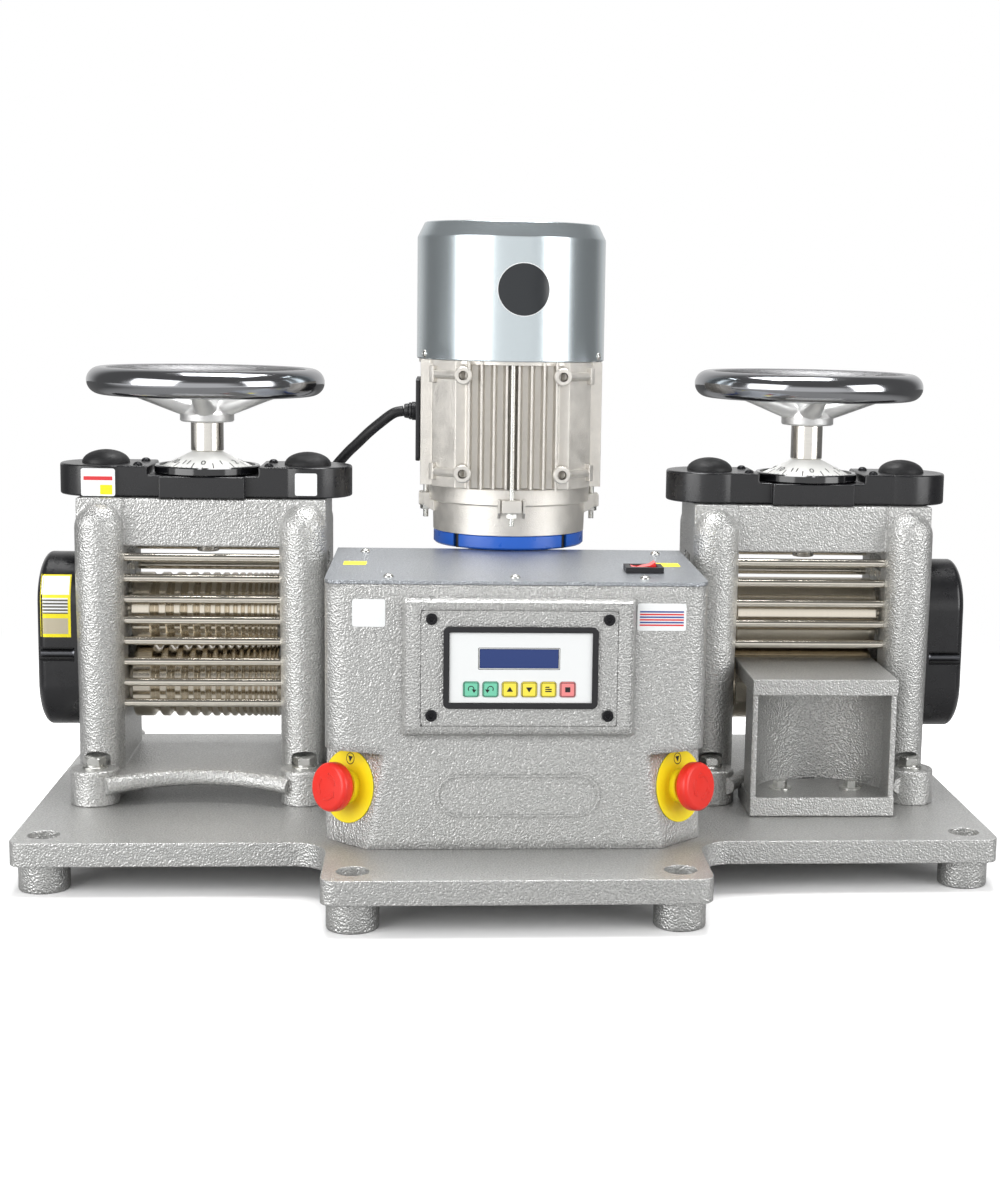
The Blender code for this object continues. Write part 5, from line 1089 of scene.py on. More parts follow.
@dataclass
class SidedAssembly(Assembly):
    """A sub-assembly that the mill has on both sides, in its names too."""

    side: Side

    def zero(self) -> Vector:
        """The zero of the side's stand."""
        return DATUM.stand(self.side)

    def named(self, word: str) -> str:
        """A name with the side's word before it."""
        return f"{self.side.label}_{word}" if word else ""

    def add(self, item: Item, name: str, finish: Finish, node: str = "",
            body: str = Body.MACHINE.value) -> Item:
        """Place a piece; its name and node get the side's word, its body doesn't."""
        return super().add(item, self.named(name), finish, self.named(node), body)


@dataclass
class BasePlate(Assembly):
    """The cast plate that carries everything, on eight round feet."""

    half_width: float = 0.413
    front: float = -0.318
    wing_front: float = -0.209
    rear: float = 0.150
    bay_half_width: float = 0.154
    corner: float = 0.012
    fillet: float = 0.028
    thickness: float = 0.020
    foot_height: float = 0.025
    foot_radius: float = 0.021
    foot_inset: Point = (0.0245, 0.0275)
    hole: float = 0.0065
    bore: float = 0.013
    bore_depth: float = 0.009
    edge: float = 0.0016

    def foot_places(self) -> Outline:
        """Find the middle of each foot.

        Returns:
            The places, in the machine's drawing.
        """
        inset_x, inset_y = self.foot_inset
        wing = self.half_width - inset_x
        bay = self.bay_half_width - inset_x
        rows = [(bay, self.front + inset_y), (wing, self.wing_front + inset_y),
                (wing, self.rear - inset_y), (bay, self.rear - inset_y)]
        return [(sign * x, y) for x, y in rows for sign in SIGNS]

    def foot(self, x: float, y: float) -> Item:
        """A round foot with a broken lower edge, bored for its bolt.

        Args:
            x: Its place across the machine.
            y: Its place along the machine's depth.

        Returns:
            The foot.
        """
        top = -self.thickness + HAIR
        low = -self.thickness - self.foot_height
        radius, edge = self.foot_radius, self.edge
        return lathe("foot", [
            (self.hole, top), (radius, top), (radius, low + edge),
            (radius - edge * 0.3, low + edge * 0.3), (radius - edge, low), (self.hole, low)],
            56, at(x, y, 0), closed=True)

    def build(self) -> None:
        """Build the plate with its bolt holes and feet."""
        wing, bay = self.half_width, self.bay_half_width
        plate = slab("plate", rounded([
            (-wing, self.wing_front, self.corner), (-bay, self.wing_front, self.fillet),
            (-bay, self.front, self.corner), (bay, self.front, self.corner),
            (bay, self.wing_front, self.fillet), (wing, self.wing_front, self.corner),
            (wing, self.rear, self.corner), (-wing, self.rear, self.corner)], 8),
            -self.thickness, 0)
        through = -2 * self.thickness
        drills = [lathe("drill", [(0, MM), (self.bore, MM), (self.bore, -self.bore_depth),
                                  (self.hole, -self.bore_depth), (self.hole, through),
                                  (0, through)], 40, at(x, y, 0))
                  for x, y in self.foot_places()]
        plate = softened(boolean(plate, drills), self.edge, 3)
        feet = [self.foot(x, y) for x, y in self.foot_places()]
        self.add(joined("plate", [plate] + feet), "base_plate_casting", HAMMER_PAINT,
                 "base_plate")


@dataclass
class Stand(SidedAssembly):
    """One cast stand: cheeks, corner posts, bridge, deck, guard rods and bolts."""

    rods: int
    deck_reach: float
    cheek_inner: float = 0.069
    cheek_outer: float = 0.109
    cheek_depth: float = 0.048
    cheek_edge: float = 0.0012
    height: float = 0.267
    post_radius: float = 0.021
    foot_radius: float = 0.019
    taper: Point = (0.050, 0.200)
    shoulder: float = 0.2415
    boss_place: Point = (0.0916, 0.073)
    boss_radius: float = 0.02125
    boss_height: float = 0.031
    boss_edge: float = 0.0025
    recess: float = 0.015
    recess_top: float = 0.044
    recess_rise: float = 0.006
    bridge_bottom: float = 0.224
    bridge_depth: float = 0.045
    bridge_inset: float = 0.002
    bridge_edge: float = 0.0022
    deck_span: Point = (0.014, 0.029)
    deck_end: float = 0.090
    deck_drop: float = 0.004
    deck_rear: float = 0.071
    window: float = 0.023
    window_top: float = 0.218
    lower_axis: float = 0.0955
    rod_radius: float = 0.0038
    rod_y: float = 0.0435
    rod_top: float = 0.2145
    rod_pitch: float = 0.01875

    def build(self) -> None:
        """Build the stand's casting, rods and bolts."""
        parts = self.cheeks() + [self.bridge()] + self.deck() + self.posts() + self.bosses()
        self.add(joined("casting", parts), "stand_casting", HAMMER_PAINT, "stand")
        self.add(self.guard_rods(), "guard_rods", BAR_STEEL, "stand")
        self.add(self.foot_bolts(), "foot_bolts", ZINC, "stand")

    def cheeks(self) -> list[Item]:
        """Both side walls, each with the window for the bearings.

        Returns:
            The walls.
        """
        through, axis = 2 * self.cheek_outer, self.lower_axis
        window = block("window", (-through, -self.window, axis),
                       (through, self.window, self.window_top))
        seat = bar("seat", (-through, 0, axis), (through, 0, axis), self.window, 64)
        tool = boolean(window, [seat], "UNION")
        walls = []
        for sign in SIGNS:
            wall = block("cheek", (sign * self.cheek_inner, -self.cheek_depth, FLUSH),
                         (sign * self.cheek_outer, self.cheek_depth, self.height))
            copy = linked("tool", tool.data.copy())
            walls.append(softened(boolean(wall, [copy]), self.cheek_edge))
        bpy.data.objects.remove(tool)
        return walls

    def bridge(self) -> Item:
        """The top tie, drawn in from the cheeks' faces."""
        x, y = self.cheek_outer - self.bridge_inset, self.bridge_depth
        return softened(block("bridge", (-x, -y, self.bridge_bottom),
                              (x, y, self.height - FLUSH)), self.bridge_edge, 3)

    def deck(self) -> list[Item]:
        """The bottom tie; its front edge is bowed and rounded.

        Returns:
            The tie and its round lip.
        """
        half = self.cheek_inner + self.post_radius / 2
        low, high = self.deck_span
        front = [(x, y, self.deck_drop * (x / half) ** 2)
                 for x, y in bowed(half, self.deck_reach, self.deck_end, 28)]
        sections = [[(x, y, high - drop), (x, self.deck_rear, high),
                     (x, self.deck_rear, low), (x, y, low - drop)] for x, y, drop in front]
        lip = tube("lip", [(x, y, (low + high) / 2 - drop) for x, y, drop in front],
                   (high - low) / 2)
        return [skinned("deck", sections), lip]

    def posts(self) -> list[Item]:
        """Tapered columns with domed tops, cut away over the foot bolts.

        Returns:
            The four columns.
        """
        profile = dome(self.post_radius, self.post_radius, self.shoulder, 10) + [
            (self.post_radius, self.taper[1]), (self.foot_radius, self.taper[0]),
            (self.foot_radius, FLUSH), (0, FLUSH)]
        hollow = dome(self.recess, self.recess_rise, self.recess_top - self.recess_rise, 8) + [
            (self.recess, self.boss_height), (0, self.boss_height)]
        x = (self.cheek_inner + self.cheek_outer) / 2
        return [boolean(lathe("post", profile, 64, at(sx * x, sy * self.cheek_depth, 0)),
                        [lathe("recess", hollow, 48, at(bx, by, 0))])
                for (sx, sy), (bx, by) in zip(self.corners(1, 1), self.boss_places())]

    @staticmethod
    def corners(x: float, y: float) -> Outline:
        """Four places about the stand's middle."""
        return [(sx * x, sy * y) for sx in SIGNS for sy in SIGNS]

    def boss_places(self) -> Outline:
        """Middle of each foot boss."""
        return self.corners(*self.boss_place)

    def bosses(self) -> list[Item]:
        """Round pads at the foot of each post, with rounded top edges.

        Returns:
            The four pads.
        """
        inner = self.boss_radius - self.boss_edge
        curve = [(inner + x, z) for x, z in dome(
            self.boss_edge, self.boss_edge, self.boss_height - self.boss_edge, 5)]
        profile = [(0, self.boss_height)] + curve + [(self.boss_radius, FLUSH), (0, FLUSH)]
        return [lathe("boss", profile, 56, at(x, y, 0)) for x, y in self.boss_places()]

    def guard_rods(self) -> Item:
        """Two rows of round bars across the stand.

        Returns:
            All the bars.
        """
        reach = self.cheek_inner + MM
        rows = [on_line("rods", bar("rod", (-reach, 0, 0), (reach, 0, 0), self.rod_radius, 24),
                        BAR_STEEL, self.rods, (0, y, self.rod_top), (0, 0, -self.rod_pitch))
                for y in (-self.rod_y, self.rod_y)]
        return joined("rods", rows)

    def foot_bolts(self) -> Item:
        """A hexagon bolt, a spring washer and a flat washer on every boss.

        Returns:
            The bolts.
        """
        made = []
        for x, y in self.boss_places():
            place = at(x, y, self.boss_height)
            made += [washer(11.2 * MM, 1.8 * MM, 0.6 * MM, place),
                     lathe("spring", [(0, 3.6 * MM), (8 * MM, 3.6 * MM), (8 * MM, 1.7 * MM),
                                      (0, 1.7 * MM)], 40, place),
                     hexagon_head(9.8 * MM, 6 * MM, place @ at(0, 0, 3.5 * MM))]
        return joined("bolts", made)


def washer(radius: float, height: float, edge: float, place: Matrix) -> Item:
    """A flat washer with a broken edge, under a bolt head."""
    return lathe("washer", [(0, height), (radius - edge, height), (radius, height - 0.4 * MM),
                            (radius, 0), (0, 0)], 40, place)


def hexagon_head(radius: float, height: float, place: Matrix) -> Item:
    """A hexagon bolt head with its top corners turned off.

    Args:
        radius: To its corners.
        height: Its height.
        place: Where it stands, along +Z.

    Returns:
        The head.
    """
    head = slab("hex", circle((0, 0), radius, 6), 0, height)
    outer = radius * 1.06
    cone = lathe("turned", [(0, height + MM), (radius * 0.80, height + MM),
                            (outer, height - radius * 0.18), (outer, -MM), (0, -MM)], 48)
    return moved(boolean(head, [cone], "INTERSECT"), place)


def socketed(profile: Outline, sides: int, across: float, place: Matrix) -> Item:
    """A screw head with a hexagon socket.

    Args:
        profile: The head's (radius, height) points, from its top down.
        sides: Facets round it.
        across: The socket's share of the head's radius.
        place: Where it stands, along +Z.

    Returns:
        The head.
    """
    height, radius = profile[0][1], max(r for r, _ in profile)
    socket = slab("socket", circle((0, 0), radius * across, 6), height * 0.35, height + MM)
    return moved(boolean(lathe("head", profile, sides), [socket]), place)


def socket_screw(radius: float, height: float, place: Matrix) -> Item:
    """A cap screw head, standing along +Z."""
    edge = radius * 0.12
    return socketed([(0, height), (radius - edge, height), (radius, height - edge),
                     (radius, 0), (0, 0)], 40, 0.52, place)


def button_screw(radius: float, height: float, place: Matrix) -> Item:
    """A domed screw head, standing along +Z."""
    return socketed(dome(radius, height, 0, 6) + [(0, 0)], 36, 0.42, place)


def tube(name: str, points: Sequence[Point], radius: float, sides: int = 20) -> Item:
    """A round tube along points, with closed ends.

    Args:
        name: The object's name.
        points: The tube's middle line.
        radius: Its radius.
        sides: Facets round it.

    Returns:
        The tube.
    """
    places = [Vector(point) for point in points]
    loops = []
    normal = Vector((0, 0, 1))
    for i, here in enumerate(places):
        ahead = places[min(i + 1, len(places) - 1)] - places[max(i - 1, 0)]
        ahead.normalize()
        if abs(ahead.dot(normal)) > 0.95:
            normal = Vector((1, 0, 0))
        side = ahead.cross(normal).normalized()
        normal = side.cross(ahead).normalized()
        loops.append(ellipse(here, side * radius, normal * radius, sides))
    return skinned(name, loops)


def ellipse(centre: Vector, across: Vector, up: Vector, sides: int) -> list[Vector]:
    """A closed loop about a centre, by its two half axes."""
    angles = [2 * pi * k / sides for k in range(sides)]
    return [centre + across * cos(a) + up * sin(a) for a in angles]


@dataclass
class Rolls(SidedAssembly):
    """Both rolls of a stand, turned finer than the frame's."""

    grooved: bool
    radius: float = 0.033
    length: float = 0.130
    lower_axis: float = Stand.lower_axis
    upper_axis: float = 0.1621
    cheek: float = Stand.cheek_outer
    lower_journal: float = 0.0227
    upper_journal: float = 0.016
    gear_seat: float = 0.015
    gear_end: float = 0.138
    edge: float = 0.0008
    plain_band: float = 0.013
    end_land: float = 0.0015
    grooves: int = 15
    ratio: float = 0.9
    land_share: float = 0.38
    depth_share: float = 0.32
    groove_shares: tuple[Point, ...] = ((0, 0), (0.04, 0.05), (0.45, 0.96), (0.5, 1.0),
                                        (0.55, 0.96), (0.96, 0.05), (1, 0))

    def build(self) -> None:
        """Build the lower roll on the drive and the upper roll on its own train."""
        for name, z, journal, body in (
                ("lower_roll", self.lower_axis, self.lower_journal, Body.DRIVE.value),
                ("upper_roll", self.upper_axis, self.upper_journal,
                 self.named("upper_train"))):
            place = at(0, 0, z) @ turn(self.side.value * QUARTER, "Y")
            self.add(lathe(name, self.profile(journal), 96, place), f"{name}_turned",
                     ROLL_STEEL, name, body)

    def profile(self, journal: float) -> Outline:
        """The roll's outline, from the geared end inwards.

        Args:
            journal: The journals' radius.

        Returns:
            (radius, place along the axis) points.
        """
        half, edge = self.length / 2, self.edge
        outer = [(0, self.gear_end), (self.gear_seat, self.gear_end),
                 (self.gear_seat, self.cheek), (journal, self.cheek), (journal, half),
                 (self.radius - edge, half), (self.radius, half - edge)]
        inner = [(self.radius, -half + edge), (self.radius - edge, -half),
                 (journal, -half), (journal, -self.cheek), (0, -self.cheek)]
        return outer + (self.groove_points(half) if self.grooved else []) + inner

    def groove_points(self, half: float) -> Outline:
        """The wire grooves with flat lands between them, widest first.

        Args:
            half: Half the roll's length.

        Returns:
            The outline's points through the grooves.
        """
        room = self.length - self.plain_band - self.end_land
        width = room * (1 - self.ratio) / (1 - self.ratio ** self.grooves)
        place = half - self.plain_band
        points = []
        for _ in range(self.grooves):
            land = width * self.land_share
            depth = self.depth_share * width
            points += [(self.radius - depth * down, place - land / 2 - (width - land) * share)
                       for share, down in self.groove_shares]
            place -= width
            width *= self.ratio
        return points


@dataclass
class Handwheel(SidedAssembly):
    """The wheel, its spindle with the collar, and the dial."""

    rise: float
    spindle: float = 0.008
    clearance: float = 0.0003
    nut: Point = (0.010, 0.2155, 0.2235)
    collar: float = 0.0145
    dial_bottom: float = 0.2885
    dial_edge: float = 0.292
    dial_top: float = 0.306
    dial_radius: float = 0.0415
    hub_radius: float = 0.024
    hub_height: float = 0.020
    hub_bottom: float = 0.333
    wheel_radius: float = 0.105
    rim_radius: float = 0.0122
    rim_above: float = 0.0362
    spokes: int = 5
    spoke_start: Point = (0.009, 0.0105)
    numbers: int = 12
    number_size: float = 0.0095
    mark_start: float = 0.0008

    def build(self) -> None:
        """Build the rim, hub, spindle and dial, all on the wheel's body."""
        body = self.named("wheel")
        for item, name, finish, node in (
                (self.rim(112, -95, 30), "rim", CHROME, "handwheel"),
                (self.rim(-95, -248, 20), "rim_inside", RAW_CASTING, "handwheel"),
                (self.hub(), "hub", NICKEL_CASTING, "handwheel"),
                (self.stem(), "spindle_turned", SPINDLE_STEEL, "spindle"),
                (self.dial(), "dial_ring", DIAL_FACE, "dial"),
                (self.scale(), "dial_scale", INK, "")):
            self.add(item, name, finish, node, body)

    def low(self) -> float:
        """The hub's underside."""
        return self.hub_bottom + self.rise

    def reach(self) -> float:
        """How far the middle of the rim's section is from the axis."""
        return self.wheel_radius - self.rim_radius

    def rim(self, start: float, end: float, steps: int) -> Item:
        """The polished outside of the rim, or its inner side, left as cast."""
        return lathe("rim", arc((self.reach(), self.low() + self.rim_above), self.rim_radius,
                                radians(start), radians(end), steps), 144)

    def hub(self) -> Item:
        """A round hub that runs out into five rising spokes.

        Returns:
            The hub with its spokes.
        """
        low, radius, edge = self.low(), self.hub_radius, 1.2 * MM
        top = low + self.hub_height
        bore = self.spindle + self.clearance
        parts = [lathe("hub", [
            (bore, top + 2 * MM), (radius * 0.62, top + 2 * MM), (radius * 0.72, top - 3 * MM),
            (radius * 0.86, low + 11 * MM), (radius - edge, low + 8.2 * MM),
            (radius, low + 7 * MM), (radius, low + edge), (radius - edge, low), (bore, low)],
            72, closed=True)]
        for i in range(self.spokes):
            angle = 2 * pi * i / self.spokes - QUARTER
            parts.append(self.spoke(Vector((cos(angle), sin(angle), 0))))
        return joined("hub", parts)

    def spoke(self, out: Vector) -> Item:
        """One spoke: an oval arm that sweeps up and widens at both ends.

        Args:
            out: The way it runs from the axis.

        Returns:
            The spoke.
        """
        first, lift = self.spoke_start
        run, climb = self.reach() - first, self.rim_above - lift
        up = (Vector((0, 0, 1)) - out * (climb / run)).normalized()
        side = Vector((0, 0, 1)).cross(out)
        steps = 14
        loops = []
        for share in [i / steps for i in range(steps + 1)]:
            sweep = 0.62 * share + 0.38 * share ** 2 * (3 - 2 * share)
            centre = out * (first + run * share) + Vector((0, 0, self.low() + lift
                                                           + climb * sweep))
            wide = 7.2 * MM + 4.5 * MM * (1 - share) ** 4 + 3.5 * MM * share ** 5
            tall = 5.8 * MM + 3.0 * MM * (1 - share) ** 3 + 1.2 * MM * share ** 5
            loops.append(ellipse(centre, side * wide, up * tall, 20))
        return skinned("spoke", loops)

    def stem(self) -> Item:
        """The spindle, its nut under the bridge and the collar over the dial.

        Returns:
            The turned spindle.
        """
        low = self.low() - FLUSH
        top = self.low() + self.hub_height + 4 * MM
        seat = self.dial_top + FLUSH
        nut, nut_low, nut_high = self.nut
        return lathe("stem", [
            (0, top), (self.spindle - MM, top), (self.spindle, top - MM), (self.spindle, low),
            (self.collar - 0.6 * MM, low), (self.collar, self.low() - MM),
            (self.collar, self.dial_top + 1.4 * MM), (self.collar - 0.8 * MM, seat),
            (self.spindle, seat), (self.spindle, nut_high), (nut, nut_high),
            (nut, nut_low + 0.8 * MM), (nut - 0.8 * MM, nut_low), (0, nut_low)], 56)

    def tilt(self) -> float:
        """The slope of the dial's face."""
        return atan2(self.dial_top - self.dial_edge, self.dial_radius - self.collar)

    def dial(self) -> Item:
        """The shallow cone that carries the scale.

        Returns:
            The dial.
        """
        bore, edge = self.spindle + self.clearance, 0.4 * MM
        return lathe("dial", [
            (self.collar - MM, self.dial_top),
            (self.dial_radius - edge, self.dial_edge + edge / 2),
            (self.dial_radius, self.dial_edge - edge), (self.dial_radius, self.dial_bottom),
            (bore, self.dial_bottom), (bore, self.dial_top)], 120, closed=True)

    def on_cone(self, along: float) -> tuple[float, float]:
        """The radius and height of a place on the dial's face, from its edge upwards."""
        return (self.dial_radius - along * cos(self.tilt()),
                self.dial_edge + along * sin(self.tilt()))

    def scale(self) -> Item:
        """Marks and plain numbers of the thickness scale.

        Returns:
            The print on the dial.
        """
        lean = turn(QUARTER, "Z") @ turn(self.tilt(), "X")
        printed_marks = []
        for count, length, width in ((self.numbers, 11 * MM, 0.9 * MM),
                                     (self.numbers * 4, 4 * MM, 0.5 * MM)):
            mark = slab("mark", rectangle(-width / 2, width / 2, 0, length), 0, 0.06 * MM)
            printed_marks.append(on_ring(
                "marks", moved(mark, lean), INK, count, *self.on_cone(self.mark_start),
                -QUARTER + pi / self.numbers))
        radius, height = self.on_cone(self.number_size)
        for number in range(self.numbers):
            place = turn(2 * pi * number / self.numbers - QUARTER, "Z") @ at(
                radius, 0, height + HAIR) @ lean
            printed_marks.append(lettering(str(number), self.number_size, place))
        return joined("scale", printed_marks)


def lettering(text: str, size: float, place: Matrix) -> Item:
    """A printed number as a thin plate, centred on its place.

    Args:
        text: The number.
        size: Its height.
        place: Where it lies.

    Returns:
        The print.
    """
    curve = bpy.data.curves.new("number", "FONT")
    curve.body = text
    curve.size = size
    curve.extrude = 0.03 * MM
    curve.align_x = "CENTER"
    curve.resolution_u = 4
    return baked(linked("number", curve), place)


@dataclass
class TopCover(SidedAssembly):
    """The black cover on a stand, with its dial pan, rubber caps and screws."""

    bottom: float = 0.2673
    top: float = 0.295
    lobe_x: float = 0.090
    lobe: float = 0.040
    neck: float = 0.0365
    neck_clearance: float = 0.0015
    block_half: float = 0.0375
    block_reach: float = 0.046
    block_top: float = 0.2865
    ring: float = 0.047
    ring_wall: float = 0.0045
    ring_low: float = 0.2868
    ring_high: float = 0.2943
    pan_floor: float = 0.2882
    pan_foot: float = 0.0355
    cap: float = 0.021
    cap_height: float = 0.0115
    spindle: float = Handwheel.spindle + Handwheel.clearance
    edge: float = 0.0018
    screw_places: tuple[Point, ...] = ((0.0575, -0.0290), (0.0575, 0.0180))

    def build(self) -> None:
        """Build the cover body, the pan, the caps and the screws."""
        self.add(joined("cover", [self.body(), self.middle()]), "top_cover_body", BLACK_COVER,
                 "top_cover")
        self.add(self.pan(), "dial_pan", GLOSS_BLACK, "top_cover")
        self.add(self.caps(), "caps", RUBBER, "top_cover")
        self.add(self.screws(), "top_screws", BLACK_SCREW)

    def bore(self) -> Item:
        """The tool that clears the spindle."""
        return bar("bore", (0, 0, 0), (0, 0, 1), self.spindle, 48)

    def body(self) -> Item:
        """Two lobes and the neck between them, drawn in round the pan.

        Returns:
            The cover's body.
        """
        meet = asin(self.neck / self.lobe)
        outline = (arc((self.lobe_x, 0), self.lobe, -pi + meet, pi - meet, 56)
                   + arc((-self.lobe_x, 0), self.lobe, meet, 2 * pi - meet, 56))
        reach = self.ring + self.neck_clearance
        step = block("step", (-reach, -self.lobe, self.block_top),
                     (reach, self.lobe, self.top + MM))
        body = slab("body", outline, self.bottom, self.top)
        return softened(boolean(body, [step, self.bore()]), self.edge, 3)

    def middle(self) -> Item:
        """The square block under the pan."""
        square = block("block", (-self.block_half, -self.block_reach, self.bottom),
                       (self.block_half, self.block_reach, self.block_top))
        return softened(boolean(square, [self.bore()]), 1.2 * MM, 3)

    def pan(self) -> Item:
        """The turned ring round the dial and the floor under it.

        Returns:
            The pan.
        """
        inner, edge = self.ring - self.ring_wall, MM
        high, low, foot = self.ring_high, self.ring_low, self.block_top - 2 * MM
        return lathe("pan", [
            (self.spindle, self.pan_floor), (inner, self.pan_floor), (inner, high - edge / 2),
            (inner + edge / 2, high), (self.ring - edge, high), (self.ring, high - edge),
            (self.ring, low + edge), (self.ring - edge, low), (self.pan_foot, low),
            (self.pan_foot, foot), (self.spindle, foot)], 112, closed=True)

    def caps(self) -> Item:
        """Domed rubber plugs over the adjusting screws.

        Returns:
            Both plugs.
        """
        profile = dome(self.cap, self.cap_height, self.top, 12) + [
            (self.cap, self.top - MM), (0, self.top - MM)]
        return joined("caps", [lathe("cap", profile, 64, at(sign * self.lobe_x, 0, 0))
                               for sign in SIGNS])

    def screws(self) -> Item:
        """Four small domed screws beside the pan."""
        return joined("screws", [
            button_screw(4.2 * MM, 3.2 * MM, at(sign * x, y, self.top - HAIR))
            for sign in SIGNS for x, y in self.screw_places])


@dataclass
class GearCover(SidedAssembly):
    """The black cap over the roll gears, with screw grooves across its edges."""

    inner: float = 0.1093
    outer: float = 0.1483
    radius: float = 0.043
    low: float = 0.0557
    high: float = 0.2135
    groove_z: float = 0.1265
    groove: float = 0.0062
    groove_start: float = 0.004
    groove_depth: float = 0.009
    shaft: float = 0.0034
    crown: float = 0.010
    crown_reach: float = 0.025

    def crowned(self) -> Item:
        """The cap's block: an upright stadium whose outer face is crowned.

        Returns:
            The block.
        """
        steps = 14
        angles = [QUARTER * i / steps for i in range(steps + 1)]
        levels = [(self.inner, 0.0)] + [
            (self.outer - self.crown * (1 - sin(a)), self.crown_reach * (1 - cos(a)))
            for a in angles]
        loops = []
        for x, inset in levels:
            outline = (arc((0, self.high - self.radius), self.radius - inset, 0, pi, 36)
                       + arc((0, self.low + self.radius), self.radius - inset, pi, 2 * pi, 36))
            loops.append([(self.side.value * x, y, z) for y, z in outline])
        return skinned("cover", loops)

    def build(self) -> None:
        """Build the cover and the screws in its grooves."""
        sign = self.side.value
        start = sign * (self.inner + self.groove_start)
        low, high = self.groove_z - self.groove, self.groove_z + self.groove
        tools = [block("groove", (start, y - self.groove_depth, low),
                       (sign * (self.outer + MM), y + self.groove_depth, high))
                 for y in (-self.radius, self.radius)]
        self.add(boolean(self.crowned(), tools), "gear_cover_body", BLACK_COVER, "gear_cover")
        shafts = []
        for way in SIGNS:
            y = way * (self.radius - self.groove_depth + self.shaft - MM)
            shafts.append(bar("shaft", (start + sign * 2 * MM, y, self.groove_z),
                              (sign * (self.outer - 5 * MM), y, self.groove_z),
                              self.shaft, 28))
            shafts.append(button_screw(5 * MM, 5 * MM, at(start, y - way * MM, self.groove_z)
                                       @ turn(sign * QUARTER, "Y")))
        self.add(joined("screws", shafts), "gear_cover_screws", OILED_STEEL)


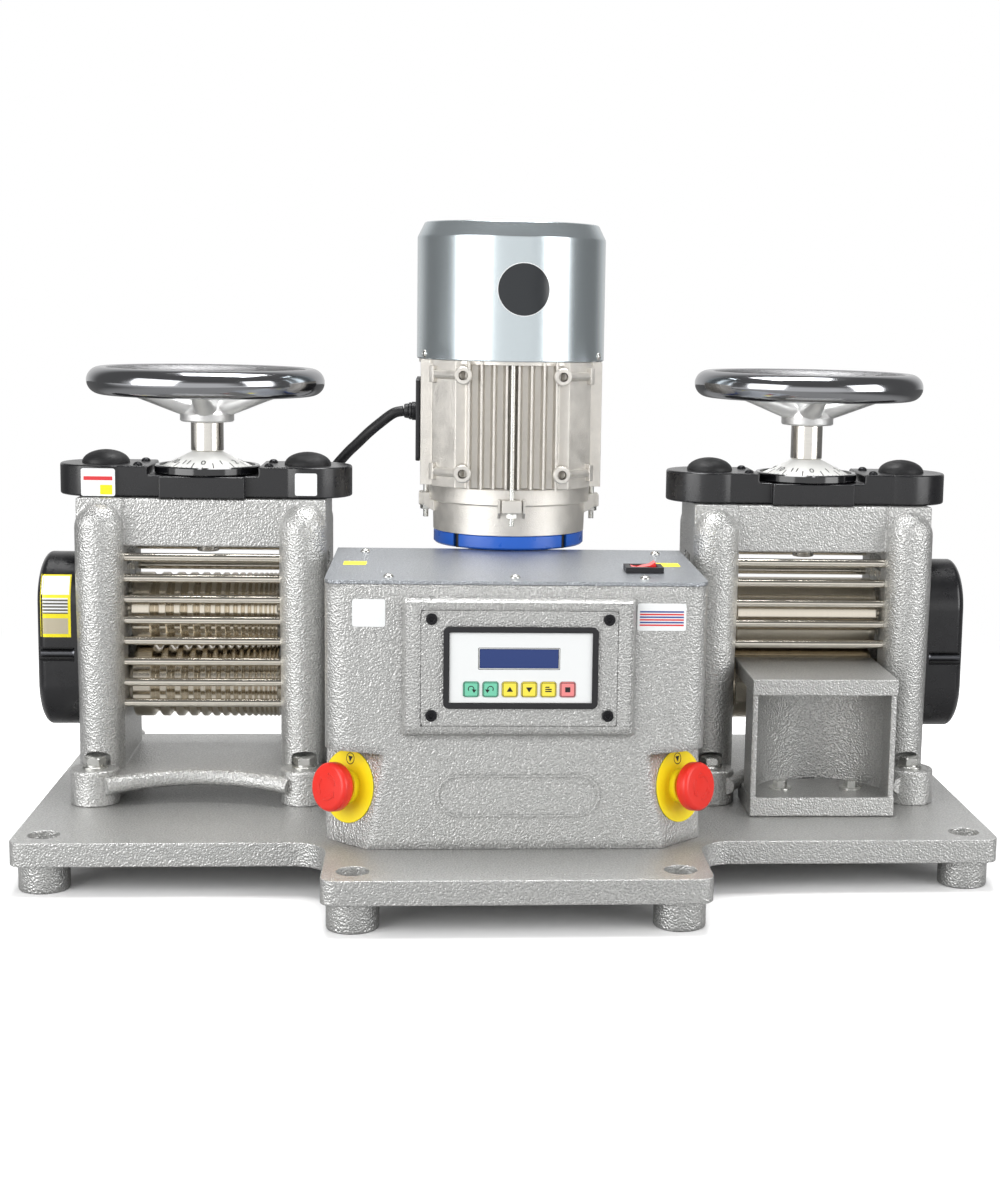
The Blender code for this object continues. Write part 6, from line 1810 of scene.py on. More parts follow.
@dataclass
class Motor(Assembly):
    """The upright motor: flange, end shield, finned body, cowl, badge and gland box."""

    flange_base: float = 0.222
    flange_height: float = 0.0125
    flange: float = 0.070
    flange_bore: float = 0.030
    flange_edge: float = 0.0016
    shield_bore: float = 0.020
    shield_top: float = 0.278
    shield_step: float = 0.262
    shield_lower: float = 0.071
    shield_upper: float = 0.075
    lug_span: Point = (0.2567, 0.2685)
    lug_half: float = 0.009
    lug_reach: float = 0.084
    stud_place: float = 0.0775
    stator_top: float = 0.392
    tip: float = 0.0825
    root: float = 0.071
    fin_span: float = 0.0448
    fins: int = 8
    pad_edge: float = 0.0507
    pad_level: float = 0.0716
    boss_x: float = 0.0445
    boss_heights: Point = (0.292, 0.3795)
    boss: float = 0.008
    boss_hole: float = 0.0042
    arm_end: Point = (0.0700, 0.0530)
    slot_width: float = 0.0065
    slot_depth: float = 0.007
    web_reach: float = 0.0795
    cowl: float = 0.0866
    cowl_wall: float = 0.0015
    cowl_top: float = 0.516
    cowl_shoulder: float = 0.502
    cowl_top_radius: float = 0.080
    cowl_screw_angle: float = radians(24)
    slots: int = 12
    slot_span: Point = (0.030, 0.068)
    badge: float = 0.023
    badge_z: float = 0.456
    badge_x: float = 0.0085
    terminal: float = 0.087
    terminal_span: Point = (0.299, 0.374)
    terminal_half: float = 0.034
    gland_z: float = 0.343

    def zero(self) -> Vector:
        """The foot of the motor's axis."""
        return DATUM.motor()

    def build(self) -> None:
        """Build each piece of the motor."""
        for item, name, finish, node in (
                (self.flange_ring(), "motor_flange_ring", BLUE_ENAMEL, "motor_flange"),
                (self.flange_screws(), "motor_flange_screws", BLACK_SCREW, ""),
                (self.shield(), "motor_end_shield_cast", CAST_ALUMINIUM, "motor_end_shield"),
                (self.studs(), "motor_tie_studs", ZINC, "motor_end_shield"),
                (self.stator(), "motor_stator_cast", CAST_ALUMINIUM, "motor_stator"),
                (self.cowl_shell(), "fan_cowl_spun", COWL_PAINT, "fan_cowl"),
                (self.cowl_screws(), "fan_cowl_screws", ZINC, ""),
                (self.badge_disc(self.badge, 0.45 * MM), "motor_badge", BADGE, ""),
                (self.badge_disc(self.badge + 0.7 * MM, 0.25 * MM), "motor_badge_rim",
                 WHITE_STICKER, ""),
                (self.terminal_cover(), "terminal_cover_moulded", BLACK_ABS,
                 "terminal_cover")):
            self.add(item, name, finish, node)

    def flange_ring(self) -> Item:
        """The blue ring, notched for its four screws.

        Returns:
            The ring.
        """
        low, high = self.flange_base, self.flange_base + self.flange_height
        radius, edge, half = self.flange, self.flange_edge, self.slot_width / 2
        ring = lathe("ring", [
            (self.flange_bore, high), (radius - edge / 2, high), (radius, high - edge / 2),
            (radius, low + edge), (radius - edge, low), (self.flange_bore, low)], 120,
            closed=True)
        slot = block("slot", (radius - self.slot_depth, -half, low - MM),
                     (radius + 5 * MM, half, high + MM))
        return boolean(ring, [on_ring("slots", slot, BLUE_ENAMEL, 4, 0.0, 0.0, pi / 4)])

    def flange_screws(self) -> Item:
        """A cap screw in each of the flange's slots.

        Returns:
            The four screws.
        """
        half = self.slot_width / 2
        screw = socket_screw(half - 0.4 * MM, self.flange_height + MM, IDENTITY)
        return on_ring("flange_screws", screw, BLACK_SCREW, 4,
                       self.flange - self.slot_depth + half, self.flange_base, pi / 4)

    def shield(self) -> Item:
        """The drive-end shield: a stepped skirt with four webbed lugs.

        Returns:
            The shield.
        """
        low = self.flange_base + self.flange_height + FLUSH
        upper, step, top, edge = self.shield_upper, self.shield_step, self.shield_top, 1.2 * MM
        parts = [lathe("skirt", [
            (self.shield_bore, top), (upper - edge, top), (upper, top - edge),
            (upper, step + edge), (upper - edge, step), (self.shield_lower, step),
            (self.shield_lower - 0.6 * MM, low), (self.shield_bore, low)], 120, closed=True)]
        root = self.shield_lower - 2 * MM
        lug_low, lug_high = self.lug_span
        web = [(root, lug_high), (self.web_reach, lug_high), (self.web_reach, lug_low),
               (root, lug_low - 6 * MM)]
        for i in range(4):
            around = turn(QUARTER * i, "Z")
            lug = block("lug", (root, -self.lug_half, lug_low),
                        (self.lug_reach, self.lug_half, lug_high))
            parts.append(moved(softened(lug, MM), around))
            for sign in SIGNS:
                beside = at(0, sign * (self.lug_half + 2.3 * MM), 0) @ UPRIGHT
                parts.append(slab("web", web, -1.1 * MM, 1.1 * MM, around @ beside))
        return joined("shield", parts)

    def studs(self) -> Item:
        """Tie studs along the body, each with a nut under its lug.

        Returns:
            The four studs.
        """
        x, low = self.stud_place, self.lug_span[0]
        parts = []
        for i in range(4):
            around = turn(QUARTER * i, "Z")
            parts += [moved(part, around) for part in (
                bar("stud", (x, 0, low - 12 * MM), (x, 0, self.stator_top), 2.4 * MM, 24),
                hexagon_head(5.2 * MM, 4.6 * MM, at(x, 0, low - 4.6 * MM)),
                bar("washer", (x, 0, low - 0.8 * MM), (x, 0, low + HAIR), 6 * MM, 28))]
        return joined("studs", parts)

    def stator_outline(self) -> Outline:
        """Fins on four faces with rounded roots, and a stepped pad at each corner.

        Returns:
            The body's section.
        """
        pitch = 2 * self.fin_span / self.fins
        tip, floor = MM, 1.7 * MM
        pad = [(-self.pad_edge - MM, self.pad_level - 0.6 * MM),
               (-self.pad_edge, self.pad_level),
               (-self.pad_edge + MM, self.pad_level - 0.2 * MM)]
        half = [(floor + 1.4 * MM, self.root), (floor, self.root + 1.2 * MM),
                (tip, self.tip - 0.4 * MM), (tip / 2, self.tip)]
        face = list(pad)
        for i in range(self.fins):
            x = -self.fin_span + pitch * (i + 0.5)
            face += [(x - u, v) for u, v in half] + [(x + u, v) for u, v in reversed(half)]
        face += [(-x, y) for x, y in reversed(pad)]
        outline: Outline = []
        for i in range(4):
            around = Matrix.Rotation(-QUARTER * i, 2)
            outline += [tuple(around @ Vector(point)) for point in face]
        return outline

    def stator(self) -> Item:
        """The finned body with its four drilled bosses and their arms.

        Returns:
            The body.
        """
        high, band = self.stator_top, self.cowl - 2 * MM
        parts = [slab("fins", self.stator_outline(), self.shield_top + FLUSH, high),
                 lathe("band", [(0, high + 6 * MM), (band, high + 6 * MM),
                                (band, high - 3 * MM), (0, high - 3 * MM)], 96)]
        for sign in SIGNS:
            for z in self.boss_heights:
                parts += self.boss_and_arm(sign, z)
        return joined("stator", parts)

    def boss_and_arm(self, sign: int, z: float) -> list[Item]:
        """A drilled boss at the fins' edge and the arm that ties it to the corner.

        Args:
            sign: The side it is on.
            z: Its height.

        Returns:
            The boss, the arm and the arm's end.
        """
        x, radius, hole = sign * self.boss_x, self.boss, self.boss_hole
        boss = lathe("boss", [
            (hole, 0), (radius - MM, 0), (radius, -MM), (radius, -14 * MM), (0, -14 * MM),
            (0, -7 * MM), (hole, -7 * MM)],
            44, at(x, -self.tip - 3.5 * MM, z) @ turn(QUARTER, "X"))
        end = (sign * self.arm_end[0], -self.arm_end[1], z)
        arm = bar("arm", (x, -self.tip + 2.1 * MM, z), end, 3.8 * MM, 24)
        tab = softened(block("tab", (-2.7 * MM, -4.2 * MM, -7.5 * MM),
                             (2.7 * MM, 4.2 * MM, 7.5 * MM)), 0.8 * MM)
        return [boss, arm, moved(tab, at(*end) @ turn(sign * pi / 4, "Z"))]

    def cowl_shell(self) -> Item:
        """The spun cowl with its bevelled shoulder and the slots in its top.

        Returns:
            The cowl.
        """
        low = self.stator_top + FLUSH
        radius, wall, top = self.cowl, self.cowl_wall, self.cowl_top
        rim, shoulder, soft = self.cowl_top_radius, self.cowl_shoulder, 1.2 * MM
        shell = lathe("cowl", [
            (0, top), (rim - soft, top), (rim - soft * 0.3, top - soft * 0.3),
            (rim + soft * 0.35, top - soft), (radius - soft * 0.35, shoulder + soft),
            (radius - soft * 0.08, shoulder + soft * 0.3), (radius, shoulder - soft * 0.8),
            (radius, low + 1.2 * MM), (radius - 0.5 * MM, low), (radius - wall, low),
            (radius - wall, shoulder - wall), (rim - wall, top - wall), (0, top - wall)],
            144)
        slot = sheet_metal("slot", [rectangle(*self.slot_span, -2.5 * MM, 2.5 * MM,
                                              2.4 * MM, 5)], top - wall - MM, top + MM)
        return boolean(shell, [on_ring("slots", slot, COWL_PAINT, self.slots, 0.0, 0.0, 0.0)])

    def cowl_screws(self) -> Item:
        """Four small screws that hold the cowl to the body."""
        place = at(self.cowl - 0.2 * MM, 0, self.stator_top + 5 * MM) @ turn(QUARTER, "Y")
        return joined("screws", [
            button_screw(3.6 * MM, 2.2 * MM,
                         turn(middle + sign * self.cowl_screw_angle, "Z") @ place)
            for middle in (0, pi) for sign in SIGNS])

    def badge_disc(self, radius: float, proud: float) -> Item:
        """A plain round badge bent to the cowl.

        Args:
            radius: Its radius.
            proud: How far it stands out of the cowl.

        Returns:
            The badge.
        """
        rings = [(share, proud) for share in (0.3, 0.6, 0.8, 0.94, 1.0)] + [(1.0, 0.0)]
        loops = [[self.on_cowl(0, 0, proud)]] + [
            [self.on_cowl(x * share, z * share, depth) for x, z in circle((0, 0), radius, 72)]
            for share, depth in rings]
        return skinned("badge", loops, ends=False)

    def on_cowl(self, x: float, z: float, depth: float) -> Point:
        """The place on the cowl of a point on the flat badge.

        Args:
            x: Its distance from the badge's middle, round the cowl.
            z: Its height from the badge's middle.
            depth: How far it stands out of the cowl.

        Returns:
            The point.
        """
        angle = (self.badge_x + x) / self.cowl
        reach = self.cowl + depth
        return (reach * sin(angle), -reach * cos(angle), self.badge_z + z)

    def terminal_cover(self) -> Item:
        """The gland plate on the motor's left, with its ribbed gland.

        Returns:
            The plate and the gland.
        """
        half = self.terminal_half
        plate = slab("plate", rectangle(-half, half, *self.terminal_span, 4 * MM),
                     -self.terminal, -self.tip - FLUSH, ACROSS)
        place = at(-self.terminal, 0, self.gland_z) @ turn(-QUARTER, "Y")
        return joined("cover", [softened(plate, 0.9 * MM), gland(place)])


def gland(place: Matrix) -> Item:
    """A cable gland along +Z: a flange, a ribbed nut and a tapered sleeve."""
    return lathe("gland", [(radius * MM, height * MM) for radius, height in (
        (4.9, 11.2), (6.1, 11.0), (6.5, 10.2), (6.9, 7.6), (6.3, 7.2), (7.6, 6.8), (8.1, 4.6),
        (7.2, 4.2), (8.5, 3.8), (8.5, 0.2), (8.0, -1), (4.9, -1))], 40, place, closed=True)


@dataclass
class ControlHousing(Assembly):
    """What the housing carries: the raised oval, the pad's sloping border, screws."""

    front: float = -0.230
    lean: float = 0.004
    top: float = 0.218
    lid_top: float = 0.2213
    half_width: float = 0.156
    oval: Point = (-0.065, 0.069, 0.027, 0.0625)
    oval_width: float = 0.0023
    oval_proud: float = 0.0017
    pad: Point = (-0.090, 0.093, 0.098, 0.205)
    pad_front: float = -0.236
    pad_bevel: float = 0.0035
    lid_screws: tuple[Point, ...] = ((-0.105, -0.205), (-0.002, -0.205), (0.105, -0.205),
                                     (-0.130, -0.045), (0.130, -0.045))
    side_screws: Point = (0.112, 0.196)
    side_screw_y: float = -0.150

    def front_at(self, z: float) -> float:
        """The leaning front face's y at a height."""
        return self.front + self.lean * z / self.top

    def build(self) -> None:
        """Build the raised oval, the pad's border and the screws."""
        self.add(self.raised_oval(), "housing_raised_oval", HAMMER_PAINT)
        self.add(self.pad_border(), "housing_pad_border", HAMMER_PAINT)
        self.add(self.screws(), "housing_screws", ZINC)

    def pad_border(self) -> Item:
        """The sloping sides of the raised pad, run out onto the front face.

        Returns:
            The border.
        """
        left, right, low, high = self.pad
        edge = rectangle(left, right, low, high)
        out = self.pad_bevel
        foot = rectangle(left - out, right + out, low - out, high + out)
        loops = [[(x, self.pad_front, z) for x, z in edge],
                 [(x, self.front_at(z) + 0.5 * MM, z) for x, z in foot],
                 [(x, self.front_at(z) + 2 * MM, z) for x, z in edge]]
        border = skinned("border", loops, ends=False, closed=True)
        return softened(border, 1.2 * MM, 3, radians(20))

    def raised_oval(self) -> Item:
        """A plain raised line round an empty oval field.

        Returns:
            The line.
        """
        _, _, low, high = self.oval
        radius, width = (high - low) / 2 - HAIR, self.oval_width
        depth = -self.front_at((low + high) / 2)
        line = sheet_metal("oval", frame_of(self.oval, 0, width, (radius, radius - width), 16),
                           depth - MM, depth + self.oval_proud, UPRIGHT)
        return softened(line, 0.7 * MM)

    def screws(self) -> Item:
        """Domed screws on the lid and down both side walls.

        Returns:
            The screws.
        """
        parts = [button_screw(4.4 * MM, 3 * MM, at(x, y, self.lid_top))
                 for x, y in self.lid_screws]
        for sign in SIGNS:
            parts += [button_screw(4 * MM, 2.6 * MM, at(
                sign * self.half_width, self.side_screw_y, z) @ turn(sign * QUARTER, "Y"))
                      for z in self.side_screws]
        return joined("screws", parts)


@dataclass
class ControlPanel(Assembly):
    """The keypad unit: bezel, the keys' signs, the display's frame, plate screws."""

    box: Point = (-0.060, 0.065, 0.119, 0.186)
    pad_front: float = ControlHousing.pad_front
    proud: float = 0.003
    rim: float = 0.0045
    keys: int = 6
    key_size: float = 0.0123
    key_pitch: float = 0.0156
    key_first: float = -0.0375
    key_z: float = 0.1349
    key_face: float = -0.2381
    sign_size: float = 0.0026
    overlay_face: float = -0.2374
    display: Point = (-0.031, 0.033, 0.152, 0.168)
    screw_places: Point = (-0.0695, 0.0735, 0.113, 0.192)
    line: float = 0.00045
    ink: float = 0.00005

    def build(self) -> None:
        """Build the bezel, keys, signs and screws."""
        self.add(self.bezel(), "keypad_bezel", BLACK_ABS, "keypad_frame")
        self.add(self.plate_screws(), "panel_screws", BLACK_SCREW)
        self.add(self.printed_lines(), "keypad_printing", INK)
        for i in range(self.keys):
            self.add(self.key(i), f"key_{i + 1}_sign", INK, body=f"key_{i + 1}_body")

    def bezel(self) -> Item:
        """The black frame, rounded at its corners and edges.

        Returns:
            The frame and the floor behind it.
        """
        left, right, low, high = self.box
        rim, inset, front = self.rim, self.rim - MM, self.pad_front - self.proud
        outlines = [rectangle(left, right, low, high, 5 * MM, 8),
                    rectangle(left + rim, right - rim, low + rim, high - rim, 1.5 * MM, 4)]
        ring = sheet_metal("bezel", outlines, -front, FLUSH - self.pad_front, UPRIGHT)
        floor = block("floor", (left + inset, front + rim, low + inset),
                      (right - inset, front + rim + 2 * MM, high - inset))
        return joined("bezel", [softened(ring, 0.9 * MM, 3), floor])

    def plate_screws(self) -> Item:
        """Four black cap screws at the plate's corners.

        Returns:
            The screws.
        """
        left, right, low, high = self.screw_places
        return joined("screws", [
            socket_screw(4.7 * MM, 2.6 * MM,
                         at(x, self.pad_front - HAIR, z) @ turn(QUARTER, "X"))
            for x in (left, right) for z in (low, high)])

    def printed_lines(self) -> Item:
        """The thin frame printed round the display."""
        outlines = frame_of(self.display, MM, self.line, (0.8 * MM, 0.5 * MM), 3)
        return sheet_metal("frame", outlines, -self.overlay_face,
                           -self.overlay_face + self.ink, UPRIGHT)

    def key(self, index: int) -> Item:
        """The printed border and sign of one key, which moves with it.

        Args:
            index: The key, from the left.

        Returns:
            The print.
        """
        x, z = self.key_first + index * self.key_pitch, self.key_z
        half, face = self.key_size / 2 - 0.5 * MM, -self.key_face
        border = frame_of((x - half, x + half, z - half, z + half), 0, self.line,
                          (MM, 0.7 * MM), 3)
        parts = [sheet_metal("border", border, face, face + self.ink, UPRIGHT)]
        parts += [slab("sign", [(x + u, z + v) for u, v in outline], face, face + self.ink,
                       UPRIGHT) for outline in self.sign(index)]
        return joined("sign", parts)

    def sign(self, index: int) -> list[Outline]:
        """Flat outlines of a key's sign, about the key's middle.

        Args:
            index: The key, from the left.

        Returns:
            Two bent arrows, an arrow up, one down, three bars or a square.
        """
        size = self.sign_size
        if index < 2:
            return self.bent_arrow(2 * index - 1)
        if index < 4:
            way = size if index == 2 else -size
            return [[(-size, -0.7 * way), (size, -0.7 * way), (0, 0.9 * way)]]
        if index == 4:
            return [rectangle(-size, size * right, size * low, size * (low + 0.4), 0.2 * MM, 2)
                    for right, low in ((1, -0.75), (1, -0.1), (0.3, 0.55))]
        half = 0.8 * size
        return [rectangle(-half, half, -half, half, 0.3 * MM, 2)]

    def bent_arrow(self, way: int) -> list[Outline]:
        """An arrow bent round the key's middle.

        Args:
            way: -1 or 1, one way round or the other.

        Returns:
            Its band and its tip.
        """
        size, centre = self.sign_size, (0, 0.4 * MM)
        start, end, steps = radians(-40), radians(200), 18
        band = arc(centre, size, start, end, steps) + arc(centre, size * 0.72, end, start, steps)
        ring = [(way * u, v) for u, v in band]
        x, y = ring[steps]
        return [ring, [(x - size * 0.75, y + size * 0.25), (x + size * 0.75, y + size * 0.1),
                       (x - size * 0.05, y - size * 0.9)]]


@dataclass
class EmergencyStop(SidedAssembly):
    """One stop: its legend disc, collar, and the mushroom that presses."""

    facet: Point = (0.137, -0.205, 0.047)
    facet_tilt: float = radians(8)
    legend: float = 0.0302
    legend_thick: float = 0.0012
    collar: float = 0.0145
    collar_height: float = 0.0055
    stem: float = 0.0075
    stem_end: float = -0.008
    knob: float = 0.0202
    back: float = 0.0120
    edge: float = 0.0200
    front: float = 0.0245
    arrows: int = 3
    arrow_sweep: float = 1.15

    def zero(self) -> Vector:
        """The machine's own zero."""
        return DATUM.machine()

    def place(self) -> Matrix:
        """The corner facet's frame, +Z straight out of it.

        Returns:
            The frame.
        """
        tilt, sign = self.facet_tilt, self.side.value
        normal = Vector((sign * sqrt(0.5) * cos(tilt), -sqrt(0.5) * cos(tilt), sin(tilt)))
        across = Vector((0, 0, 1)).cross(normal).normalized()
        facing = Matrix((across, normal.cross(across), normal)).transposed().to_4x4()
        x, y, z = self.facet
        return at(sign * x, y, z) @ facing

    def build(self) -> None:
        """Build the legend, the collar, the printed sign and the knob."""
        place, thick, edge = self.place(), self.legend_thick, 0.3 * MM
        disc = lathe("legend", [
            (self.stem + MM, thick), (self.legend - edge, thick), (self.legend, thick - edge),
            (self.legend, FLUSH), (self.stem + MM, FLUSH)], 88, place, closed=True)
        high, bore, edge = thick + self.collar_height, self.stem + 0.4 * MM, 0.8 * MM
        collar = lathe("collar", [
            (bore, high), (self.collar - edge, high), (self.collar, high - edge),
            (self.collar, thick - HAIR), (bore, thick - HAIR)], 60, place, closed=True)
        self.add(disc, "stop_legend", YELLOW_PLATE, "stop_body")
        self.add(collar, "stop_collar", YELLOW_PLATE, "stop_body")
        self.add(moved(self.printed_sign(), place), "stop_sign", INK)
        self.add(moved(self.mushroom(), place), "stop_knob", RED_KNOB, "stop_button",
                 self.named("stop"))

    def printed_sign(self) -> Item:
        """A ring and a triangle at the top of the legend, without words.

        Returns:
            The print.
        """
        middle, size = self.legend - 7.2 * MM, 2.8 * MM
        low, high = self.legend_thick, self.legend_thick + 0.06 * MM
        rings = [circle((0, middle), radius, 40) for radius in (4.9 * MM, 4.2 * MM)]
        mark = [(-size, middle + size * 0.7), (0, middle - size), (size, middle + size * 0.7)]
        return joined("sign", [sheet_metal("ring", rings, low, high),
                               slab("mark", mark, low, high)])

    def mushroom(self) -> Item:
        """The red knob, rounded at its edge, with three turning arrows.

        Returns:
            The knob.
        """
        radius, round_edge = self.knob, 4 * MM
        crown = arc((radius - round_edge, self.edge - 0.2 * MM), round_edge,
                    QUARTER - 0.12, 0, 8)
        parts = [lathe("knob", [
            (0, self.front), (radius * 0.45, self.front - 0.1 * MM), *crown,
            (radius, self.back + 2.5 * MM), (radius - 0.8 * MM, self.back + MM),
            (radius - 2.5 * MM, self.back), (self.stem, self.back),
            (self.stem, self.stem_end), (0, self.stem_end)], 88)]
        low, high = self.front - 1.25 * MM, self.front + 0.1 * MM
        for i in range(self.arrows):
            start = 2 * pi * i / self.arrows + 0.3
            tip = start + self.arrow_sweep
            band = (arc((0, 0), 10.6 * MM, start, tip, 12)
                    + arc((0, 0), 8.4 * MM, tip, start, 12))
            head = [(reach * cos(angle), reach * sin(angle)) for reach, angle in (
                (6.9 * MM, tip), (12.1 * MM, tip), (9.5 * MM, tip + 0.42))]
            parts += [slab("arrow", outline, low, high) for outline in (band, head)]
        return joined("knob", parts)


@dataclass
class WorkTable(Assembly):
    """The cast work table in front of the plain rolls."""

    top: float = 0.123
    thickness: float = 0.014
    half: float = 0.0645
    front: float = -0.132
    rear: float = -0.022
    lower_axis: float = Stand.lower_axis
    roll_space: float = 0.0345
    rib: float = 0.0055
    rib_rear: float = -0.092
    flange: float = 0.0175
    flange_rear: float = -0.062
    web_end: float = 0.116
    web_middle: float = 0.0585
    web_thick: float = 0.008
    bolts: Point = (0.032, -0.097)

    def zero(self) -> Vector:
        """The right stand's zero."""
        return DATUM.stand(Side.RIGHT)

    def build(self) -> None:
        """Build the casting and its two bolts."""
        self.add(self.casting(), "work_table_casting", HAMMER_PAINT, "work_table")
        self.add(self.bolt_heads(), "work_table_bolts", ZINC, "work_table")

    def casting(self) -> Item:
        """The slab, hollowed for the lower roll, with its web, flange and ribs.

        Returns:
            The casting.
        """
        half, under = self.half, self.top - self.thickness
        table = block("slab", (-half, self.front, under), (half, self.rear, self.top))
        space = bar("roll", (-0.1, 0, self.lower_axis), (0.1, 0, self.lower_axis),
                    self.roll_space, 96)
        flange = block("flange", (-half, self.front, FLUSH),
                       (half, self.flange_rear, self.flange))
        parts = [softened(boolean(table, [space]), 1.4 * MM, 3), self.web(under),
                 softened(flange, 1.4 * MM, 3)]
        for sign in SIGNS:
            rib = block("rib", (sign * (half - self.rib), self.front + 2 * MM, 2 * FLUSH),
                        (sign * (half - FLUSH), self.rib_rear, under + 2 * MM))
            parts.append(softened(rib, 1.2 * MM))
        return joined("table", parts)

    def bolt_heads(self) -> Item:
        """Two hexagon bolts on washers.

        Returns:
            The bolts.
        """
        x, y = self.bolts
        heads = []
        for sign in SIGNS:
            place = at(sign * x, y, self.flange)
            heads += [washer(10 * MM, 1.5 * MM, 0.4 * MM, place),
                      hexagon_head(6.5 * MM, 6 * MM, place @ at(0, 0, 1.4 * MM))]
        return joined("bolts", heads)

    def web(self, under: float) -> Item:
        """The upright web, bowed to the rear under the slab.

        Args:
            under: The slab's underside.

        Returns:
            The web.
        """
        half = self.half - self.rib + 2 * MM
        front = bowed(half, self.web_middle, self.web_end, 32)
        back = [(x, y + self.web_thick) for x, y in reversed(front)]
        return slab("web", front + back, FLUSH, under + 2 * MM)


@dataclass
class MotorLead(Assembly):
    """The motor's lead, from its gland round behind the left stand."""

    diameter: float = 0.0096
    start: Point = (-0.0983, 0.038, 0.343)
    end: Point = (-0.1613, 0.106, 0.024)
    parts: int = 12
    route: tuple[Point, ...] = (
        (-0.108, 0.0385, 0.3405), (-0.120, 0.0405, 0.3315), (-0.131, 0.0440, 0.3220),
        (-0.141, 0.0490, 0.3120), (-0.152, 0.0550, 0.3010), (-0.165, 0.0620, 0.2850),
        (-0.178, 0.0700, 0.2620), (-0.191, 0.0780, 0.2320), (-0.202, 0.0840, 0.1980),
        (-0.209, 0.0890, 0.1600), (-0.213, 0.0935, 0.1200), (-0.214, 0.0975, 0.0850),
        (-0.211, 0.1015, 0.0580), (-0.204, 0.1045, 0.0390), (-0.193, 0.1060, 0.0275))

    def line(self) -> list[Vector]:
        """Places along the smooth curve through the route's points.

        Returns:
            As many places between two points of the route as it has parts.
        """
        end = Vector(self.end)
        points = [Vector(point) for point in (self.start, *self.route)]
        points += [end - Vector((self.diameter, 0, 0)), end]
        padded = [points[0] * 2 - points[1]] + points + [points[-1] * 2 - points[-2]]
        dense: list[Vector] = []
        for a, b, c, d in zip(padded, padded[1:], padded[2:], padded[3:]):
            for t in [i / self.parts for i in range(self.parts)]:
                dense.append((b * 2 + (c - a) * t + (a * 2 - b * 5 + c * 4 - d) * t ** 2
                              + (b * 3 - a - c * 3 + d) * t ** 3) / 2)
        return dense + [end]

    def build(self) -> None:
        line = self.line()
        lead = self.add(tube("lead", line, self.diameter / 2, 28), "motor_lead_jacket", JACKET,
                        "motor_lead")
        path = [point + self.zero() for point in line]
        length = sum((b - a).length for a, b in zip(path, path[1:]))
        LOG.info("lead length %.4f m", length)
        list(path[0])
        [list(point) for point in path]


@dataclass
class Sticker(Assembly):
    """A blank vinyl label on a flat face; layers of print are further labels on it."""

    name: str
    finish: Finish
    centre: Point
    width: float
    height: float
    layer: int = 0
    lean: float = 0.0
    film: float = 0.15 * MM

    def build(self) -> None:
        """Lay the label on its face, each layer a hair above the last."""
        x, y = self.width / 2, self.height / 2
        place = at(*self.centre) @ turn(self.lean + QUARTER, "X")
        label = slab("label", rectangle(-x, x, -y, y, min(x, y) * 0.16, 4), -self.film,
                     self.film * (1 + 0.4 * self.layer), place)
        self.add(label, self.name, self.finish)


def printed(name: str, centre: Point, size: Point, bars: Sequence[tuple[Finish, Point, Point]]
            ) -> list[Sticker]:
    """A white label with plain coloured bars on it.

    Args:
        name: The label's name.
        centre: Its middle in the machine's drawing.
        size: Its width and height.
        bars: Each bar's finish, its place from the middle, and its size.

    Returns:
        The label and its bars.
    """
    x, y, z = centre
    return [Sticker(name, WHITE_STICKER, centre, *size)] + [
        Sticker(f"{name}_bar_{i}", finish, (x + dx, y, z + dz), *bar_size, 1)
        for i, (finish, (dx, dz), bar_size) in enumerate(bars, 1)]


def all_stickers() -> list[Sticker]:
    """The blank labels and the ones with plain bars.

    Returns:
        Every flat label, in the order in which they are laid.
    """
    housing, lobe, lid = -0.2268, -0.0403, ControlHousing.lid_top
    stripes = [(RED_STICKER if i % 2 else BLUE_STICKER, (0.0, 0.0044 - 0.0022 * i),
                (0.036, 0.0013)) for i in range(6)]
    bars = [(RED_STICKER, (0.0, 0.0035), (0.0250, 0.0034)),
            (YELLOW_STICKER, (0.0070, -0.0065), (0.0105, 0.0085))]
    return [
        Sticker("sticker_blank", WHITE_STICKER, (-0.120, housing, 0.195), 0.0265, 0.0225),
        *printed("sticker_striped", (0.117, housing, 0.193), (0.040, 0.0225), stripes),
        *printed("sticker_left_lobe", (-0.3645, lobe, 0.2803), (0.0295, 0.0245), bars),
        Sticker("sticker_right_lobe", WHITE_STICKER, (-0.1830, lobe, 0.2803), 0.0195, 0.0200),
        Sticker("sticker_left_lid", YELLOW_STICKER, (-0.1358, -0.1218, lid), 0.0195, 0.0230,
                lean=-QUARTER),
        Sticker("sticker_right_lid", YELLOW_STICKER, (0.1338, -0.1172, lid), 0.0195, 0.0230,
                lean=-QUARTER)]


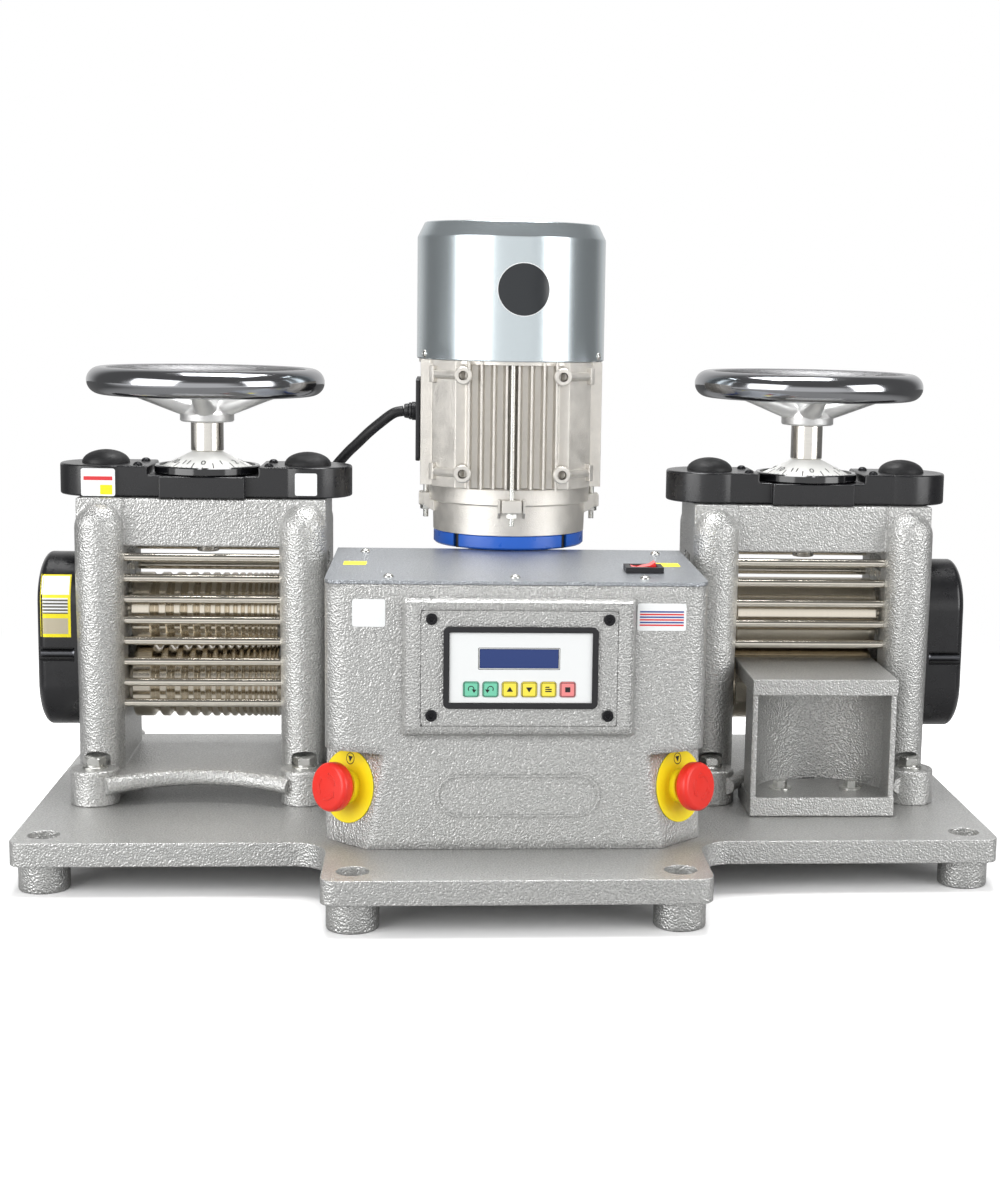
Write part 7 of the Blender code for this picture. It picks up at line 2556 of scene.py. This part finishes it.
@dataclass
class WrappedSticker(Assembly):
    """The yellow label that follows the left gear cover's front."""

    cover: GearCover
    left: float = -0.1426
    right: float = -0.1158
    low: float = 0.142
    high: float = 0.197
    edge: float = 0.0024
    bars: int = 5
    film: float = Sticker.film

    def zero(self) -> Vector:
        """The left stand's zero."""
        return DATUM.stand(Side.LEFT)

    def surface(self, x: float, z: float, proud: float) -> Point:
        """The place on the cover's front face for a place of the label.

        Args:
            x: The place across the cover.
            z: The place's height.
            proud: How far it stands out of the cover.

        Returns:
            The point.
        """
        cover = self.cover
        past = max(0.0, abs(x) - (cover.outer - cover.crown)) / cover.crown
        inset = cover.crown_reach * (1 - sqrt(max(0.0, 1 - past ** 2)))
        radius = cover.radius - inset + proud
        above = max(0.0, z - (cover.high - cover.radius))
        return (x, -sqrt(max(0.0, radius ** 2 - above ** 2)), z)

    def patch(self, inset: float, low: float, high: float, layer: int) -> Item:
        """A thin patch of the label laid on the cover.

        Args:
            inset: How far its sides are inside the label's.
            low: Its lower edge.
            high: Its upper edge.
            layer: How many layers of print are under it.

        Returns:
            The patch.
        """
        columns, rows = 10, 16
        left, right = self.left + inset, self.right - inset
        proud = self.film * (1 + 0.4 * layer)
        heights = [low + (high - low) * j / rows for j in range(rows + 1)]
        loops = []
        for x in [left + (right - left) * i / columns for i in range(columns + 1)]:
            loops.append([self.surface(x, z, proud) for z in heights]
                         + [self.surface(x, z, -self.film) for z in reversed(heights)])
        return skinned("patch", loops)

    def build(self) -> None:
        """Lay the yellow label, its grey field with bars, its tan and its white field."""
        low, edge = self.low, self.edge
        bars = [self.patch(edge, z, z + 1.3 * MM, 2)
                for z in [low + (22.2 + 2.9 * i) * MM for i in range(self.bars)]]
        for item, name, finish in (
                (self.patch(0.0, low, self.high, 0), "", YELLOW_STICKER),
                (self.patch(edge, low + 21 * MM, low + 35 * MM, 1), "_field", GREY_STICKER),
                (joined("bars", bars), "_bars", WHITE_STICKER),
                (self.patch(edge, low + 3 * MM, low + 17 * MM, 1), "_low", TAN_STICKER),
                (self.patch(edge / 2, low + 38 * MM, self.high - edge / 2, 1), "_head",
                 WHITE_STICKER)):
            self.add(item, f"sticker_gear_cover{name}", finish)


NODE_FINISHES: dict[str, Finish] = {
    "base_plate": HAMMER_PAINT, "left_stand": HAMMER_PAINT, "right_stand": HAMMER_PAINT,
    "housing": HOUSING_PAINT, "housing_lid": LID_PAINT, "panel_plate": HAMMER_PAINT,
    "rear_cover": HAMMER_PAINT, "work_table": HAMMER_PAINT, "gearbox": CAST_ALUMINIUM,
    "drive_shaft": BAR_STEEL, "motor_flange": BLUE_ENAMEL, "fan_cowl": COWL_PAINT,
    "motor_end_shield": CAST_ALUMINIUM, "motor_stator": CAST_ALUMINIUM,
    "motor_rotor": BAR_STEEL, "terminal_cover": BLACK_ABS, "motor_lead": JACKET,
    "keypad_frame": BLACK_ABS, "keypad_overlay": WHITE_FILM, "display": DISPLAY_GLASS,
    "key_1": MINT_KEY, "key_2": MINT_KEY, "key_3": YELLOW_KEY, "key_4": YELLOW_KEY,
    "key_5": YELLOW_KEY, "key_6": PINK_KEY, "switch_frame": BLACK_ABS, "rocker": RED_ROCKER,
}
SIDE_FINISHES: dict[str, Finish] = {
    "lower_roll": ROLL_STEEL, "upper_roll": ROLL_STEEL, "lower_gear": BAR_STEEL,
    "upper_gear": BAR_STEEL, "inner_chock": ZINC, "outer_chock": ZINC,
    "inner_screw": SPINDLE_STEEL, "outer_screw": SPINDLE_STEEL, "spindle": SPINDLE_STEEL,
    "dial": DIAL_FACE, "handwheel": CHROME, "gear_cover": BLACK_COVER,
    "top_cover": BLACK_COVER, "stop_body": YELLOW_PLATE, "stop_button": RED_KNOB,
}


def dress_nodes(nodes: dict[str, Item]) -> None:
    """Give every node of the frame its finish, before finer pieces replace some.

    Args:
        nodes: The frame's nodes by name.
    """
    finishes = dict(NODE_FINISHES)
    for side in Side:
        finishes.update({f"{side.label}_{name}": SIDE_FINISHES[name] for name in SIDE_FINISHES})
    for name, finish in finishes.items():
        materials = nodes[name].data.materials
        materials.clear()
        materials.append(paint(finish))


def main() -> None:
    """Load the frame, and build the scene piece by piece."""
    logging.basicConfig(level=logging.INFO, format="%(name)s: %(message)s")
    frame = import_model()
    Studio().build()
    dress_nodes(frame["nodes"])
    BasePlate().build()
    for side, rods, reach, rise in ((Side.LEFT, 8, 0.070, 0.0), (Side.RIGHT, 5, 0.040, 0.005)):
        Stand(side, rods, reach).build()
        Rolls(side, side is Side.LEFT).build()
        Handwheel(side, rise).build()
        TopCover(side).build()
        GearCover(side).build()
        EmergencyStop(side).build()
    Motor().build()
    MotorLead().build()
    ControlHousing().build()
    ControlPanel().build()
    WorkTable().build()
    for sticker in all_stickers():
        sticker.build()
    WrappedSticker(GearCover(Side.LEFT)).build()


if __name__ == "__main__":
    main()
